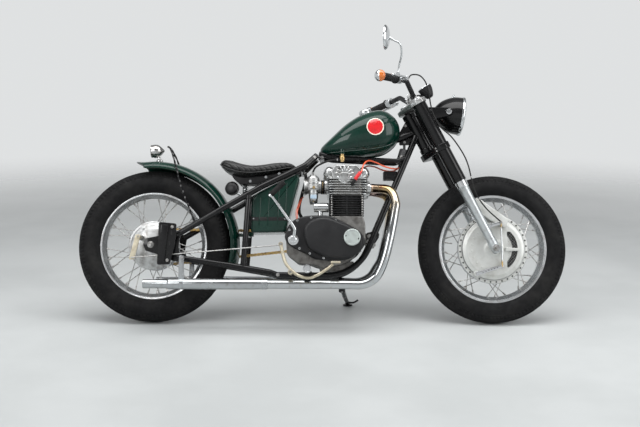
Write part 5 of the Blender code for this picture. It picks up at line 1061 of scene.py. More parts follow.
pale_cap = uneven(Look("pale_cap", (0.47, 0.51, 0.5), 0.38, 0.35), 50, 0.3, 0.5)
worn(pale_cap, 40, 0.4, 0.8, (0.47, 0.52, 0.5), (0.36, 0.39, 0.38))
pale_cap.bump(pale_cap.noise(500, 3), 0.0002, 0.15)
cover_line = mm((590, 372), (603, 419), (631, 450), (673, 466), (725, 471), (791, 467), (871, 430), (913, 404),
                (937, 372), (936, 335), (895, 293), (852, 276), (791, 273), (726, 279), (683, 301),
                (617, 334))
bulge_line = mm((671, 403), (688, 436), (725, 457), (772, 462), (819, 447), (868, 427), (910, 402), (931, 370),
                (928, 325), (896, 294), (847, 280), (782, 281), (726, 302), (688, 333))
cover_line = shrunk(flowing_loop(cover_line, 5), 0.0008)
bulge_line = shrunk(flowing_loop(bulge_line, 5), 0.0012)
CAP_CENTRE = (0.883, -0.19, 0.373)
right_cover = Shape()
right_cover.pillow(cover_line, -0.13, -0.165, 0.009)
right_cover.pillow(bulge_line, -0.16, -0.19, 0.0145)
right_cover.paint(1)
right_cover.slab(cover_line, -0.1284, -0.1302)
for x, z in ((0.705, 0.46), (0.812, 0.4475), (0.916, 0.388), (0.925, 0.345), (0.905, 0.3095), (0.618, 0.35),
             (0.6105, 0.405), (0.645, 0.447), (0.655, 0.325), (0.7, 0.3035), (0.76, 0.284)):
    right_cover.screw((x, -0.1628, z), -ACROSS, 0.0056, 0.0036)
right_cover.turn([(0, 0.0225), (0.002, 0.0225), (0.0025, 0.02)], (0.628, -0.1635, 0.362), -ACROSS, 36)
right_cover.paint(2)
right_cover.turn(mm((-6, 36.5), (4.6, 36.5), (6.2, 35.9), (7.4, 34.5), (7.9, 32.5), (7.9, 30), (7.4, 29.2),
                    (7.4, 1)), CAP_CENTRE, -ACROSS, 64)
# The cap's two notches are thin dark discs: painted shade in place of the hollows.
right_cover.paint(3)
for x, z in ((0.8545, 0.3795), (0.9115, 0.3665)):
    right_cover.turn([(0, 0.0042), (0.0004, 0.0042)], (x, -0.1974, z), -ACROSS, 18)
right_cover.hoop(CAP_CENTRE, ACROSS, 0.0372, 0.0007, 64)
right_cover.finished("right_cover_casting", [satin_black, polished_alloy, pale_cap, dark_recess], "frame",
                     "satin_black", ("right_engine_cover",), crease=28)


# Left engine covers: the generator's spun dome and a flat casting over the front toothed wheel, both
# satin black, held by bright screws.
left_cover = Shape()
dome = (0.862, 0.1283, 0.362)
left_cover.turn(mm((0, 75.5), (27, 76), (30, 75.5), (34, 73.5), (38.5, 69), (41, 64), (42.5, 54), (42.5, 50),
                   (43.5, 49), (44, 47), (44, 1)), dome, ACROSS, 72)
shield = flowing_loop(mm((700, 290), (640, 308), (596, 330), (590, 400), (625, 442), (710, 448), (800, 452),
                         (826, 410), (826, 345), (800, 290)), 5)
left_cover.pillow(shrunk(shield, 0.002), 0.1283, 0.152, 0.007)
left_cover.paint(1)
for k in range(8):
    angle = math.radians(22 + 45 * k)
    left_cover.screw(around((0.862, 0.166, 0.362), angle, 0.0665), ACROSS, 0.0046, 0.0042)
for x, z in ((0.612, 0.342), (0.606, 0.398), (0.64, 0.43), (0.72, 0.436), (0.7, 0.304)):
    left_cover.screw((x, 0.15, z), ACROSS, 0.0048, 0.0026)
left_cover.hoop((0.862, 0.17, 0.362), ACROSS, 0.0515, 0.001, 64)
left_cover.finished("left_cover_castings", [satin_black, polished_alloy], "frame", "satin_black",
                    ("left_engine_cover",), crease=28)


# Barrels: two black-painted iron bores in one stack of thin fins with rounded corners, pulled down on
# the crankcase by long steel studs.


def fin_stack(shape, fin, core, z_from, z_to, count, share, radius, wave=0.0, core_paint=0):
    pitch = (z_to - z_from) / count
    shape.paint(core_paint)
    shape.tablet(rounded([(core[0], -core[2]), (core[1], -core[2]), (core[1], core[2]), (core[0], core[2])],
                         0.03), z_from, z_to, 0)
    shape.paint(0)
    for k in range(count):
        low = z_from + pitch * (k + 0.5 - share / 2)
        grow = wave * math.sin(math.pi * (k + 0.5) / count)
        outline = rounded([(fin[0] + wave - grow, -fin[2]), (fin[1] - wave + grow, -fin[2]),
                           (fin[1] - wave + grow, fin[2]), (fin[0] + wave - grow, fin[2])], radius, 7)
        shape.tablet(outline, low, low + pitch * share, 0.0009, 0.0009)


finned_black = uneven(Look("finned_black", (0.008, 0.008, 0.0085), 0.42, Specular_IOR_Level=0.35), 40, 0.34,
                      0.55)
worn(finned_black, 120, 0.58, 0.8, (0.007, 0.007, 0.0075), (0.06, 0.06, 0.06))
finned_black.bump(finned_black.cells(1300), 0.0004, 0.3)
barrels = Shape()
fin_stack(barrels, (0.784, 0.938, 0.128), (0.802, 0.922, 0.108), 0.4703, 0.5647, 9, 0.3, 0.022)
for y in (-0.0555, 0.0555):
    barrels.turn([(0, 0.06), (0.094, 0.06)], (0.862, y, 0.4705), UP, 48)
barrels.slab(box_outline(0.8595, 0.8645, 0.4706, 0.5645, 0.001), -0.1275, -0.11)
barrels.slab(box_outline(0.8595, 0.8645, 0.4706, 0.5645, 0.001), 0.11, 0.1275)
barrels.paint(1)
for x in (0.795, 0.929):
    for y in (-0.112, 0, 0.112):
        barrels.bar((x, y, 0.4705), (x, y, 0.5645), 0.004, 12)
barrels.bar((0.934, 0.03, 0.4705), (0.934, 0.03, 0.564), 0.0036, 12)
barrels.finished("barrel_fins", [finned_black, steel], "frame", "satin_black", ("finned_barrels",), crease=40)


# Cylinder head: bright cast alloy with thin fins, a rocker box with two straps, four domed tappet caps
# and a scalloped round cover on each side. Studs hold it on the barrels.
bright_head = uneven(Look("bright_head", (0.52, 0.53, 0.53), 0.28, 1.0), 50, 0.22, 0.4)
worn(bright_head, 36, 0.42, 0.8, (0.55, 0.56, 0.56), (0.27, 0.265, 0.25))
bright_head.bump(bright_head.noise(420, 4), 0.0003, 0.2)
PORT_Y = 0.072
head = Shape()
# The head's core between the fins takes the dark alloy: painted shade in the gaps between the fins.
fin_stack(head, (0.773, 0.956, 0.132), (0.796, 0.934, 0.112), 0.565, 0.642, 7, 0.24, 0.024, 0.004,
          core_paint=3)
rocker = rounded(mm((800, 638), (790, 672), (812, 700), (905, 700), (928, 676), (932, 638)), 0.013)
head.pillow(rocker, -0.118, 0.118, 0.005, 0.005)
for y in (-0.036, 0.036):
    head.pillow(shrunk(rocker, -0.0006), y - 0.004, y + 0.004, 0.001, 0.001)
head.tablet(rounded([(0.822, -0.1), (0.898, -0.1), (0.898, 0.1), (0.822, 0.1)], 0.012), 0.69, 0.7016, 0.001)
fan_x = 0.851
fan_z = 0.652
ring = []
for k in range(57):
    angle = math.pi * k / 56
    radius = 0.0425 + 0.004 * (1 - 2 * abs(math.cos(angle * 7)) ** 0.8)
    ring.append((fan_x + math.cos(angle) * radius, fan_z + math.sin(angle) * radius))
ring += flowing([(fan_x - 0.0385, fan_z - 0.003, 0), (fan_x - 0.022, fan_z - 0.026, 0),
                 (fan_x, fan_z - 0.041, 0), (fan_x + 0.022, fan_z - 0.026, 0),
                 (fan_x + 0.0385, fan_z - 0.003, 0)], 5)[1:-1]
fan = [(p[0], p[1]) for p in ring]
head.pillow(fan, -0.1125, -0.129, 0.003)
head.pillow(rounded([(fan_x - 0.0225, fan_z + 0.004), (fan_x - 0.012, fan_z + 0.0115),
                     (fan_x + 0.012, fan_z + 0.0115), (fan_x + 0.0225, fan_z + 0.004),
                     (fan_x + 0.017, fan_z - 0.019), (fan_x, fan_z - 0.034), (fan_x - 0.017, fan_z - 0.019)],
                    0.004), -0.128, -0.1335, 0.003)
for k in range(7):
    angle = math.pi * (k + 0.5) / 7
    out = Vector((math.cos(angle), 0, math.sin(angle)))
    start = Vector((fan_x, -0.1282, fan_z))
    head.sweep([start + out * r for r in (0.015, 0.018, 0.026, 0.035, 0.0405, 0.0435)],
               [0.0012, 0.0028, 0.004, 0.0048, 0.004, 0.0012], 12)
for side in (-1, 1):
    for x, slant in ((0.792, -1), (0.93, 1)):
        axis = Vector((slant * 0.9, side * 0.12, 0.42)).normalized()
        cap = mm((-30, 27.2), (3.5, 27.2), (4, 27.9), (12.5, 27.9), (13, 26.2), (15, 26.2))
        cap += [(0.015 + 0.019 * math.sin(math.radians(a)), 0.0006 + 0.0262 * math.cos(math.radians(a)))
                for a in range(0, 91, 10)]
        head.turn(cap, (x, side * PORT_Y, 0.664), axis, 48)
    head.turn(mm((0, 25), (6, 25), (6.5, 26.2), (35.5, 26.2), (36, 25), (36, 20)),
              (0.93, side * PORT_Y, 0.6), (1, 0, 0), 40)
    head.turn(mm((0, 24), (35.5, 24.5), (36, 23.5), (36, 20)), (0.8, side * PORT_Y, 0.612), (-1, 0, 0), 40)
    head.pillow(box_outline(0.932, 0.9655, 0.566, 0.634, 0.012), side * PORT_Y - 0.006, side * PORT_Y + 0.006,
                0.001, 0.001)
head.pillow(fan, 0.1125, 0.129, 0.003)
head.paint(1)
for x, z, y in ((fan_x - 0.03, fan_z - 0.01, -0.1283), (fan_x + 0.03, fan_z - 0.01, -0.1283),
                (fan_x, fan_z - 0.0335, -0.1283), (fan_x - 0.03, fan_z - 0.01, 0.1272),
                (fan_x + 0.03, fan_z - 0.01, 0.1272), (fan_x, fan_z - 0.0335, 0.1272)):
    head.turn(mm((0, 5), (3, 5), (4.4, 3.6), (4.8, 1)), (x, y, z), (0, math.copysign(1, y), 0), 16)
for x in (0.818, 0.902):
    for y in (-0.086, -0.018, 0.018, 0.086):
        head.turn(mm((0, 5.2), (1.2, 5.2), (1.6, 4), (1.6, 1)), (x, y, 0.7001), UP, 14)
for side in (-1, 1):
    for dz in (-0.0215, 0.0215):
        head.bar((0.958, side * PORT_Y, 0.6 + dz), (0.9658, side * PORT_Y, 0.6 + dz), 0.0036)
# Dark stubs where the plugs enter the head: painted shade of the plug wells.
head.paint(2)
for side in (-1, 1):
    head.turn(mm((0, 10), (4, 10), (4.5, 7.5), (9, 7)), (0.886, side * 0.121, 0.612), ACROSS * side, 20)
head.finished("cylinder_head_casting", [bright_head, polished_alloy, dark_recess, case_alloy], "frame",
              "cast_alloy", ("cylinder_head",), crease=38)


# Carburettors: two die-cast alloy bodies with open polished bells, ribbed tops and float bowls, joined by
# a link bar with its spring. Rubber stubs and clamps hold them to the head.
cast_alloy = uneven(Look("cast_alloy", (0.48, 0.49, 0.49), 0.4, 1.0), 60, 0.32, 0.52)
worn(cast_alloy, 45, 0.35, 0.75, (0.52, 0.53, 0.53), (0.27, 0.26, 0.25))
cast_alloy.bump(cast_alloy.cells(1100), 0.0004, 0.25)

black_rubber = uneven(Look("black_rubber", (0.01, 0.01, 0.0105), 0.62, Specular_IOR_Level=0.3), 50, 0.5, 0.78)
worn(black_rubber, 18, 0.4, 0.8, (0.009, 0.009, 0.0095), (0.022, 0.021, 0.02))
black_rubber.bump(black_rubber.noise(1200, 3), 0.0002, 0.3)

brass = uneven(Look("brass", (0.6, 0.44, 0.22), 0.35, 1.0), 90, 0.22, 0.5)
worn(brass, 110, 0.4, 0.8, (0.62, 0.44, 0.2), (0.3, 0.21, 0.11))
brass.bump(brass.noise(600, 3), 0.0002, 0.15)

blue_plate = uneven(Look("blue_plate", (0.35, 0.5, 0.66), 0.4), 90, 0.3, 0.5)
worn(blue_plate, 60, 0.4, 0.7, (0.42, 0.55, 0.68), (0.56, 0.62, 0.66))
carbs = Shape()
for side in (-1, 1):
    y = side * PORT_Y
    face = Vector((0.7637, y, 0.612))
    carbs.paint(0)
    bell = mm((12, 19.5), (12, 22), (68, 21), (76, 22.5), (84, 26.2), (89, 29.2), (91.5, 29.8), (92, 29),
              (89, 26.5), (82, 21.5), (70, 18), (12, 18))
    carbs.turn(bell, face, (-1, 0, 0), 48, loop=True)
    carbs.turn(mm((596, 29), (598, 30.8), (603, 30.8), (604.5, 28.5), (618, 28.5), (619.5, 30.8), (626, 30.8),
                  (627.5, 29), (640, 29), (647, 26.2), (652, 21.5), (653, 15), (659.5, 14), (660, 12)),
               (0.712, y, 0), UP, 48)
    carbs.turn(mm((541, 13), (542.5, 16.5), (548, 18.5), (570, 20.5), (575.5, 21.2), (576, 22), (582, 22),
                  (582.5, 21.2), (600, 21.2)), (0.714, y, 0), UP, 40)
    carbs.pillow(box_outline(0.69, 0.738, 0.59, 0.63, 0.006), y - 0.021, y + 0.021, 0.003, 0.003)
    carbs.bar((0.716, y, 0.6), (0.716, y + side * 0.03, 0.6), 0.006)
    carbs.paint(1)
    carbs.turn(mm((0, 17), (0, 22.4), (1.5, 23), (14, 23), (15.5, 22.4), (15.5, 17)), face, (-1, 0, 0), 40,
               loop=True)
    carbs.paint(2)
    for k in range(4):
        angle = math.radians(45 + 90 * k)
        carbs.screw((0.712 + math.cos(angle) * 0.0258, y + math.sin(angle) * 0.0258, 0.6258), UP, 0.003,
                    0.0022)
    carbs.turn(mm((0, 6), (3, 6), (3.5, 4.8), (0.5, 4)), (0.714, y, 0.543), -UP, 16)
    carbs.hoop(face + Vector((-0.008, 0, 0)), (1, 0, 0), 0.0229, 0.0009, 40)
    carbs.bar((0.716, y + side * 0.0295, 0.6), (0.716, y + side * 0.031, 0.6), 0.0068)
    # A dark disc deep in each bell: painted shade in the throat.
    carbs.paint(3)
    carbs.turn([(0.07, 0.0178), (0.0702, 0.0002)], face, (-1, 0, 0), 32)
carbs.paint(4)
carbs.pillow(box_outline(0.701, 0.7285, 0.551, 0.569, 0.002), -0.091, -0.0922, 0.0004)
carbs.paint(2)
carbs.bar((0.7, -0.072, 0.625), (0.7, 0.072, 0.625), 0.0055)
carbs.spring((0.7, -0.02, 0.625), (0.7, 0.012, 0.625), 0.0052, 0.0007, 9, 6)
carbs.finished("carburettor_bodies", [cast_alloy, black_rubber, brass, dark_recess, blue_plate], "frame",
               "cast_alloy", ("carburettors",), crease=36)


# Exhausts: chromed steel pipes bent from the ports down and back, blued and gilt by heat near the head.
# Each ends in a long stepped silencer with clamps, and a strap hangs that from the lower stay.
heat_chrome = Look("heat_tinted_chrome", (0.6, 0.61, 0.62), 0.12, 1.0)
uneven(heat_chrome, 22, 0.09, 0.22)
port = tuple(PARKED @ Vector((0.988, 0, 0.612)))
gap = heat_chrome.node("ShaderNodeVectorMath", heat_chrome.place, port, operation="DISTANCE", output=1)
gap = gap + heat_chrome.noise(26, 4) * 0.035
tint = gap.ramp(0.145, 0.29).blend((0.46, 0.33, 0.16), (0.5, 0.52, 0.53))
tint = gap.ramp(0.085, 0.15).blend((0.3, 0.22, 0.2), tint)
heat_chrome.feed("Base Color", heat_chrome.noise(70, 5).ramp(0.55, 0.85).blend(tint, (0.36, 0.31, 0.25)))
heat_chrome.bump(heat_chrome.noise(600, 3), 0.0002, 0.08)
hot_metal = uneven(Look("silencer_chrome", (0.42, 0.44, 0.45), 0.22, 1.0), 18, 0.15, 0.3)
worn(hot_metal, 34, 0.5, 0.85, (0.43, 0.45, 0.46), (0.28, 0.27, 0.25))
hot_metal.bump(hot_metal.noise(600, 3), 0.0002, 0.08)

for name, side, run_y, run_z in (("right", -1, -0.19, 0.169), ("left", 1, 0.165, 0.19)):
    pipe = Shape()
    route = [(0.9663, side * PORT_Y, 0.6), (0.988, side * PORT_Y, 0.6), (1.05, side * 0.118, 0.586),
             (1.074, side * 0.146, 0.535), (1.07, side * 0.158, 0.49), (1.052, run_y - side * 0.012, 0.4),
             (1.029, run_y - side * 0.004, 0.3), (1.004, run_y, run_z + 0.062), (0.975, run_y, run_z + 0.022),
             (0.925, run_y, run_z), (0.84, run_y, run_z), (0.5203, run_y, run_z)]
    pipe.sweep(flowing(route, 7), 0.0198, 36)
    pipe.paint(1)
    pipe.turn(mm((0, 19.6), (0, 19.9), (4, 20), (4.5, 19.6)), (0.9663, side * PORT_Y, 0.6), (1, 0, 0), 36)
    pipe.finished("exhaust_pipe_" + name, [heat_chrome, polished_alloy], "frame", "chrome",
                  ("header_" + name,), crease=40)

    can = Shape()
    wall = mm((-520, 20), (-519.8, 21.8), (-492.5, 22), (-490, 22.1), (-460, 23.3), (-458, 23.5), (-96, 23.5),
              (-93.5, 23.1), (-88, 19.8), (-86.5, 19.5), (16.2, 19.5), (17, 18.8), (16.8, 17.6), (-43, 17.5),
              (-43, 6))
    can.turn(wall, (0, run_y, run_z), (-1, 0, 0), 56)
    # A dark disc inside the open end: painted shade in the silencer's mouth.
    can.paint(1)
    can.turn([(-0.0425, 0.0174), (-0.0424, 0.0002)], (0, run_y, run_z), (-1, 0, 0), 32)
    can.paint(0)
    stay_z = REAR_AXLE.z - 0.0565 + (0.147 - 0.113) / (0.35 - 0.113) * (0.252 - (REAR_AXLE.z - 0.0565))
    stay_y = 0.112 + (0.147 - 0.113) / (0.35 - 0.113) * 0.004
    can.pillow(rounded([(0.134, run_z + 0.0175), (0.16, run_z + 0.0175), (0.157, stay_z + 0.0105),
                        (0.137, stay_z + 0.0105)], 0.005), run_y - 0.0024, run_y + 0.0024, 0.0006, 0.0006)
    for x in (0.147, 0.505):
        radius = 0.0237 if x < 0.3 else 0.0219
        can.turn([(-0.0095, radius), (-0.009, radius + 0.0014), (-0.006, radius + 0.0016),
                  (-0.0055, radius + 0.0009), (0.0055, radius + 0.0009), (0.006, radius + 0.0016),
                  (0.009, radius + 0.0014), (0.0095, radius)], (x, run_y, run_z), (1, 0, 0), 48)
    can.paint(2)
    can.bar((0.147, run_y, stay_z), (0.147, side * (stay_y + 0.0138), stay_z), 0.0058)
    can.bolt((0.147, run_y + side * 0.0024, stay_z), ACROSS * side, 0.009, 0.0055)
    can.bar((0.147, run_y + side * 0.01, run_z - 0.0195), (0.147, run_y + side * 0.01, run_z - 0.0235), 0.004,
            6)
    can.finished("silencer_body_" + name, [hot_metal, dark_recess, steel], "frame", "chrome",
                 ("silencer_" + name,), crease=36)


# Fuel tank: a pressed steel peanut shell with a tunnel for the backbone and a folded seam, painted dark
# green. Each side has a plain red disc with a cream border; the ribbed cap and the bolts are bright.
green_enamel = uneven(Look("green_enamel", (0.0012, 0.022, 0.0145), 0.3, Specular_IOR_Level=0.12,
                           Coat_Weight=0.55, Coat_Roughness=0.02), 40, 0.26, 0.34)
worn(green_enamel, 6, 0.3, 0.7, (0.001, 0.018, 0.012), (0.0016, 0.027, 0.0175))
green_enamel.bump(green_enamel.noise(300, 2), 0.0002, 0.06)

chrome = uneven(Look("chrome", (0.66, 0.68, 0.69), 0.1, 1.0), 22, 0.07, 0.2)
worn(chrome, 70, 0.58, 0.85, (0.64, 0.66, 0.67), (0.4, 0.38, 0.35))
chrome.bump(chrome.noise(700, 3), 0.0002, 0.08)


def squarish(half_width, low, high, count, fullness=2.5):
    """A (y, z) section between ellipse and box."""
    ring = []
    for k in range(count):
        angle = 2 * math.pi * (k + 0.5) / count
        c = math.cos(angle)
        s = math.sin(angle)
        reach = 2 / fullness
        ring.append((half_width * math.copysign(abs(c) ** reach, c),
                     (low + high) / 2 + (high - low) / 2 * math.copysign(abs(s) ** reach, s)))
    return ring


tank_stations = mm((744, 768, 782, 22), (753, 758, 797, 52), (787, 750, 830, 86), (855, 746, 894, 117),
                   (922, 746, 938, 130), (990, 752, 961, 134), (1035, 764, 959, 128), (1075, 792, 934, 104),
                   (1096, 820, 905, 74), (1103, 842, 884, 40))


def smooth_stations(stations, steps):
    """Finer stations between given ones; each is (x, low, high, half width)."""
    rows = [[curve_between(*values, k / steps) for values in zip(a, b, c, d)] for a, b, c,
            d in zip(stations[:1] + stations, stations, stations[1:], stations[2:] + stations[-1:])
            for k in range(steps)]
    return rows + [list(stations[-1])]


sections = smooth_stations(tank_stations, 7)
shell = Shape()
shell.skin([[(x, y, z) for y, z in squarish(half * 0.985, low + 0.001, high - 0.001, 72)] for x, low, high,
            half in sections])
tunnel = Shape()
tunnel.slab([(0.7, 0.785), (BACKBONE_KNEE.x, BACKBONE_KNEE.z + 0.023), (BACKBONE_HEAD.x + 0.022,
        BACKBONE_HEAD.z + 0.029), (BACKBONE_HEAD.x + 0.022, 0.6), (0.7, 0.6)], -0.022, 0.022)
surface = BVHTree.FromBMesh(shell.bm)
tank = shell.carved(tunnel)


def on_tank(x, z, side, lift=0.0):
    """The point of the tank's side behind a place in side view."""
    hit, normal, index, distance = surface.ray_cast(Vector((x, side * 0.3, z)), Vector((0, -side, 0)))
    return hit + normal * lift * (1 if normal.y * side > 0 else -1)


for side in (-1, 1):
    rings = []
    for radius, lift in ((0.0385, 0.0002), (0.0385, 0.0012), (0.0378, 0.0016), (0.0352, 0.0016),
                         (0.0346, 0.0011), (0.034, 0.0009), (0.024, 0.0009), (0.012, 0.0009),
                         (0.0005, 0.0009)):
        rings.append([on_tank(0.987 + math.cos(2 * math.pi * k / 72) * radius, 0.869
                              + math.sin(2 * math.pi * k / 72) * radius, side, lift) for k in range(72)])
    tank.paint(2)
    tank.skin(rings[:6])
    tank.paint(1)
    tank.skin(rings[5:])
tank.paint(0)
for side in (1, -1):
    tank.sweep([(x, side * half * 0.985 * 0.88, low + (high - low) * 0.105) for x, low, high,
                half in sections[8:-7]], 0.0018, 8)
tank.turn(mm((0, 13.5), (4, 13.5), (6, 11.5), (28, 11)), (0.842, -0.085, 0.7525), UP, 28)
tank.paint(3)
cap_axis = Vector((-0.25, 0, 1)).normalized()
tank.turn(mm((-18, 23.5), (-4, 23.5), (-3.5, 27.5), (1, 28.5), (10, 28.5), (12.5, 27.6), (14.5, 25.5),
             (15.8, 21.5), (16, 1)), (0.95, 0, 0.952), cap_axis, 60)
right = side_of(cap_axis)
ahead = cap_axis.cross(right)
for k in range(36):
    angle = 2 * math.pi * k / 36
    spot = Vector((0.95, 0, 0.952)) + (right * math.cos(angle) + ahead * math.sin(angle)) * 0.0281
    tank.sweep([spot + cap_axis * 0.0005, spot + cap_axis * 0.002, spot + cap_axis * 0.0088, spot
                + cap_axis * 0.0104], [0.0002, 0.0009, 0.0009, 0.0002], 6)
for side in (-1, 1):
    tank.bolt((0.7535, side * 0.0365, 0.7765), (-0.7, side * 0.5, 0.3), 0.008, 0.003)
red_enamel = uneven(Look("red_enamel", (0.62, 0.012, 0.016), 0.2, Coat_Weight=0.8, Coat_Roughness=0.05), 40,
                    0.16, 0.28)
worn(red_enamel, 30, 0.4, 0.8, (0.64, 0.012, 0.016), (0.5, 0.01, 0.014))
cream_enamel = uneven(Look("cream_enamel", (0.78, 0.73, 0.62), 0.25, Coat_Weight=0.6, Coat_Roughness=0.06), 40,
                      0.2, 0.32)
worn(cream_enamel, 50, 0.4, 0.8, (0.8, 0.75, 0.64), (0.66, 0.6, 0.49))
tank.finished("tank_shell", [green_enamel, red_enamel, cream_enamel, chrome], "frame", "green_paint",
              ("fuel_tank",), crease=42)


# The seat: black leather quilted over padding, with chevron seams. The panels between the pinned seams
# are blown up by a short cloth simulation, then the seam channels are pressed in. It rests on its pan.
seat_stations = mm((296, 704, 720, 60), (312, 684, 733, 96), (345, 664, 731, 118), (392, 652, 717, 124),
                   (440, 653, 709, 116), (490, 660, 715, 96), (540, 669, 724, 76), (590, 683, 727, 58),
                   (618, 692, 720, 42), (633, 699, 711, 22))
SEAM_PITCH = 0.031
SEAM_SWEEP = 0.85
SEAM_FALL = 1.15


def edge_height(x, column):
    """Height of the pad's lower (1) or upper (2) edge at a place."""
    for near, far in zip(seat_stations, seat_stations[1:]):
        if x <= far[0]:
            share = max(0.0, (x - near[0]) / (far[0] - near[0]))
            return near[column] + (far[column] - near[column]) * share
    return seat_stations[-1][column] - (0.001 if column == 1 else 0)


def crown_height(x):
    return edge_height(x, 2)


def belly(x):
    return edge_height(x, 1) + 0.005


def seam_gap(x, y, z):
    """Distance from the nearest seam; the seams run ahead as they go outwards and down."""
    line = (x - 0.3 - SEAM_SWEEP * abs(y) - SEAM_FALL * max(0.0, crown_height(x) - z)) / SEAM_PITCH
    return abs(line - round(line)) * SEAM_PITCH / math.hypot(1, SEAM_SWEEP)


pad_rows = smooth_stations(seat_stations, 4)
draft = Shape()
draft.skin([[(x, y, z) for y, z in squarish((half - 0.0045) * 0.985, low + 0.0015, high - 0.0045, 40)]
            for x, low, high, half in pad_rows])
pad_mesh = bpy.data.meshes.new("seat_pad")
draft.bm.to_mesh(pad_mesh)
draft.bm.free()
pad = bpy.data.objects.new("seat_pad", pad_mesh)
bpy.context.scene.collection.objects.link(pad)


def apply_modifiers(solid):
    graph = bpy.context.evaluated_depsgraph_get()
    mesh = bpy.data.meshes.new_from_object(solid.evaluated_get(graph))
    solid.modifiers.clear()
    solid.data = mesh


remesh = pad.modifiers.new("remesh", "REMESH")
remesh.mode = "VOXEL"
remesh.voxel_size = 0.0045
apply_modifiers(pad)
before = [vertex.co.copy() for vertex in pad.data.vertices]

pins = pad.vertex_groups.new(name="pins")
for vertex in pad.data.vertices:
    x, y, z = vertex.co
    if seam_gap(x, y, z) < 0.0026 or z < belly(x):
        pins.add([vertex.index], 1.0, "REPLACE")
cloth = pad.modifiers.new("cloth", "CLOTH")
cloth.settings.quality = 6
cloth.settings.vertex_group_mass = "pins"
cloth.settings.use_pressure = True
cloth.settings.uniform_pressure_force = 5.0
cloth.settings.effector_weights.gravity = 0.0
cloth.settings.tension_stiffness = 12
cloth.settings.compression_stiffness = 12
cloth.point_cache.frame_start = 1
cloth.point_cache.frame_end = 20
for step in range(1, 21):
    bpy.context.scene.frame_set(step)
apply_modifiers(pad)
pad.vertex_groups.clear()
bpy.context.scene.frame_set(1)
for vertex, rest in zip(pad.data.vertices, before):
    moved = vertex.co - rest
    if moved.length > 0.0048:
        moved *= 0.0048 / moved.length
    vertex.co = rest + moved
finer = pad.modifiers.new("finer", "SUBSURF")
finer.levels = 1
finer.render_levels = 1
apply_modifiers(pad)
normals = [vertex.normal.copy() for vertex in pad.data.vertices]
for vertex, normal in zip(pad.data.vertices, normals):
    x, y, z = vertex.co
    if z > belly(x) - 0.002:
        vertex.co -= normal * 0.0036 * math.exp(-(seam_gap(x, y, z) / 0.003) ** 2)
pad.data.transform(PARKED)
leather = Look("quilted_leather", (0.009, 0.009, 0.009), 0.42, Specular_IOR_Level=0.6)
uneven(leather, 45, 0.33, 0.56)
worn(leather, 20, 0.4, 0.8, (0.007, 0.007, 0.007), (0.016, 0.0155, 0.015))
leather.bump(leather.cells(1500), 0.0004, 0.5)
leather.bump(leather.noise(90, 5), 0.0006, 0.3)
pad.data.materials.clear()
pad.data.materials.append(leather.material)
pad.data.shade_smooth()
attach(pad, "frame")
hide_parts("seat")


# Trim of the seat: a leather-covered cord sewn round its lower edge, and grey stitches that follow the
# chevron seams over the pad.
trim = Shape()
pad_surface = BVHTree.FromObject(pad, bpy.context.evaluated_depsgraph_get())
lean_back = PARKED.inverted()
piping = []
for side in (1, -1):
    rows = pad_rows if side > 0 else pad_rows[::-1]
    for x, low, high, half in rows:
        piping.append(Vector((x, side * (half * 0.925), low + (high - low) * 0.22)))
trim.sweep(piping, 0.0021, 8, loop=True)
thread = uneven(Look("seat_thread", (0.05, 0.05, 0.05), 0.7), 300, 0.6, 0.85)
worn(thread, 400, 0.4, 0.7, (0.05, 0.05, 0.05), (0.1, 0.1, 0.1))
stitches = []
for line in range(-3, 11):
    for k in range(-24, 25):
        y = k * 0.0046
        z = crown_height(0.3 + line * SEAM_PITCH + SEAM_SWEEP * abs(y))
        for step in range(3):
            x = 0.3 + line * SEAM_PITCH + SEAM_SWEEP * abs(y) + SEAM_FALL * max(0.0,
                    crown_height(0.3 + line * SEAM_PITCH) - z)
            hit = pad_surface.ray_cast(PARKED @ Vector((x, y, 0.8)), PARKED.to_3x3() @ Vector((0, 0, -1)))
            if hit[0] is None:
                break
            z = (lean_back @ hit[0]).z
        if hit[0] is None or not 0.305 < x < 0.62 or z < belly(x) + 0.004:
            continue
        normal = (lean_back.to_3x3() @ hit[1]).normalized()
        along = Vector((SEAM_SWEEP * math.copysign(1, y), 1, 0))
        along = (along - normal * along.dot(normal)).normalized()
        turned = Matrix((along, normal.cross(along), normal)).transposed().to_4x4()
        stitches.append(Matrix.Translation(lean_back @ hit[0]) @ turned)
trim.paint(1)
trim.repeat(Shape().sweep(mm((-1.4, 0, 0.1), (0, 0, 0.5), (1.4, 0, 0.1)), [0.0002, 0.0004, 0.0002], 5),
            stitches, thread)
trim.finished("seat_piping_and_stitches", [leather, thread], "frame", "leather")


# Pan of the seat: a pressed steel tray in satin black with a nose lug bolted to the frame and two posts. A
# chromed coil spring round each post carries the rider.
pan = Shape()
top = [(x, low - 0.0003) for x, low, high, half in seat_stations[2:8]]
pan.pillow(rounded(top + mm((605, 676), (505, 640), (462, 621), (385, 620), (352, 650)), 0.006),
           -0.045, 0.045, 0.003, 0.003)
pan.pillow(box_outline(0.59, 0.6535, 0.672, 0.6815, 0.003), -0.014, 0.014, 0.001, 0.001)
for side in (-1, 1):
    pan.bar((0.405, side * 0.028, 0.5705), (0.405, side * 0.028, 0.628), 0.0055)
    pan.turn(mm((0, 11.8), (2, 11.8), (2.5, 8)), (0.405, side * 0.028, 0.5705), UP, 24)
pan.paint(1)
for side in (-1, 1):
    pan.spring((0.405, side * 0.028, 0.5725), (0.405, side * 0.028, 0.618), 0.0098, 0.0021, 6.2, 8)
    for x, z in ((0.43, 0.634), (0.5, 0.6525), (0.56, 0.668)):
        pan.bolt((x, side * 0.0448, z), ACROSS * side, 0.008, 0.004)
pan.bolt((0.64, 0, 0.6813), UP, 0.009, 0.003)
pan.finished("seat_base_and_springs", [satin_black, chrome], "frame", "satin_black", ("seat_pan",))


# Rear mudguard: a crowned steel blade rolled round the tyre, with wired edges and a flared pointed tip,
# painted dark green. A tab and two bolts hold it to the frame's cross tube.
GUARD_RADIUS = 0.384
GUARD_HALF_WIDTH = 0.0745
guard = Shape()


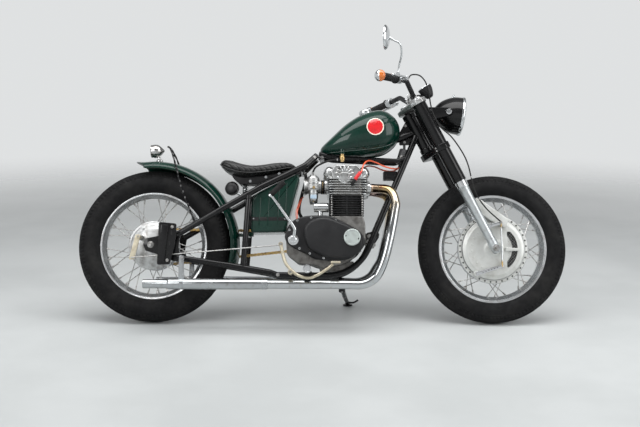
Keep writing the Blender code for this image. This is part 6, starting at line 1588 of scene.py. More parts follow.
def guard_section(offset, count=28):
    ring = []
    for k in range(count + 1):
        angle = math.pi * (k / count - 0.5)
        ring.append((math.sin(angle) * (GUARD_HALF_WIDTH - offset),
                     GUARD_RADIUS - 0.034 * (1 - math.cos(angle)) - offset))
    return ring


section = guard_section(0.0001) + guard_section(0.0036)[::-1]
rows = []
for k in range(97):
    angle = math.radians(-12.5 + 108.5 * k / 96)
    out = Vector((math.cos(angle), 0, math.sin(angle)))
    rows.append([REAR_AXLE + out * radius + ACROSS * y for y, radius in section])
for k in range(1, 11):
    share = k / 10
    angle = math.radians(96)
    out = Vector((math.cos(angle), 0, math.sin(angle)))
    back = Vector((-math.sin(angle), 0, math.cos(angle)))
    rows.append([REAR_AXLE + out * (radius + 0.0038 * share ** 1.6) + ACROSS * y
                 + back * (share * (0.042 * max(0.0, 1 - (y / GUARD_HALF_WIDTH) ** 2) - 0.012)
                           + 0.018 * share) for y, radius in section])
guard.skin(rows)
for side, index in ((-1, 0), (1, 28)):
    guard.sweep([row[index] + ACROSS * (-side * 0.002) for row in rows[:-1]], 0.0019, 8)
guard.sweep([rows[-1][k] + Vector((0.0016, 0, -0.0016)) for k in range(29)], 0.0016, 8)
guard.pillow(box_outline(0.372, 0.4047, 0.386, 0.398, 0.002), -0.018, 0.018, 0.001, 0.001)
guard.paint(1)
for y in (-0.01, 0.01):
    guard.bolt((0.3865, y, 0.3978), UP, 0.008, 0.0045)
guard.finished("mudguard_blade", [green_enamel, steel], "frame", "green_paint", ("rear_guard",), crease=40)


# Tail lamp: an aged chromed bullet shell with a ribbed red lens behind, screwed on, over a round stalk
# with a foot on the mudguard.
red_lens = uneven(Look("red_lens", (0.42, 0.01, 0.012), 0.12, Coat_Weight=0.8, Coat_Roughness=0.04,
                       Transmission_Weight=0.35), 60, 0.08, 0.2)
worn(red_lens, 80, 0.4, 0.8, (0.46, 0.01, 0.012), (0.3, 0.006, 0.008))
aged_chrome = uneven(Look("aged_chrome", (0.5, 0.51, 0.51), 0.18, 1.0), 60, 0.1, 0.36)
worn(aged_chrome, 85, 0.4, 0.72, (0.54, 0.545, 0.545), (0.22, 0.19, 0.16))
aged_chrome.bump(aged_chrome.noise(420, 4), 0.0003, 0.25)
lamp = Shape()
centre = Vector((0.004, 0, GUARD_TOP_Z + 0.0485))
bullet = mm((-29.5, 23.5), (-29, 27.2), (-27, 29), (-23.5, 29), (-22.5, 28.2), (-15, 30.2), (-8, 30.8),
            (0, 29.5), (8, 26.2), (15, 20.8), (21, 15), (26, 9.5), (30, 5.2), (31.8, 3), (32, 1))
lamp.turn(bullet, centre, (1, 0, 0.05), 56)
lamp.bar((0.014, 0, GUARD_TOP_Z + 0.0035), (0.01, 0, centre.z - 0.012), 0.0078, 24)
lamp.turn(mm((0.6, 15.8), (4, 16), (6, 15.5), (8.5, 11.8), (10.5, 8.5)), (0.014, 0, GUARD_TOP_Z), UP, 36)
lamp.paint(1)
lens = [(-0.0292, 0.0234)] + [(-0.0292 - 0.0007 * (k % 2), 0.0232 - 0.0022 * k) for k in range(10)] + [(-0.03,
        0.0005)]
lamp.turn(lens, centre, (1, 0, 0.05), 56)
lamp.paint(2)
for z in (-0.0255, 0.0255):
    lamp.turn(mm((0, 2.2), (0.8, 2), (0.8, 0.8), (0.3, 0.6)), centre + Vector((-0.0286 - z * 0.05, 0, z)),
              (-1, 0, -0.05), 12)
lamp.finished("tail_lamp_bullet", [aged_chrome, red_lens, steel], "frame", "chrome", ("tail_lamp",),
              crease=36)


# Oil tank: a folded steel box under the seat with pressed creases, painted dark green. A lug behind and
# a black strap with two screws hold it, and a chromed cap closes the filler.
oil = Shape()
outline = [(POST_X + x, z) for x, z in ((0.022, 0.398), (0.175, 0.402), (0.201, 0.5), (0.237, 0.64),
                                        (0.233, 0.664), (0.205, 0.652), (0.045, 0.572), (0.025, 0.545))]
oil.pillow(rounded(outline, 0.014), -0.094, 0.07, 0.0105, 0.0105)
for x, z_low, z_high in ((0.474, 0.42, 0.56), (0.512, 0.422, 0.59), (0.556, 0.425, 0.612),
                         (0.59, 0.47, 0.628)):
    oil.sweep([(x, -0.0936, z_low), (x, -0.094, z_low + 0.01), (x + 0.006, -0.094, z_high - 0.01),
               (x + 0.006, -0.0936, z_high)], [0.0004, 0.0022, 0.0022, 0.0004], 10)
oil.pillow(box_outline(POST_X + 0.0103, POST_X + 0.03, 0.387, 0.404, 0.003), -0.02, 0.02, 0.001, 0.001)
oil.paint(1)
strap = [(POST_X + 0.0235, 0.452), (POST_X + 0.1865, 0.452), (POST_X + 0.19, 0.468), (POST_X + 0.0235, 0.468)]
oil.pillow(rounded(strap, 0.003), -0.0925, -0.0948, 0.0005)
oil.paint(2)
oil.bolt((0.45, -0.0945, 0.46), -ACROSS, 0.007, 0.003, washer=False)
oil.bolt((0.588, -0.0945, 0.46), -ACROSS, 0.007, 0.003, washer=False)
oil.turn(mm((-6, 12), (0.6, 14.5), (2, 14.5), (2.2, 12.5), (2.8, 12.5)), (0.57, -0.012, 0.628),
         Vector((-0.42, 0, 1)), 36)
oil.finished("oil_tank_box", [green_enamel, black_rubber, chrome], "frame", "green_paint", ("oil_tank",))


# Breather hose: black rubber hose from the gearbox up to the frame's cross tube, held by steel clips.
# Two thin orange wires run beside the carburettors.
orange_lead = uneven(Look("orange_lead", (0.78, 0.13, 0.05), 0.42), 80, 0.34, 0.55)
worn(orange_lead, 60, 0.4, 0.8, (0.8, 0.13, 0.05), (0.58, 0.08, 0.035))
orange_lead.bump(orange_lead.noise(500, 2), 0.0002, 0.15)
hose = Shape()
way = flowing(mm((670, -22, 458.5), (660, -21, 474), (650, -20, 496), (651, -18, 530), (661, -17, 572),
                 (673, -15, 616), (679, -13, 648), (677, -12, 668), (671, -12, 676)), 6)
hose.sweep(way, 0.0072, 18)
hose.paint(1)
for k in (1, 26, -3):
    hose.turn(mm((-3.5, 7), (-3, 8), (3, 8), (3.5, 7)), way[k], way[k + 1] - way[k - 1], 20)
hose.paint(2)
for shift in (0.0, 0.006):
    hose.sweep(flowing([(0.664 + shift, -0.0235, 0.566), (0.658 + shift, -0.04, 0.556),
                        (0.646 + shift, -0.066, 0.524), (0.637 + shift, -0.082, 0.49),
                        (0.64 + shift, -0.086, 0.455)], 6), 0.0016, 8)
hose.finished("breather_hose", [black_rubber, steel, orange_lead], "frame", "rubber", crease=36)


# Horn: a pressed steel dome with a rolled rim, painted black, on a bright rod arm that is bolted to
# the cross tube under the seat.
horn = Shape()
horn_at = Vector((0.35, -0.07, 0.598))
horn_axis = Vector((-0.25, -1, 0.1)).normalized()
dome = mm((-16, 11), (-15.5, 14), (-12.5, 28.5), (-11, 30.6), (-6, 31.4), (-2, 31.9), (2, 31.9), (3.5, 30),
          (4.5, 30), (10, 27.8), (14.5, 23.8), (17.5, 18.5), (19.2, 12.5), (19.7, 6), (19.8, 0.5))
horn.turn(dome, horn_at, horn_axis, 56)
horn.paint(1)
arm_end = Vector((0.405 - 0.0103, -0.06, 0.564))
horn.sweep(flowing([horn_at + Vector((0.004, 0.01, -0.004)), horn_at + Vector((0.022, 0.012, -0.018)),
                    arm_end], 8), 0.0058, 14)
horn.bolt(horn_at - horn_axis * 0.015, -horn_axis, 0.01, 0.001)
for spot in (horn_at + Vector((0.022, 0.012, -0.018)), horn_at + Vector((0.034, 0.011, -0.026))):
    horn.turn(mm((-5.5, 5.2), (-5, 6), (5, 6), (5.5, 5.2)), spot, (0.85, 0, -0.6), 18)
horn.paint(2)
horn.hoop(horn_at + horn_axis * 0.003, horn_axis, 0.0306, 0.0008, 56)
horn.finished("horn_dome", [satin_black, chrome, steel], "frame", "grey_case", ("horn",))


# Ignition coil: a grey painted can with folded ends, hung under the backbone on a short post and held
# by a steel band.
grey_case = uneven(Look("grey_case", (0.1, 0.1, 0.105), 0.42), 60, 0.32, 0.55)
worn(grey_case, 26, 0.35, 0.75, (0.075, 0.076, 0.08), (0.15, 0.15, 0.15))
grey_case.bump(grey_case.noise(700, 3), 0.0002, 0.25)
COIL_LOW = BACKBONE_HEAD + Vector((-0.072, 0, -0.15))
COIL_AXIS = Vector((0.285, 0, 0.959)).normalized()
coil = Shape()
coil.turn(mm((0, 15), (2, 19.6), (3.5, 20.6), (9.5, 20.6), (10, 19.6), (11, 19.6), (11.5, 20.8), (68, 20.8),
             (70, 20.4), (72.5, 18), (74.5, 14)), COIL_LOW, COIL_AXIS, 48)
coil.sweep([(COIL_LOW.x + 0.021, 0, COIL_LOW.z + 0.064), (COIL_LOW.x + 0.021, 0, BACKBONE_HEAD.z - 0.0603)],
           0.0058, 14)
coil.paint(1)
coil.turn(mm((30, 20.6), (30.5, 21), (41.5, 21), (42, 20.6)), COIL_LOW, COIL_AXIS, 48)
coil.turn([(-0.0001, 0.0075), (0.001, 0.008)], COIL_LOW, COIL_AXIS, 24)
coil.finished("coil_can", [grey_case, steel], "frame", "grey_case", ("ignition_coil",))


# Regulator: a cast alloy box with cooling fins, painted black, on the cross bar between the downtubes.
# Two screws close its right side.
regulator = Shape()
bar_at = downtube_at(0.664)
front = bar_at.x - 0.0083
back = front - 0.0626
pitch = 0.038 / 5
regulator.tablet(rounded([(back + 0.004, -0.028), (front - 0.004, -0.028), (front - 0.004, 0.028),
                          (back + 0.004, 0.028)], 0.003), bar_at.z - 0.018, bar_at.z + 0.02, 0.001, 0.001)
for k in range(5):
    low = bar_at.z - 0.018 + pitch * (k + 0.275)
    regulator.tablet(rounded([(back, -0.032), (front, -0.032), (front, 0.032), (back, 0.032)], 0.003), low,
                     low + pitch * 0.45, 0.0007, 0.0007)
regulator.paint(1)
for x in (back + 0.012, front - 0.012):
    regulator.screw((x, -0.0278, bar_at.z + 0.001), -ACROSS, 0.0026, 0.0035)
regulator.finished("regulator_box", [satin_black, steel], "frame", "satin_black", ("regulator",))


# Plug leads: orange-red insulated wires from the coil, with black boots there and red moulded caps
# pushed on the two plugs.
red_boot = uneven(Look("red_boot", (0.62, 0.018, 0.022), 0.4), 80, 0.3, 0.5)
worn(red_boot, 60, 0.4, 0.8, (0.66, 0.018, 0.022), (0.46, 0.012, 0.016))
red_boot.bump(red_boot.noise(500, 2), 0.0002, 0.12)
leads = Shape()
for side in (-1, 1):
    face = side * 0.1323
    cap_points = flowing([(0.886, face, 0.612), (0.886, face + side * 0.01, 0.612),
                          (0.897, face + side * 0.016, 0.63), (0.914, face + side * 0.012, 0.654),
                          (0.922, side * 0.138, 0.664)], 6)
    leads.paint(2)
    leads.sweep(cap_points[:14], [0.0066 if k % 3 else 0.0076 for k in range(14)], 18)
    leads.paint(1)
    leads.sweep(cap_points[12:], [0.0079] * (len(cap_points) - 14) + [0.0066, 0.0052], 18)
    lead = flowing([cap_points[-2], (0.927, side * 0.134, 0.67), (0.936, side * 0.12, 0.7),
                    (0.958, side * 0.088, 0.722), (0.994, side * 0.066, 0.717), (1.028, side * 0.06, 0.702),
                    (1.062, side * 0.05, 0.694), (1.085, side * 0.028, 0.695), COIL_LOW - COIL_AXIS * 0.012,
                    COIL_LOW - COIL_AXIS * 0.0004], 7)
    leads.paint(0)
    leads.sweep(lead, 0.0034, 12)
leads.paint(2)
leads.turn(mm((-13.5, 4.2), (-12, 5.8), (-0.4, 6)), COIL_LOW, COIL_AXIS, 20)
leads.finished("plug_leads_and_caps", [orange_lead, red_boot, black_rubber], "frame", "orange_lead",
               ("ignition_leads",), crease=50)


# Fuel tap: turned brass with a hexagon and a small lever, screwed into the tank's boss. A black rubber
# hose with two steel clips leads down to the carburettors.
tap = Shape()
tap_top = Vector((0.842, -0.085, 0.752))
tap.turn(mm((-36, 6), (-34.5, 7.8), (-30, 8.2), (-29.5, 11.2), (-28, 11.9), (-12, 11.9), (-10.5, 11),
            (-10, 8.8), (-0.4, 8.8)), tap_top, UP, 32)
tap.bolt(tap_top - UP * 0.008, UP, 0.017, 0.005, washer=False)
tap.bar(tap_top + Vector((0, -0.006, -0.02)), tap_top + Vector((0, -0.0118, -0.02)), 0.0046)
tap.bar(tap_top + Vector((-0.002, -0.0104, -0.02)), tap_top + Vector((0.01, -0.0104, -0.0215)), 0.0016)
tap.paint(1)
hose = flowing([tap_top - UP * 0.026, (0.805, -0.087, 0.725), (0.765, -0.088, 0.715), (0.726, -0.08, 0.695),
                (0.712, -0.072, 0.6723), (0.712, -0.072, 0.6603)], 8)
tap.sweep(hose, 0.0044, 14)
tap.paint(2)
for spot, axis in ((hose[5], hose[6] - hose[4]), (hose[-6], hose[-5] - hose[-7])):
    tap.turn(mm((-2, 4.5), (-1.8, 5.2), (1.8, 5.2), (2, 4.5)), spot, axis, 18)
tap.finished("tap_and_hose", [brass, black_rubber, steel], "frame", "brass", ("fuel_tap",))


# Kick lever: a forged and chromed cranked arm, pinched on its splined boss at the right cover. The
# ribbed rubber sleeve is pushed on the arm's end.
kick = Shape()
arm_y = -0.165 - 0.047
kick.turn(mm((0, 15), (1, 16), (46, 16), (47, 15), (47.5, 13), (56, 13), (57, 11.5)),
          (0.628, -0.1653, 0.362), -ACROSS, 40)
arm = flowing([(0.628, arm_y, 0.362), (0.634, arm_y - 0.006, 0.388), (0.632, arm_y - 0.012, 0.412),
               (0.594, arm_y - 0.02, 0.466), (0.533, arm_y - 0.03, 0.55)], 8)
kick.sweep(arm, [0.0084 - 0.0022 * k / (len(arm) - 1) for k in range(len(arm))], 20)
kick.turn(mm((-9, 8.2), (-7, 9.5), (7, 9.5), (9, 8.2)), (0.533, arm_y - 0.0302, 0.55), (0.62, -0.1, 0.58), 28)
kick.paint(1)
start = Vector((0.53, arm_y - 0.0304, 0.548))
end = Vector((0.59, arm_y - 0.04, 0.604))
reach = end - start


def ribs(count, pitch, *rib):
    """One rib's profile, repeated along a rubber."""
    return [(along + k * pitch, radius) for k in range(count) for along, radius in rib]


sleeve = ribs(16, 0.0045, (0.008, 0.0124), (0.0098, 0.0124), (0.0102, 0.0114), (0.0118, 0.0114))
kick.turn([(0.004, 0.01), (0.0045, 0.0118)] + sleeve + [(reach.length - 0.0012, 0.012),
        (reach.length, 0.0105)], start, reach, 32)
kick.paint(2)
kick.bolt((0.641, arm_y - 0.001, 0.372), (0.7, 0, 0.7), 0.008, 0.006)
kick.finished("kick_lever_arm", [chrome, black_rubber, steel], "frame", "chrome", ("kick_lever",))


# Brake pedal: an arm cast in champagne-toned alloy with round bosses and a ribbed pad, on a pivot at
# the right rail. A long bare steel rod with a spring pulls the rear brake's arm.
champagne = uneven(Look("champagne_casting", (0.56, 0.51, 0.38), 0.42, 0.7), 60, 0.32, 0.52)
worn(champagne, 60, 0.35, 0.8, (0.58, 0.53, 0.41), (0.38, 0.33, 0.24))
champagne.bump(champagne.cells(900), 0.0003, 0.2)
pedal = Shape()
path = flowing(mm((575, -200, 345), (582, -206, 308), (596, -218, 262), (618, -224, 232), (652, -228, 206),
                  (694, -230, 195), (726, -230, 204), (768, -229, 229), (800, -226, 254)), 8)
radii = [0.0074 - 0.0014 * (k / (len(path) - 1)) for k in range(len(path))]
pedal.sweep(path, radii, 18)
pedal.tablet(rounded([(0.79, -0.246), (0.832, -0.246), (0.832, -0.208), (0.79, -0.208)], 0.006), 0.2582,
             0.2655, 0.001, 0.001)
for k in range(5):
    x = 0.795 + k * 0.008
    pedal.tablet(rounded([(x, -0.243), (x + 0.004, -0.243), (x + 0.004, -0.211), (x, -0.211)], 0.001), 0.265,
                 0.2678, 0.0008)
pedal.turn(mm((0, 10.5), (1, 11), (30, 11), (34, 8.8), (60, 8.8), (64, 11), (84.5, 11), (85.7, 10)),
           (0.618, -0.1503, 0.22), -ACROSS, 36)
for x, y, z, radius in ((0.575, -0.2, 0.341, 0.01), (0.5835, -0.207, 0.303, 0.0088)):
    pedal.turn([(-0.007, radius - 0.001), (-0.006, radius), (0.006, radius), (0.007, radius - 0.001)],
               (x, y, z), ACROSS, 32)
pedal.paint(1)
knee = Vector((0.18, -0.1415, REAR_AXLE.z - 0.037))
rod_end = Vector((-0.082, -0.1358, REAR_AXLE.z - 0.0585))
pedal.sweep([(0.576, -0.2, 0.338), knee.lerp(Vector((0.576, -0.2, 0.338)), 0.03), knee.lerp(rod_end, 0.03),
             rod_end], 0.0028, 12)
pedal.bolt((0.575, -0.2065, 0.341), -ACROSS, 0.008, 0.004)
pedal.bolt((0.618, -0.2355, 0.22), -ACROSS, 0.01, 0.001, washer=False)
along = (rod_end - knee).normalized()
pedal.turn(mm((-20, 2.4), (-19, 3), (-1, 3), (0, 2.4)), rod_end, along, 14)
pedal.spring(rod_end - along * 0.04, rod_end - along * 0.014, 0.0026, 0.0004, 14, 6)
pedal.finished("brake_pedal_casting", [champagne, steel], "frame", "champagne_alloy", ("brake_pedal",))


# Foot pegs: ringed rubber sleeves over steel pins in the frame's bosses, closed by polished alloy
# ends.
for name, side in (("right", -1), ("left", 1)):
    peg = Shape()
    base = (0.69, side * 0.1503, 0.232)
    rings = ribs(15, 0.007, (0.016, 0.0164), (0.0195, 0.0164), (0.0203, 0.015), (0.022, 0.015))
    peg.turn([(0.014, 0.0148)] + rings + [(0.124, 0.016), (0.1245, 0.014)], base, ACROSS * side, 36)
    peg.paint(1)
    peg.turn(mm((0, 13), (1, 13.9), (10, 13.9), (13.5, 14.5), (14.5, 12)), base, ACROSS * side, 36)
    peg.turn(mm((124.5, 16), (125.5, 17.8), (136, 17.8), (137.5, 16.5), (137.8, 12), (136.8, 11), (136.8, 1)),
             base, ACROSS * side, 48)
    peg.finished("peg_rubber_" + name, [black_rubber, polished_alloy], "frame", "rubber",
                 ("foot_peg_" + name,))


# Gear lever: a bent and chromed steel rod, pinched on its turned shaft at the left cover. A ribbed
# rubber toe piece is pushed on its end.
gear = Shape()
gear.turn(mm((0, 7.2), (0.5, 8), (42.5, 8), (43, 7.2)), (0.716, 0.153, 0.3), ACROSS, 28)
gear.sweep(flowing([(0.716, 0.19, 0.3), (0.76, 0.196, 0.292), (0.822, 0.2, 0.286)], 8), 0.0058, 18)
gear.paint(1)
rings = ribs(8, 0.005, (0.003, 0.0089), (0.0052, 0.0089), (0.0058, 0.008), (0.0072, 0.008))
gear.turn([(0.001, 0.0075)] + rings + [(0.045, 0.0088), (0.0458, 0.0075)], (0.822, 0.1922, 0.286), ACROSS, 28)
gear.paint(2)
gear.bolt((0.716, 0.1948, 0.3), ACROSS, 0.008, 0.0012, washer=False)
gear.finished("gear_lever_arm", [chrome, black_rubber, steel], "frame", "chrome", ("gear_lever",))


# Rear brake plate: turned and polished alloy with a long boss, fixed against the axle plate. Its cam
# carries a champagne-toned arm that the brake rod pulls.
drum = Shape()
drum.turn(mm((49, 8.8), (49, 107), (50, 108), (52, 107.8), (53, 106), (54.5, 99), (56, 97.5), (59, 88),
             (62.5, 78), (65, 74), (66.5, 62), (67.2, 60), (68.5, 40), (69, 31), (72, 29), (105, 26),
             (105.7, 25), (105.7, 8.8)), REAR_AXLE, -ACROSS, 96, loop=True)
cam = Vector((-0.052, 0, REAR_AXLE.z + 0.0345))
drum.turn(mm((55, 15), (66, 14), (68, 12), (90, 11)), cam, -ACROSS, 32)
for k in range(4):
    angle = math.radians(30 + 90 * k)
    drum.turn(mm((56, 6), (62.5, 5.5), (63, 4.5)), around(REAR_AXLE, angle, 0.085), -ACROSS, 20)
drum.paint(1)
drum.bar((cam.x, -0.09, cam.z), (cam.x, -0.1335, cam.z), 0.0085, 24)
foot_z = rod_end.z - 0.008
drum.pillow(rounded([(cam.x - 0.012, cam.z + 0.008), (cam.x + 0.011, cam.z + 0.008), (-0.068, foot_z),
                     (-0.092, foot_z)], 0.005), -0.1262, -0.1318, 0.001, 0.001)
drum.paint(2)
drum.bolt((cam.x, -0.1325, cam.z), -ACROSS, 0.009, 0.0014, washer=False)
drum.finished("rear_drum_plate", [cast_alloy, champagne, steel], "frame", "polished_alloy",
              ("rear_brake_plate",))


# Axles: ground steel spindles through the axle plates behind and the fork feet in front, with a washer
# and a hexagon nut at each end.
for name, at, half, nut_from, body in (("rear", REAR_AXLE, 0.136, 0.1143, "frame"),
                                       ("front", FRONT_AXLE, 0.138, 0.1228, "fork")):
    axle = Shape()
    axle.turn([(-half, 0.0072), (-half + 0.0012, 0.0084), (half - 0.0012, 0.0084), (half, 0.0072)], at, ACROSS,
              32)
    for side in (-1, 1):
        axle.turn([(nut_from, 0.0138), (nut_from + 0.0002, 0.0146), (nut_from + 0.0015, 0.0146),
                   (nut_from + 0.0016, 0.012)], at, ACROSS * side, 32)
        axle.turn([(nut_from + 0.0012, 0.0136), (nut_from + 0.0085, 0.0147), (nut_from + 0.01, 0.013)], at,
                  ACROSS * side, 6)
    axle.finished(name + "_spindle_and_nuts", [steel], body, "polished_alloy", (name + "_axle",), crease=25)


# Fork legs: long covers enamelled black over silver-grey cast sliders, with a bright ring between them,
# drain and pinch bolts, and pressed ears that carry the headlamp.
FORK = Matrix((FORK_AHEAD, ACROSS, FORK_UP)).transposed().to_4x4()
FORK.translation = FRONT_AXLE

slider_alloy = uneven(Look("slider_alloy", (0.5, 0.53, 0.54), 0.36, 0.85), 45, 0.3, 0.46)
worn(slider_alloy, 30, 0.45, 0.85, (0.52, 0.55, 0.56), (0.34, 0.345, 0.34))
slider_alloy.bump(slider_alloy.noise(420, 4), 0.0002, 0.15)
FORK_HALF_TRACK = 0.1
EAR_OUTLINE = mm((3, 707.5), (114.5, 648), (111.5, 625), (91, 618), (-7, 646.5))
for name, side in (("right", -1), ("left", 1)):
    at = on_fork(0, 0, side * FORK_HALF_TRACK)
    leg = Shape()
    leg.turn(mm((306, 25.5), (333.5, 26.2), (333.5, 29.2), (334.5, 30), (345, 30), (345.5, 29.4),
                (347.5, 29.4), (348, 30), (714.5, 30), (715, 29.4), (717, 29.4), (717.5, 30), (721.5, 30),
                (722, 29)), at, FORK_UP, 64)
    leg.within(FORK)
    leg.skin([[(a, y, u) for a, u in shrunk(rounded(EAR_OUTLINE, 0.01), inset)] for y,
              inset in round_rims(side * 0.096, side * 0.101, 0.001, 0.001)])
    leg.within(Matrix())
    leg.paint(1)
    leg.turn(mm((-24, 11), (-22.5, 13.5), (-16, 19.4), (-12, 20.4), (20, 22.2), (30, 22.5), (34, 21.2),
                (60, 20.8), (240, 22.2), (290, 23.8), (299.5, 24.5), (301, 26.2), (308, 26.8), (308, 24)), at,
             FORK_UP, 56)
    leg.turn([(0, 0.019), (0.0215, 0.0188), (0.0225, 0.0178)], FRONT_AXLE + ACROSS * side * FORK_HALF_TRACK,
             ACROSS * side, 40)
    if side < 0:
        leg.bar(on_fork(0.225, 0, -0.1), on_fork(0.225, 0, -0.0703), 0.0098, 24)
    leg.paint(2)
    leg.turn(mm((307.5, 24.5), (308, 26.8), (332.5, 26.8), (333, 25)), at, FORK_UP, 56)
    leg.bolt(on_fork(0.012, -0.0195, side * FORK_HALF_TRACK), -FORK_AHEAD, 0.008, 0.0008, washer=False)
    leg.screw(on_fork(0.046, 0, side * 0.1205), ACROSS * side, 0.0042, 0.0022)
    leg.turn([(0, 0.0125), (0.0012, 0.0125), (0.0014, 0.0118)], on_fork(0.6337, 0.1026, side * 0.1008),
             ACROSS * side, 28)
    leg.bolt(on_fork(0.6337, 0.1026, side * 0.101), ACROSS * side, 0.014, 0.0065, washer=False)
    for up in (0.662, 0.676):
        leg.screw(on_fork(up, 0.035, side * 0.1008), ACROSS * side, 0.0032, 0.0018)
    leg.finished("fork_leg_" + name + "_tubes", [black_enamel, slider_alloy, polished_alloy], "fork",
                 "black_paint", ("fork_leg_" + name,), crease=38)


# Lower yoke: a steel forging in black enamel with the stem pressed in. It pinches both fork legs with
# two bolts a side.
yoke_plan = mm((34, -118), (34, 118), (14, 137), (-16, 137), (-40, 112), (-84, 30), (-92, 0), (-84, -30),
               (-40, -112), (-16, -137), (14, -137))
lower = Shape()
lower.within(FORK)
lower.tablet(rounded(yoke_plan, 0.016), 0.4902, 0.5188, 0.004, 0.004)
cutters = []
for side in (-1, 1):
    hole = Shape()
    hole.turn([(0.45, 0.0303), (0.56, 0.0303)], on_fork(0, 0, side * FORK_HALF_TRACK), FORK_UP, 48)
    cutters.append(hole)
lower.carved(*cutters)
lower.within(Matrix())
lower.turn([(0.51, 0.0138), (0.7221, 0.0138)], on_fork(0, -0.05), FORK_UP, 28)
lower.paint(1)
for side in (-1, 1):
    for up in (0.498, 0.511):
        lower.bolt(on_fork(up, -0.03, side * 0.118), Vector((0, side, 0)) - FORK_AHEAD * 0.6, 0.008, 0.005)
    lower.bolt(on_fork(0.5045, 0.0336, side * 0.07), FORK_AHEAD, 0.009, 0.0008, washer=False)
lower.finished("lower_yoke_casting", [black_enamel, steel], "fork", "black_paint", ("lower_yoke",), crease=38)


# Upper yoke: bare cast alloy over both legs, with polished caps, the stem's nut and two split clamps
# that hold the handlebar.
upper = Shape()
upper.within(FORK)
upper.tablet(rounded(yoke_plan, 0.016), 0.7228, 0.744, 0.0035, 0.003)
for side in (-1, 1):
    clamp = rounded(mm((-26, 742), (18, 742), (14, 790), (-22, 790)), 0.009)
    upper.skin([[(a, y, s) for a, s in shrunk(clamp, inset)] for y, inset in round_rims(side * 0.03,
            side * 0.058, 0.002, 0.002)])
bore = Shape()
bore.bar(on_fork(0.772, -0.004, -0.07), on_fork(0.772, -0.004, 0.07), 0.0114, 40)
upper.carved(bore)
upper.within(Matrix())
upper.paint(1)
for side in (-1, 1):
    upper.turn(mm((743.5, 20), (750, 20.4), (753, 19), (753.6, 15), (753, 11), (749, 10), (749, 1)),
               on_fork(0, 0, side * FORK_HALF_TRACK), FORK_UP, 48)
    for ahead in (-0.0185, 0.0105):
        upper.turn(mm((789.5, 4.6), (792.5, 4.6), (793.5, 4), (793.5, 2.4), (791.5, 2.2), (791.5, 0.5)),
                   on_fork(0, ahead, side * 0.044), FORK_UP, 20)
    # A thin dark sheet in each clamp's split: painted shade in the gap.
    upper.paint(2)
    upper.skin([[on_fork(up, ahead, y) for ahead, up in ((-0.0262, 0.7715), (0.0182, 0.7715), (0.018, 0.7728),
            (-0.026, 0.7728))] for y in (side * 0.0297, side * 0.0583)])
    upper.paint(1)
upper.turn(mm((743.5, 20.5), (752, 21.5), (756, 20), (757.8, 16), (757.8, 1)), on_fork(0, -0.05), FORK_UP, 6)
for side in (-1, 1):
    upper.bolt(on_fork(0.7335, -0.032, side * 0.1225), Vector((0, side, 0)) - FORK_AHEAD * 0.7, 0.008, 0.005)
upper.finished("upper_yoke_casting", [cast_alloy, polished_alloy, dark_recess], "fork", "cast_alloy",
               ("upper_yoke",), crease=38)


# Handlebar: one steel tube in satin black, bent up beside the upper yoke that clamps it and back again
# at the knees, with open ends for the signals.
BAR_MIDDLE = on_fork(0.772, -0.004)
BAR_KNEE = on_fork(0.8303, -0.0165, 0.176)
BAR_END = on_fork(0.8635, -0.1333, 0.37)
BAR_OUT = (BAR_END - BAR_KNEE).normalized()
half = bent([BAR_MIDDLE, BAR_MIDDLE + ACROSS * 0.085, BAR_KNEE, BAR_END], 0.03, 10)
handlebar = Shape()
handlebar.sweep([Vector((p.x, -p.y, p.z)) for p in reversed(half[1:])] + half, 0.01105, 24)
handlebar.finished("handlebar_tube", [satin_black], "fork", "satin_black", ("handlebar",))


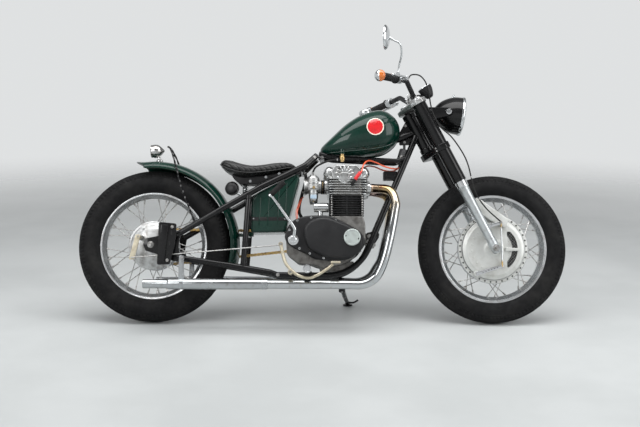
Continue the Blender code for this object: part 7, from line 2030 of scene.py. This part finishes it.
# Grips, bar-end signals and levers: ribbed black rubber sleeves pushed on the bar, chromed bulbs with an
# amber face forward in its ends, and polished alloy levers in perches that clamp inside the grips.
BAR_AHEAD = Vector((BAR_OUT.y, -BAR_OUT.x, 0)).normalized()
amber_lens = uneven(Look("amber_lens", (0.8, 0.2, 0.015), 0.12, Coat_Weight=0.8, Coat_Roughness=0.04,
                         Transmission_Weight=0.3), 60, 0.08, 0.2)
worn(amber_lens, 80, 0.4, 0.8, (0.82, 0.21, 0.015), (0.62, 0.13, 0.01))
GRIP_LENGTH = 0.122
PERCH_AT = BAR_END - BAR_OUT * (GRIP_LENGTH + 0.004)
elbow = PERCH_AT - BAR_OUT * 0.018 + BAR_AHEAD * 0.04
flip = Matrix.Scale(-1, 4, ACROSS)
for name, frame_of in (("left", Matrix()), ("right", flip)):
    sleeve = Shape()
    sleeve.within(frame_of)
    start = BAR_END - BAR_OUT * GRIP_LENGTH
    collar = mm((0, 11.6), (0, 20), (0.8, 21.4), (3.2, 21.4), (4.2, 20), (5, 16))
    outer = ribs(24, 0.0046, (0.007, 0.0158), (0.0078, 0.0164), (0.0098, 0.0164), (0.0106, 0.0158))
    sleeve.turn(collar + outer + [(0.1195, 0.0158), (0.1218, 0.0146), (0.1218, 0.0116)], start, BAR_OUT, 40,
                loop=True)
    sleeve.finished("grip_sleeve_" + name, [black_rubber], "fork", "rubber", ("grip_" + name,), crease=25)

    signal = Shape()
    signal.within(frame_of)
    signal.turn(mm((0.5, 12.5), (0.6, 14.8), (2, 15.6), (4.2, 16), (4.4, 14)), BAR_END, BAR_OUT, 48)
    bulb = [(0.0215 - 0.018 * math.cos(math.radians(a)), 0.0246 * math.sin(math.radians(a)) + 0.0002)
            for a in range(38, 181, 6)]
    signal.turn([(0.0042, 0.014)] + bulb, BAR_END, BAR_OUT, 60)
    ahead_of_bulb = BAR_AHEAD - BAR_OUT * 0.25
    for face in signal.bm.faces:
        local = frame_of.inverted() @ face.calc_center_median() - BAR_END - BAR_OUT * 0.0215
        if (local + BAR_OUT * 0.0215).dot(BAR_OUT) > 0.0045 and local.dot(ahead_of_bulb) > 0.001:
            face.material_index = 1
    band = [BAR_END + BAR_OUT * (0.0215 + 0.0178 * math.cos(math.radians(a)))
            + BAR_AHEAD.cross(BAR_OUT) * 0.0244 * math.sin(math.radians(a)) for a in range(-140, 141, 8)]
    signal.sweep(band, 0.0006, 8)
    signal.finished("bar_end_signal_" + name, [chrome, amber_lens], "fork", "chrome", ("turn_signal_" + name,),
                    crease=30)

    lever = Shape()
    lever.within(frame_of)
    lever.turn(mm((-35.5, 11.6), (-36, 12.2), (-36, 18.2), (-35.2, 19), (-4.8, 19), (-4, 18.2), (-4, 12.2),
                  (-4.5, 11.6)), PERCH_AT, BAR_OUT, 40, loop=True)
    lever.sweep([PERCH_AT - BAR_OUT * 0.02 + BAR_AHEAD * 0.014, elbow - BAR_AHEAD * 0.006, elbow],
                [0.009, 0.0088, 0.008], 20)
    lever.turn(mm((-8, 8), (-7.2, 8.6), (7.2, 8.6), (8, 8)), elbow, UP, 24)
    blade = flowing([elbow, elbow + BAR_OUT * 0.05 + BAR_AHEAD * 0.012, elbow + BAR_OUT * 0.11
                     + BAR_AHEAD * 0.01, elbow + BAR_OUT * 0.16 + BAR_AHEAD * 0.014], 8)
    lever.sweep(blade[:-1], [0.008 - 0.0028 * min(1, k / 9) for k in range(len(blade) - 1)], 18)
    lever.turn([(0.0068 * math.sin(math.radians(a)), 0.0068 * math.cos(math.radians(a)) + 1e-5)
                for a in range(-90, 91, 15)], blade[-1] - BAR_OUT * 0.0068, BAR_OUT, 24)
    lever.bar(elbow + BAR_OUT * 0.004, elbow - BAR_OUT * 0.0158, 0.0058, 20)
    lever.paint(1)
    lever.screw(elbow + UP * 0.0078, UP, 0.0055, 0.002)
    lever.turn(mm((-15, 5.8), (-14.8, 6), (-12, 6), (-11.8, 5.8)), elbow, BAR_OUT, 20)
    lever.bolt(PERCH_AT - BAR_OUT * 0.012 - BAR_AHEAD * 0.0186, -BAR_AHEAD, 0.006, 0.0006, washer=False)
    lever.finished("lever_and_perch_" + name, [polished_alloy, steel], "fork", "cast_alloy",
                   ("lever_" + name,), crease=38)


# Mirror: a spun and chromed dish with a silvered glass pressed in, on a bent rod that is screwed into
# the right perch.
mirror_glass = Look("mirror_glass", (0.88, 0.9, 0.91), 0.02, 1.0)
uneven(mirror_glass, 9, 0.012, 0.035)
mirror = Shape()
base = BAR_END - BAR_OUT * (GRIP_LENGTH + 0.024)
foot = Vector((base.x, -base.y, base.z + 0.0193))
centre = on_fork(1.0112, -0.0356, -0.335)
facing = Vector((-1, 0.22, 0.05)).normalized()
mirror.turn(mm((-16, 10.5), (-15.6, 15), (-13.5, 27), (-11, 36.5), (-6.5, 45.5), (-1, 51.2), (2, 52.8),
               (4, 53.4), (5.2, 53), (5.9, 51.5), (5.6, 49.5), (4.6, 49), (4.6, 1)), centre, facing, 72)
stalk = flowing([foot, foot + Vector((0.004, -0.012, 0.04)), on_fork(0.9214, -0.0055, -0.3),
                 on_fork(0.9589, 0.0048, -0.33), on_fork(0.9868, -0.0144, -0.337), centre - facing * 0.01], 8)
mirror.sweep(stalk, 0.0041, 16)
mirror.turn(mm((0, 7.8), (1, 8.4), (10, 8.4), (12, 6)), foot, UP, 6)
mirror.turn(mm((-8, 5.2), (-6, 6), (6, 6), (8, 5.2)), stalk[-5], stalk[-4] - stalk[-6], 20)
mirror.paint(1)
mirror.turn(mm((4.5, 48.8), (4.9, 48.6), (5.1, 1)), centre, facing, 72)
mirror.finished("mirror_dish_and_stalk", [chrome, mirror_glass], "fork", "chrome", ("mirror",), crease=38)


# Speedometer: a tapered black cup with a bright bezel, on a bent rod from the upper yoke. Pale ticks and
# a red needle stand on a blank face under the glass.
dial_face = uneven(Look("dial_face", (0.012, 0.012, 0.013), 0.35, Coat_Weight=1.0, Coat_Roughness=0.02), 90,
                   0.3, 0.4)
dial_marks = uneven(Look("dial_marks", (0.75, 0.75, 0.7), 0.5), 90, 0.4, 0.6)
needle_red = uneven(Look("needle_red", (0.65, 0.03, 0.02), 0.4), 90, 0.3, 0.5)
speedo = Shape()
centre = on_fork(0.7808, 0.075)
axis = Vector((-0.52, 0, 0.85)).normalized()
speedo.turn(mm((-40, 12.5), (-38.5, 15), (-34, 18.5), (-31, 20.5), (-20, 25.2), (-10, 29), (-4, 30.8),
               (8, 32.2), (8.5, 32.8), (12, 32.9), (12, 30)), centre, axis, 56)
speedo.sweep(flowing([centre - axis * 0.034, on_fork(0.775, 0.024), on_fork(0.7443, 0.024)], 6), 0.0058, 14)
speedo.paint(1)
speedo.turn(mm((11.8, 30), (11.8, 33), (13.5, 33), (15.2, 32.2), (15.9, 30.6), (15.6, 28.8), (14.2, 28),
               (12.5, 28)), centre, axis, 64, loop=True)
speedo.paint(2)
speedo.turn(mm((11.8, 29), (12.8, 28.6), (12.8, 1)), centre, axis, 48)
right = side_of(axis)
ahead = axis.cross(right)
speedo.paint(3)
for k in range(25):
    angle = math.radians(-150 + k * 12.5)
    out = right * math.cos(angle) + ahead * math.sin(angle)
    inner = 0.0205 if k % 4 == 0 else 0.0228
    speedo.bar(centre + axis * 0.01285 + out * inner, centre + axis * 0.01285 + out * 0.0258, 0.00045
               if k % 4 == 0 else 0.0003, 6)
speedo.paint(4)
out = right * math.cos(2.1) + ahead * math.sin(2.1)
speedo.bar(centre + axis * 0.0134 - out * 0.004, centre + axis * 0.0134 + out * 0.0205, 0.0006, 6)
speedo.turn(mm((12.8, 2.6), (13.8, 2.4), (14, 0.5)), centre, axis, 20)
speedo.finished("speedometer_cup", [satin_black, chrome, dial_face, dial_marks, needle_red], "fork",
                "satin_black", ("speedometer",), crease=38)


# Headlamp: a pressed teardrop shell enamelled black, with a chromed toggle on top, held between the fork
# ears by two bolts.
HEADLAMP_FACE = on_fork(0.6033, 0.1561)
HEADLAMP_AXIS = Vector((math.cos(math.radians(-8.3)), 0, math.sin(math.radians(-8.3))))
HEADLAMP = (HEADLAMP_FACE, HEADLAMP_AXIS)
HEADLAMP_PIVOT = on_fork(0.6337, 0.1026)
bucket = Shape()
profile = flowing(mm((-121.8, 8, 0), (-119.5, 20, 0), (-113, 32.5, 0), (-92, 55.6, 0), (-60, 74.5, 0),
                     (-30, 83.5, 0), (-0.3, 85.7, 0)), 5)
bucket.turn([(p.x, p.y) for p in profile], *HEADLAMP, 72)
for side in (-1, 1):
    bucket.bar(HEADLAMP_PIVOT + ACROSS * side * 0.06, HEADLAMP_PIVOT + ACROSS * side * 0.0957, 0.0098, 28)
knob_low = HEADLAMP_FACE + Vector((-0.0345, 0, 0.0685))
knob_high = HEADLAMP_FACE + Vector((-0.0225, 0, 0.0985))
knob_axis = knob_high - knob_low
bucket.paint(1)
bucket.turn(mm((6, 7.4), (18.5, 7.4), (19, 6.2), (21.5, 4)), knob_low, knob_axis, 28)
bucket.sweep([knob_low + knob_axis.normalized() * d for d in (0.016, 0.0225, 0.024, 0.029, 0.0318)],
             [0.0036, 0.0036, 0.0068, 0.007, 0.004], 20)
for side in (-1, 1):
    bucket.hoop(HEADLAMP_PIVOT + ACROSS * side * 0.086, ACROSS, 0.0102, 0.001, 28)
bucket.finished("headlamp_bucket", [black_enamel, chrome], "fork", "black_paint", ("headlamp_shell",),
                crease=38)


# Headlamp front: a chromed rim that clips over the shell, with its reflector and bulb cap, and a domed
# clear glass held in the rim.
clear_glass = Look("clear_glass", (0.96, 0.98, 0.98), 0.03, Transmission_Weight=1.0, IOR=1.45)
uneven(clear_glass, 12, 0.01, 0.05)
rim = Shape()
rim.turn(mm((0.2, 84), (0.2, 86.8), (1.5, 88.4), (6, 89), (10, 88.8), (12.8, 86.8), (14, 83.8), (13.6, 81.5),
            (12, 80.6), (10, 80), (6, 80)), *HEADLAMP, 96, loop=True)
rim.turn(mm((8.5, 80), (7, 70), (5.2, 50), (4, 25), (3.6, 1)), *HEADLAMP, 64)
rim.turn(mm((4, 10.5), (12, 10.5), (15, 8.5), (16, 1)), *HEADLAMP, 32)
rim.screw(HEADLAMP_FACE + HEADLAMP_AXIS * 0.0136 + Vector((0.0001, 0, -0.0846)), HEADLAMP_AXIS, 0.0022,
          0.0012)
rim.finished("headlamp_rim_and_reflector", [chrome], "fork", "chrome", ("headlamp_front",), crease=38)
glass = Shape()
dome = mm((11.2, 80.4), (14, 79.5), (17, 72), (20.5, 58), (23.5, 40), (25.3, 20), (25.8, 1), (23.8, 1),
          (23.3, 20), (21.6, 39.5), (18.6, 57), (15.2, 70.5), (12.4, 78), (10.5, 79))
glass.turn(dome, *HEADLAMP, 72)
glass.finished("headlamp_lens", [clear_glass], "fork", "chrome", crease=60)


# Front brake plate: a pale cast and turned alloy cover with an anchor arm and a D-shaped air scoop behind
# mesh. Two alloy cam arms are joined by a steel link rod with bronze clevises.
bronze = uneven(Look("bronze", (0.56, 0.4, 0.2), 0.3, 1.0), 70, 0.2, 0.4)
worn(bronze, 60, 0.35, 0.8, (0.6, 0.44, 0.22), (0.34, 0.24, 0.12))
bronze.bump(bronze.noise(500, 3), 0.0002, 0.15)
brake = Shape()


def by_front_axle(points):
    return [(FRONT_AXLE.x + x, FRONT_AXLE.z + z) for x, z in points]


def scoop_outline(radius, back, half_angle, steps=28):
    angles = [math.radians(half_angle * (2 * k / steps - 1) - 3) for k in range(steps + 1)]
    arc = [(math.cos(angle) * radius, math.sin(angle) * radius) for angle in angles]
    return rounded(by_front_axle([(back, arc[0][1])] + arc + [(back, arc[-1][1])]), 0.004, 3)


brake.turn(mm((45, 8.8), (45, 137.2), (45.8, 138), (48.2, 138), (49, 137.2), (51.5, 131), (55, 121.5),
              (57, 119.5), (58, 106), (59.3, 80), (60.6, 52), (61.4, 44), (64, 38.5), (69, 33), (73.5, 29.8),
              (74, 28.5), (74, 8.8)), FRONT_AXLE, -ACROSS, 120, loop=True)
walls = Shape()
walls.pillow(scoop_outline(0.118, 0.048, 54), -0.054, -0.071, 0.004)
mouth = Shape()
mouth.slab(scoop_outline(0.106, 0.06, 48), -0.059, -0.081)
walls.carved(mouth)
walls_mesh = bpy.data.meshes.new("scoop")
walls.bm.to_mesh(walls_mesh)
brake.bm.from_mesh(walls_mesh)
brake.pillow(rounded(by_front_axle(mm((50, -11), (115, -10), (115, 2), (50, 5))), 0.003), -0.056, -0.0679,
             0.002)
brake.pillow(rounded(by_front_axle(mm((-118, 196), (-108, 212), (-66, 226), (66, 131), (52, 88), (-20, 128))),
                     0.01), -0.0552, -0.0699, 0.004, 0.001)
for cam in ((-0.0195, 0.0982), (-0.076, -0.114)):
    brake.turn(mm((50, 16.5), (62, 15), (64, 13), (72, 12.5)), FRONT_AXLE + Vector((cam[0], 0, cam[1])),
               -ACROSS, 32)
for k in range(9):
    angle = math.radians(118 + k * 17)
    brake.turn(mm((57, 5), (59.5, 4.5), (60, 3.6)), around(FRONT_AXLE, angle, 0.098), -ACROSS, 18)
brake.paint(1)
for line in range(-24, 26, 2):
    for slope in (1, -1):
        run = []
        for step in range(61):
            x = 0.06 + step * 0.00078
            z = line * 0.0062 + slope * (x - 0.06)
            if math.hypot(x, z) < 0.1058 and abs(math.degrees(math.atan2(z, x)) + 3) < 48 and x > 0.0608:
                run.append((FRONT_AXLE.x + x, -0.0604 - 0.0002 * slope, FRONT_AXLE.z + z))
            elif len(run) > 1:
                break
        if len(run) > 2:
            brake.sweep([run[0], run[-1]], 0.00045, 5)
# A dark plate behind the mesh: painted shade inside the scoop.
brake.paint(2)
brake.slab(scoop_outline(0.1064, 0.0596, 48.5, 20), -0.0586, -0.0592)
tips = []
for cam, tip in (((-0.0195, 0.0982), (0.0305, 0.1152)), ((-0.076, -0.114), (0.034, -0.078))):
    at = FRONT_AXLE + Vector((cam[0], 0, cam[1]))
    brake.paint(3)
    brake.bar(at - ACROSS * 0.052, at - ACROSS * 0.0815, 0.0078, 24)
    arm = rounded(by_front_axle([(cam[0] - 0.01, cam[1] - 0.009), (cam[0] - 0.006, cam[1] + 0.01),
                                 (tip[0] + 0.006, tip[1] + 0.007), (tip[0] + 0.007, tip[1] - 0.006)]), 0.005)
    brake.pillow(arm, -0.0742, -0.0798, 0.001, 0.001)
    tips.append(FRONT_AXLE + Vector((tip[0], -0.077, tip[1])))
low_cam = Vector((-0.076, 0, -0.114))
low_tip = Vector((0.034, 0, -0.078))
# Thin dark discs on the lower cam arm: painted shade in place of its holes.
brake.paint(2)
for k in range(6):
    spot = FRONT_AXLE + low_cam.lerp(low_tip, 0.22 + k * 0.115)
    brake.turn([(0.0797, 0.0023), (0.08, 0.0023)], spot, -ACROSS, 14)
brake.paint(4)
brake.sweep([tips[0], tips[1]], 0.0035, 14)
brake.paint(5)
for tip, other in (tips, tips[::-1]):
    along = (other - tip).normalized()
    brake.turn(mm((-3.8, 3), (-3, 3.9), (20, 3.9), (21, 3.4)), tip, along, 20)
    brake.turn(mm((21, 3.4), (25.5, 3.9), (26.5, 3.4)), tip, along, 6)
brake.paint(4)
for cam in ((-0.0195, 0.0982), (-0.076, -0.114)):
    brake.bolt(FRONT_AXLE + Vector((cam[0], -0.08, cam[1])), -ACROSS, 0.008, 0.0018, washer=False)
brake.bolt(on_fork(0.225, 0, -0.069), ACROSS, 0.01, 0.004, washer=False)
brake.finished("front_drum_plate", [pale_cast, steel, dark_recess, polished_alloy, chrome, bronze], "fork",
               "cast_alloy", ("front_brake_plate",), crease=36)


# Front brake cable: steel wire in a black rubber sleeve, from the lever's stop ahead of the fork down
# to the upper cam arm. Steel ferrules end it and two clips hold it.
elbow_right = Vector((elbow.x, -elbow.y, elbow.z))
inward = Vector((-BAR_OUT.x, BAR_OUT.y, -BAR_OUT.z))
start = elbow_right + inward * 0.0163
barrel_y = 0.077 + 0.004 * math.cos(math.pi / 6) + 0.0003
tip = FRONT_AXLE + Vector((0.0305, 0, 0.1152))
route = [start, start + inward * 0.006, (1.14, -0.225, 1.08), (1.178, -0.195, 1.084), (1.208, -0.165, 1.06),
         (1.224, -0.145, 1.014), (1.233, -0.132, 0.967), (1.246, -0.126, 0.925), (1.277, -0.125, 0.869),
         (1.326, -0.124, 0.824), (1.373, -0.122, 0.756), (1.397, -0.12, 0.703), (1.413, -0.118, 0.639),
         (1.432, -0.114, 0.575), (1.478, -0.104, 0.51), (tip.x, -barrel_y - 0.009, tip.z)]
cable = Shape()
way = flowing(route, 8)
cable.sweep(way, 0.003, 14)
cable.paint(1)
cable.turn(mm((0.2, 2.6), (1, 3.1), (5.8, 3.1), (6, 2.6)), start, inward, 18)
cable.turn(mm((0, 4.4), (0.5, 5), (13.5, 5), (13.9, 4.4)), (tip.x, -barrel_y - 0.0001, tip.z), -ACROSS, 24)
for k in (-14, -26):
    cable.turn(mm((-4, 2.8), (-3.6, 3.2), (3.6, 3.2), (4, 2.8)), way[k], way[k + 1] - way[k - 1], 16)
cable.finished("front_brake_cable", [black_rubber, steel], "fork", "rubber", ("brake_cable",), crease=38)
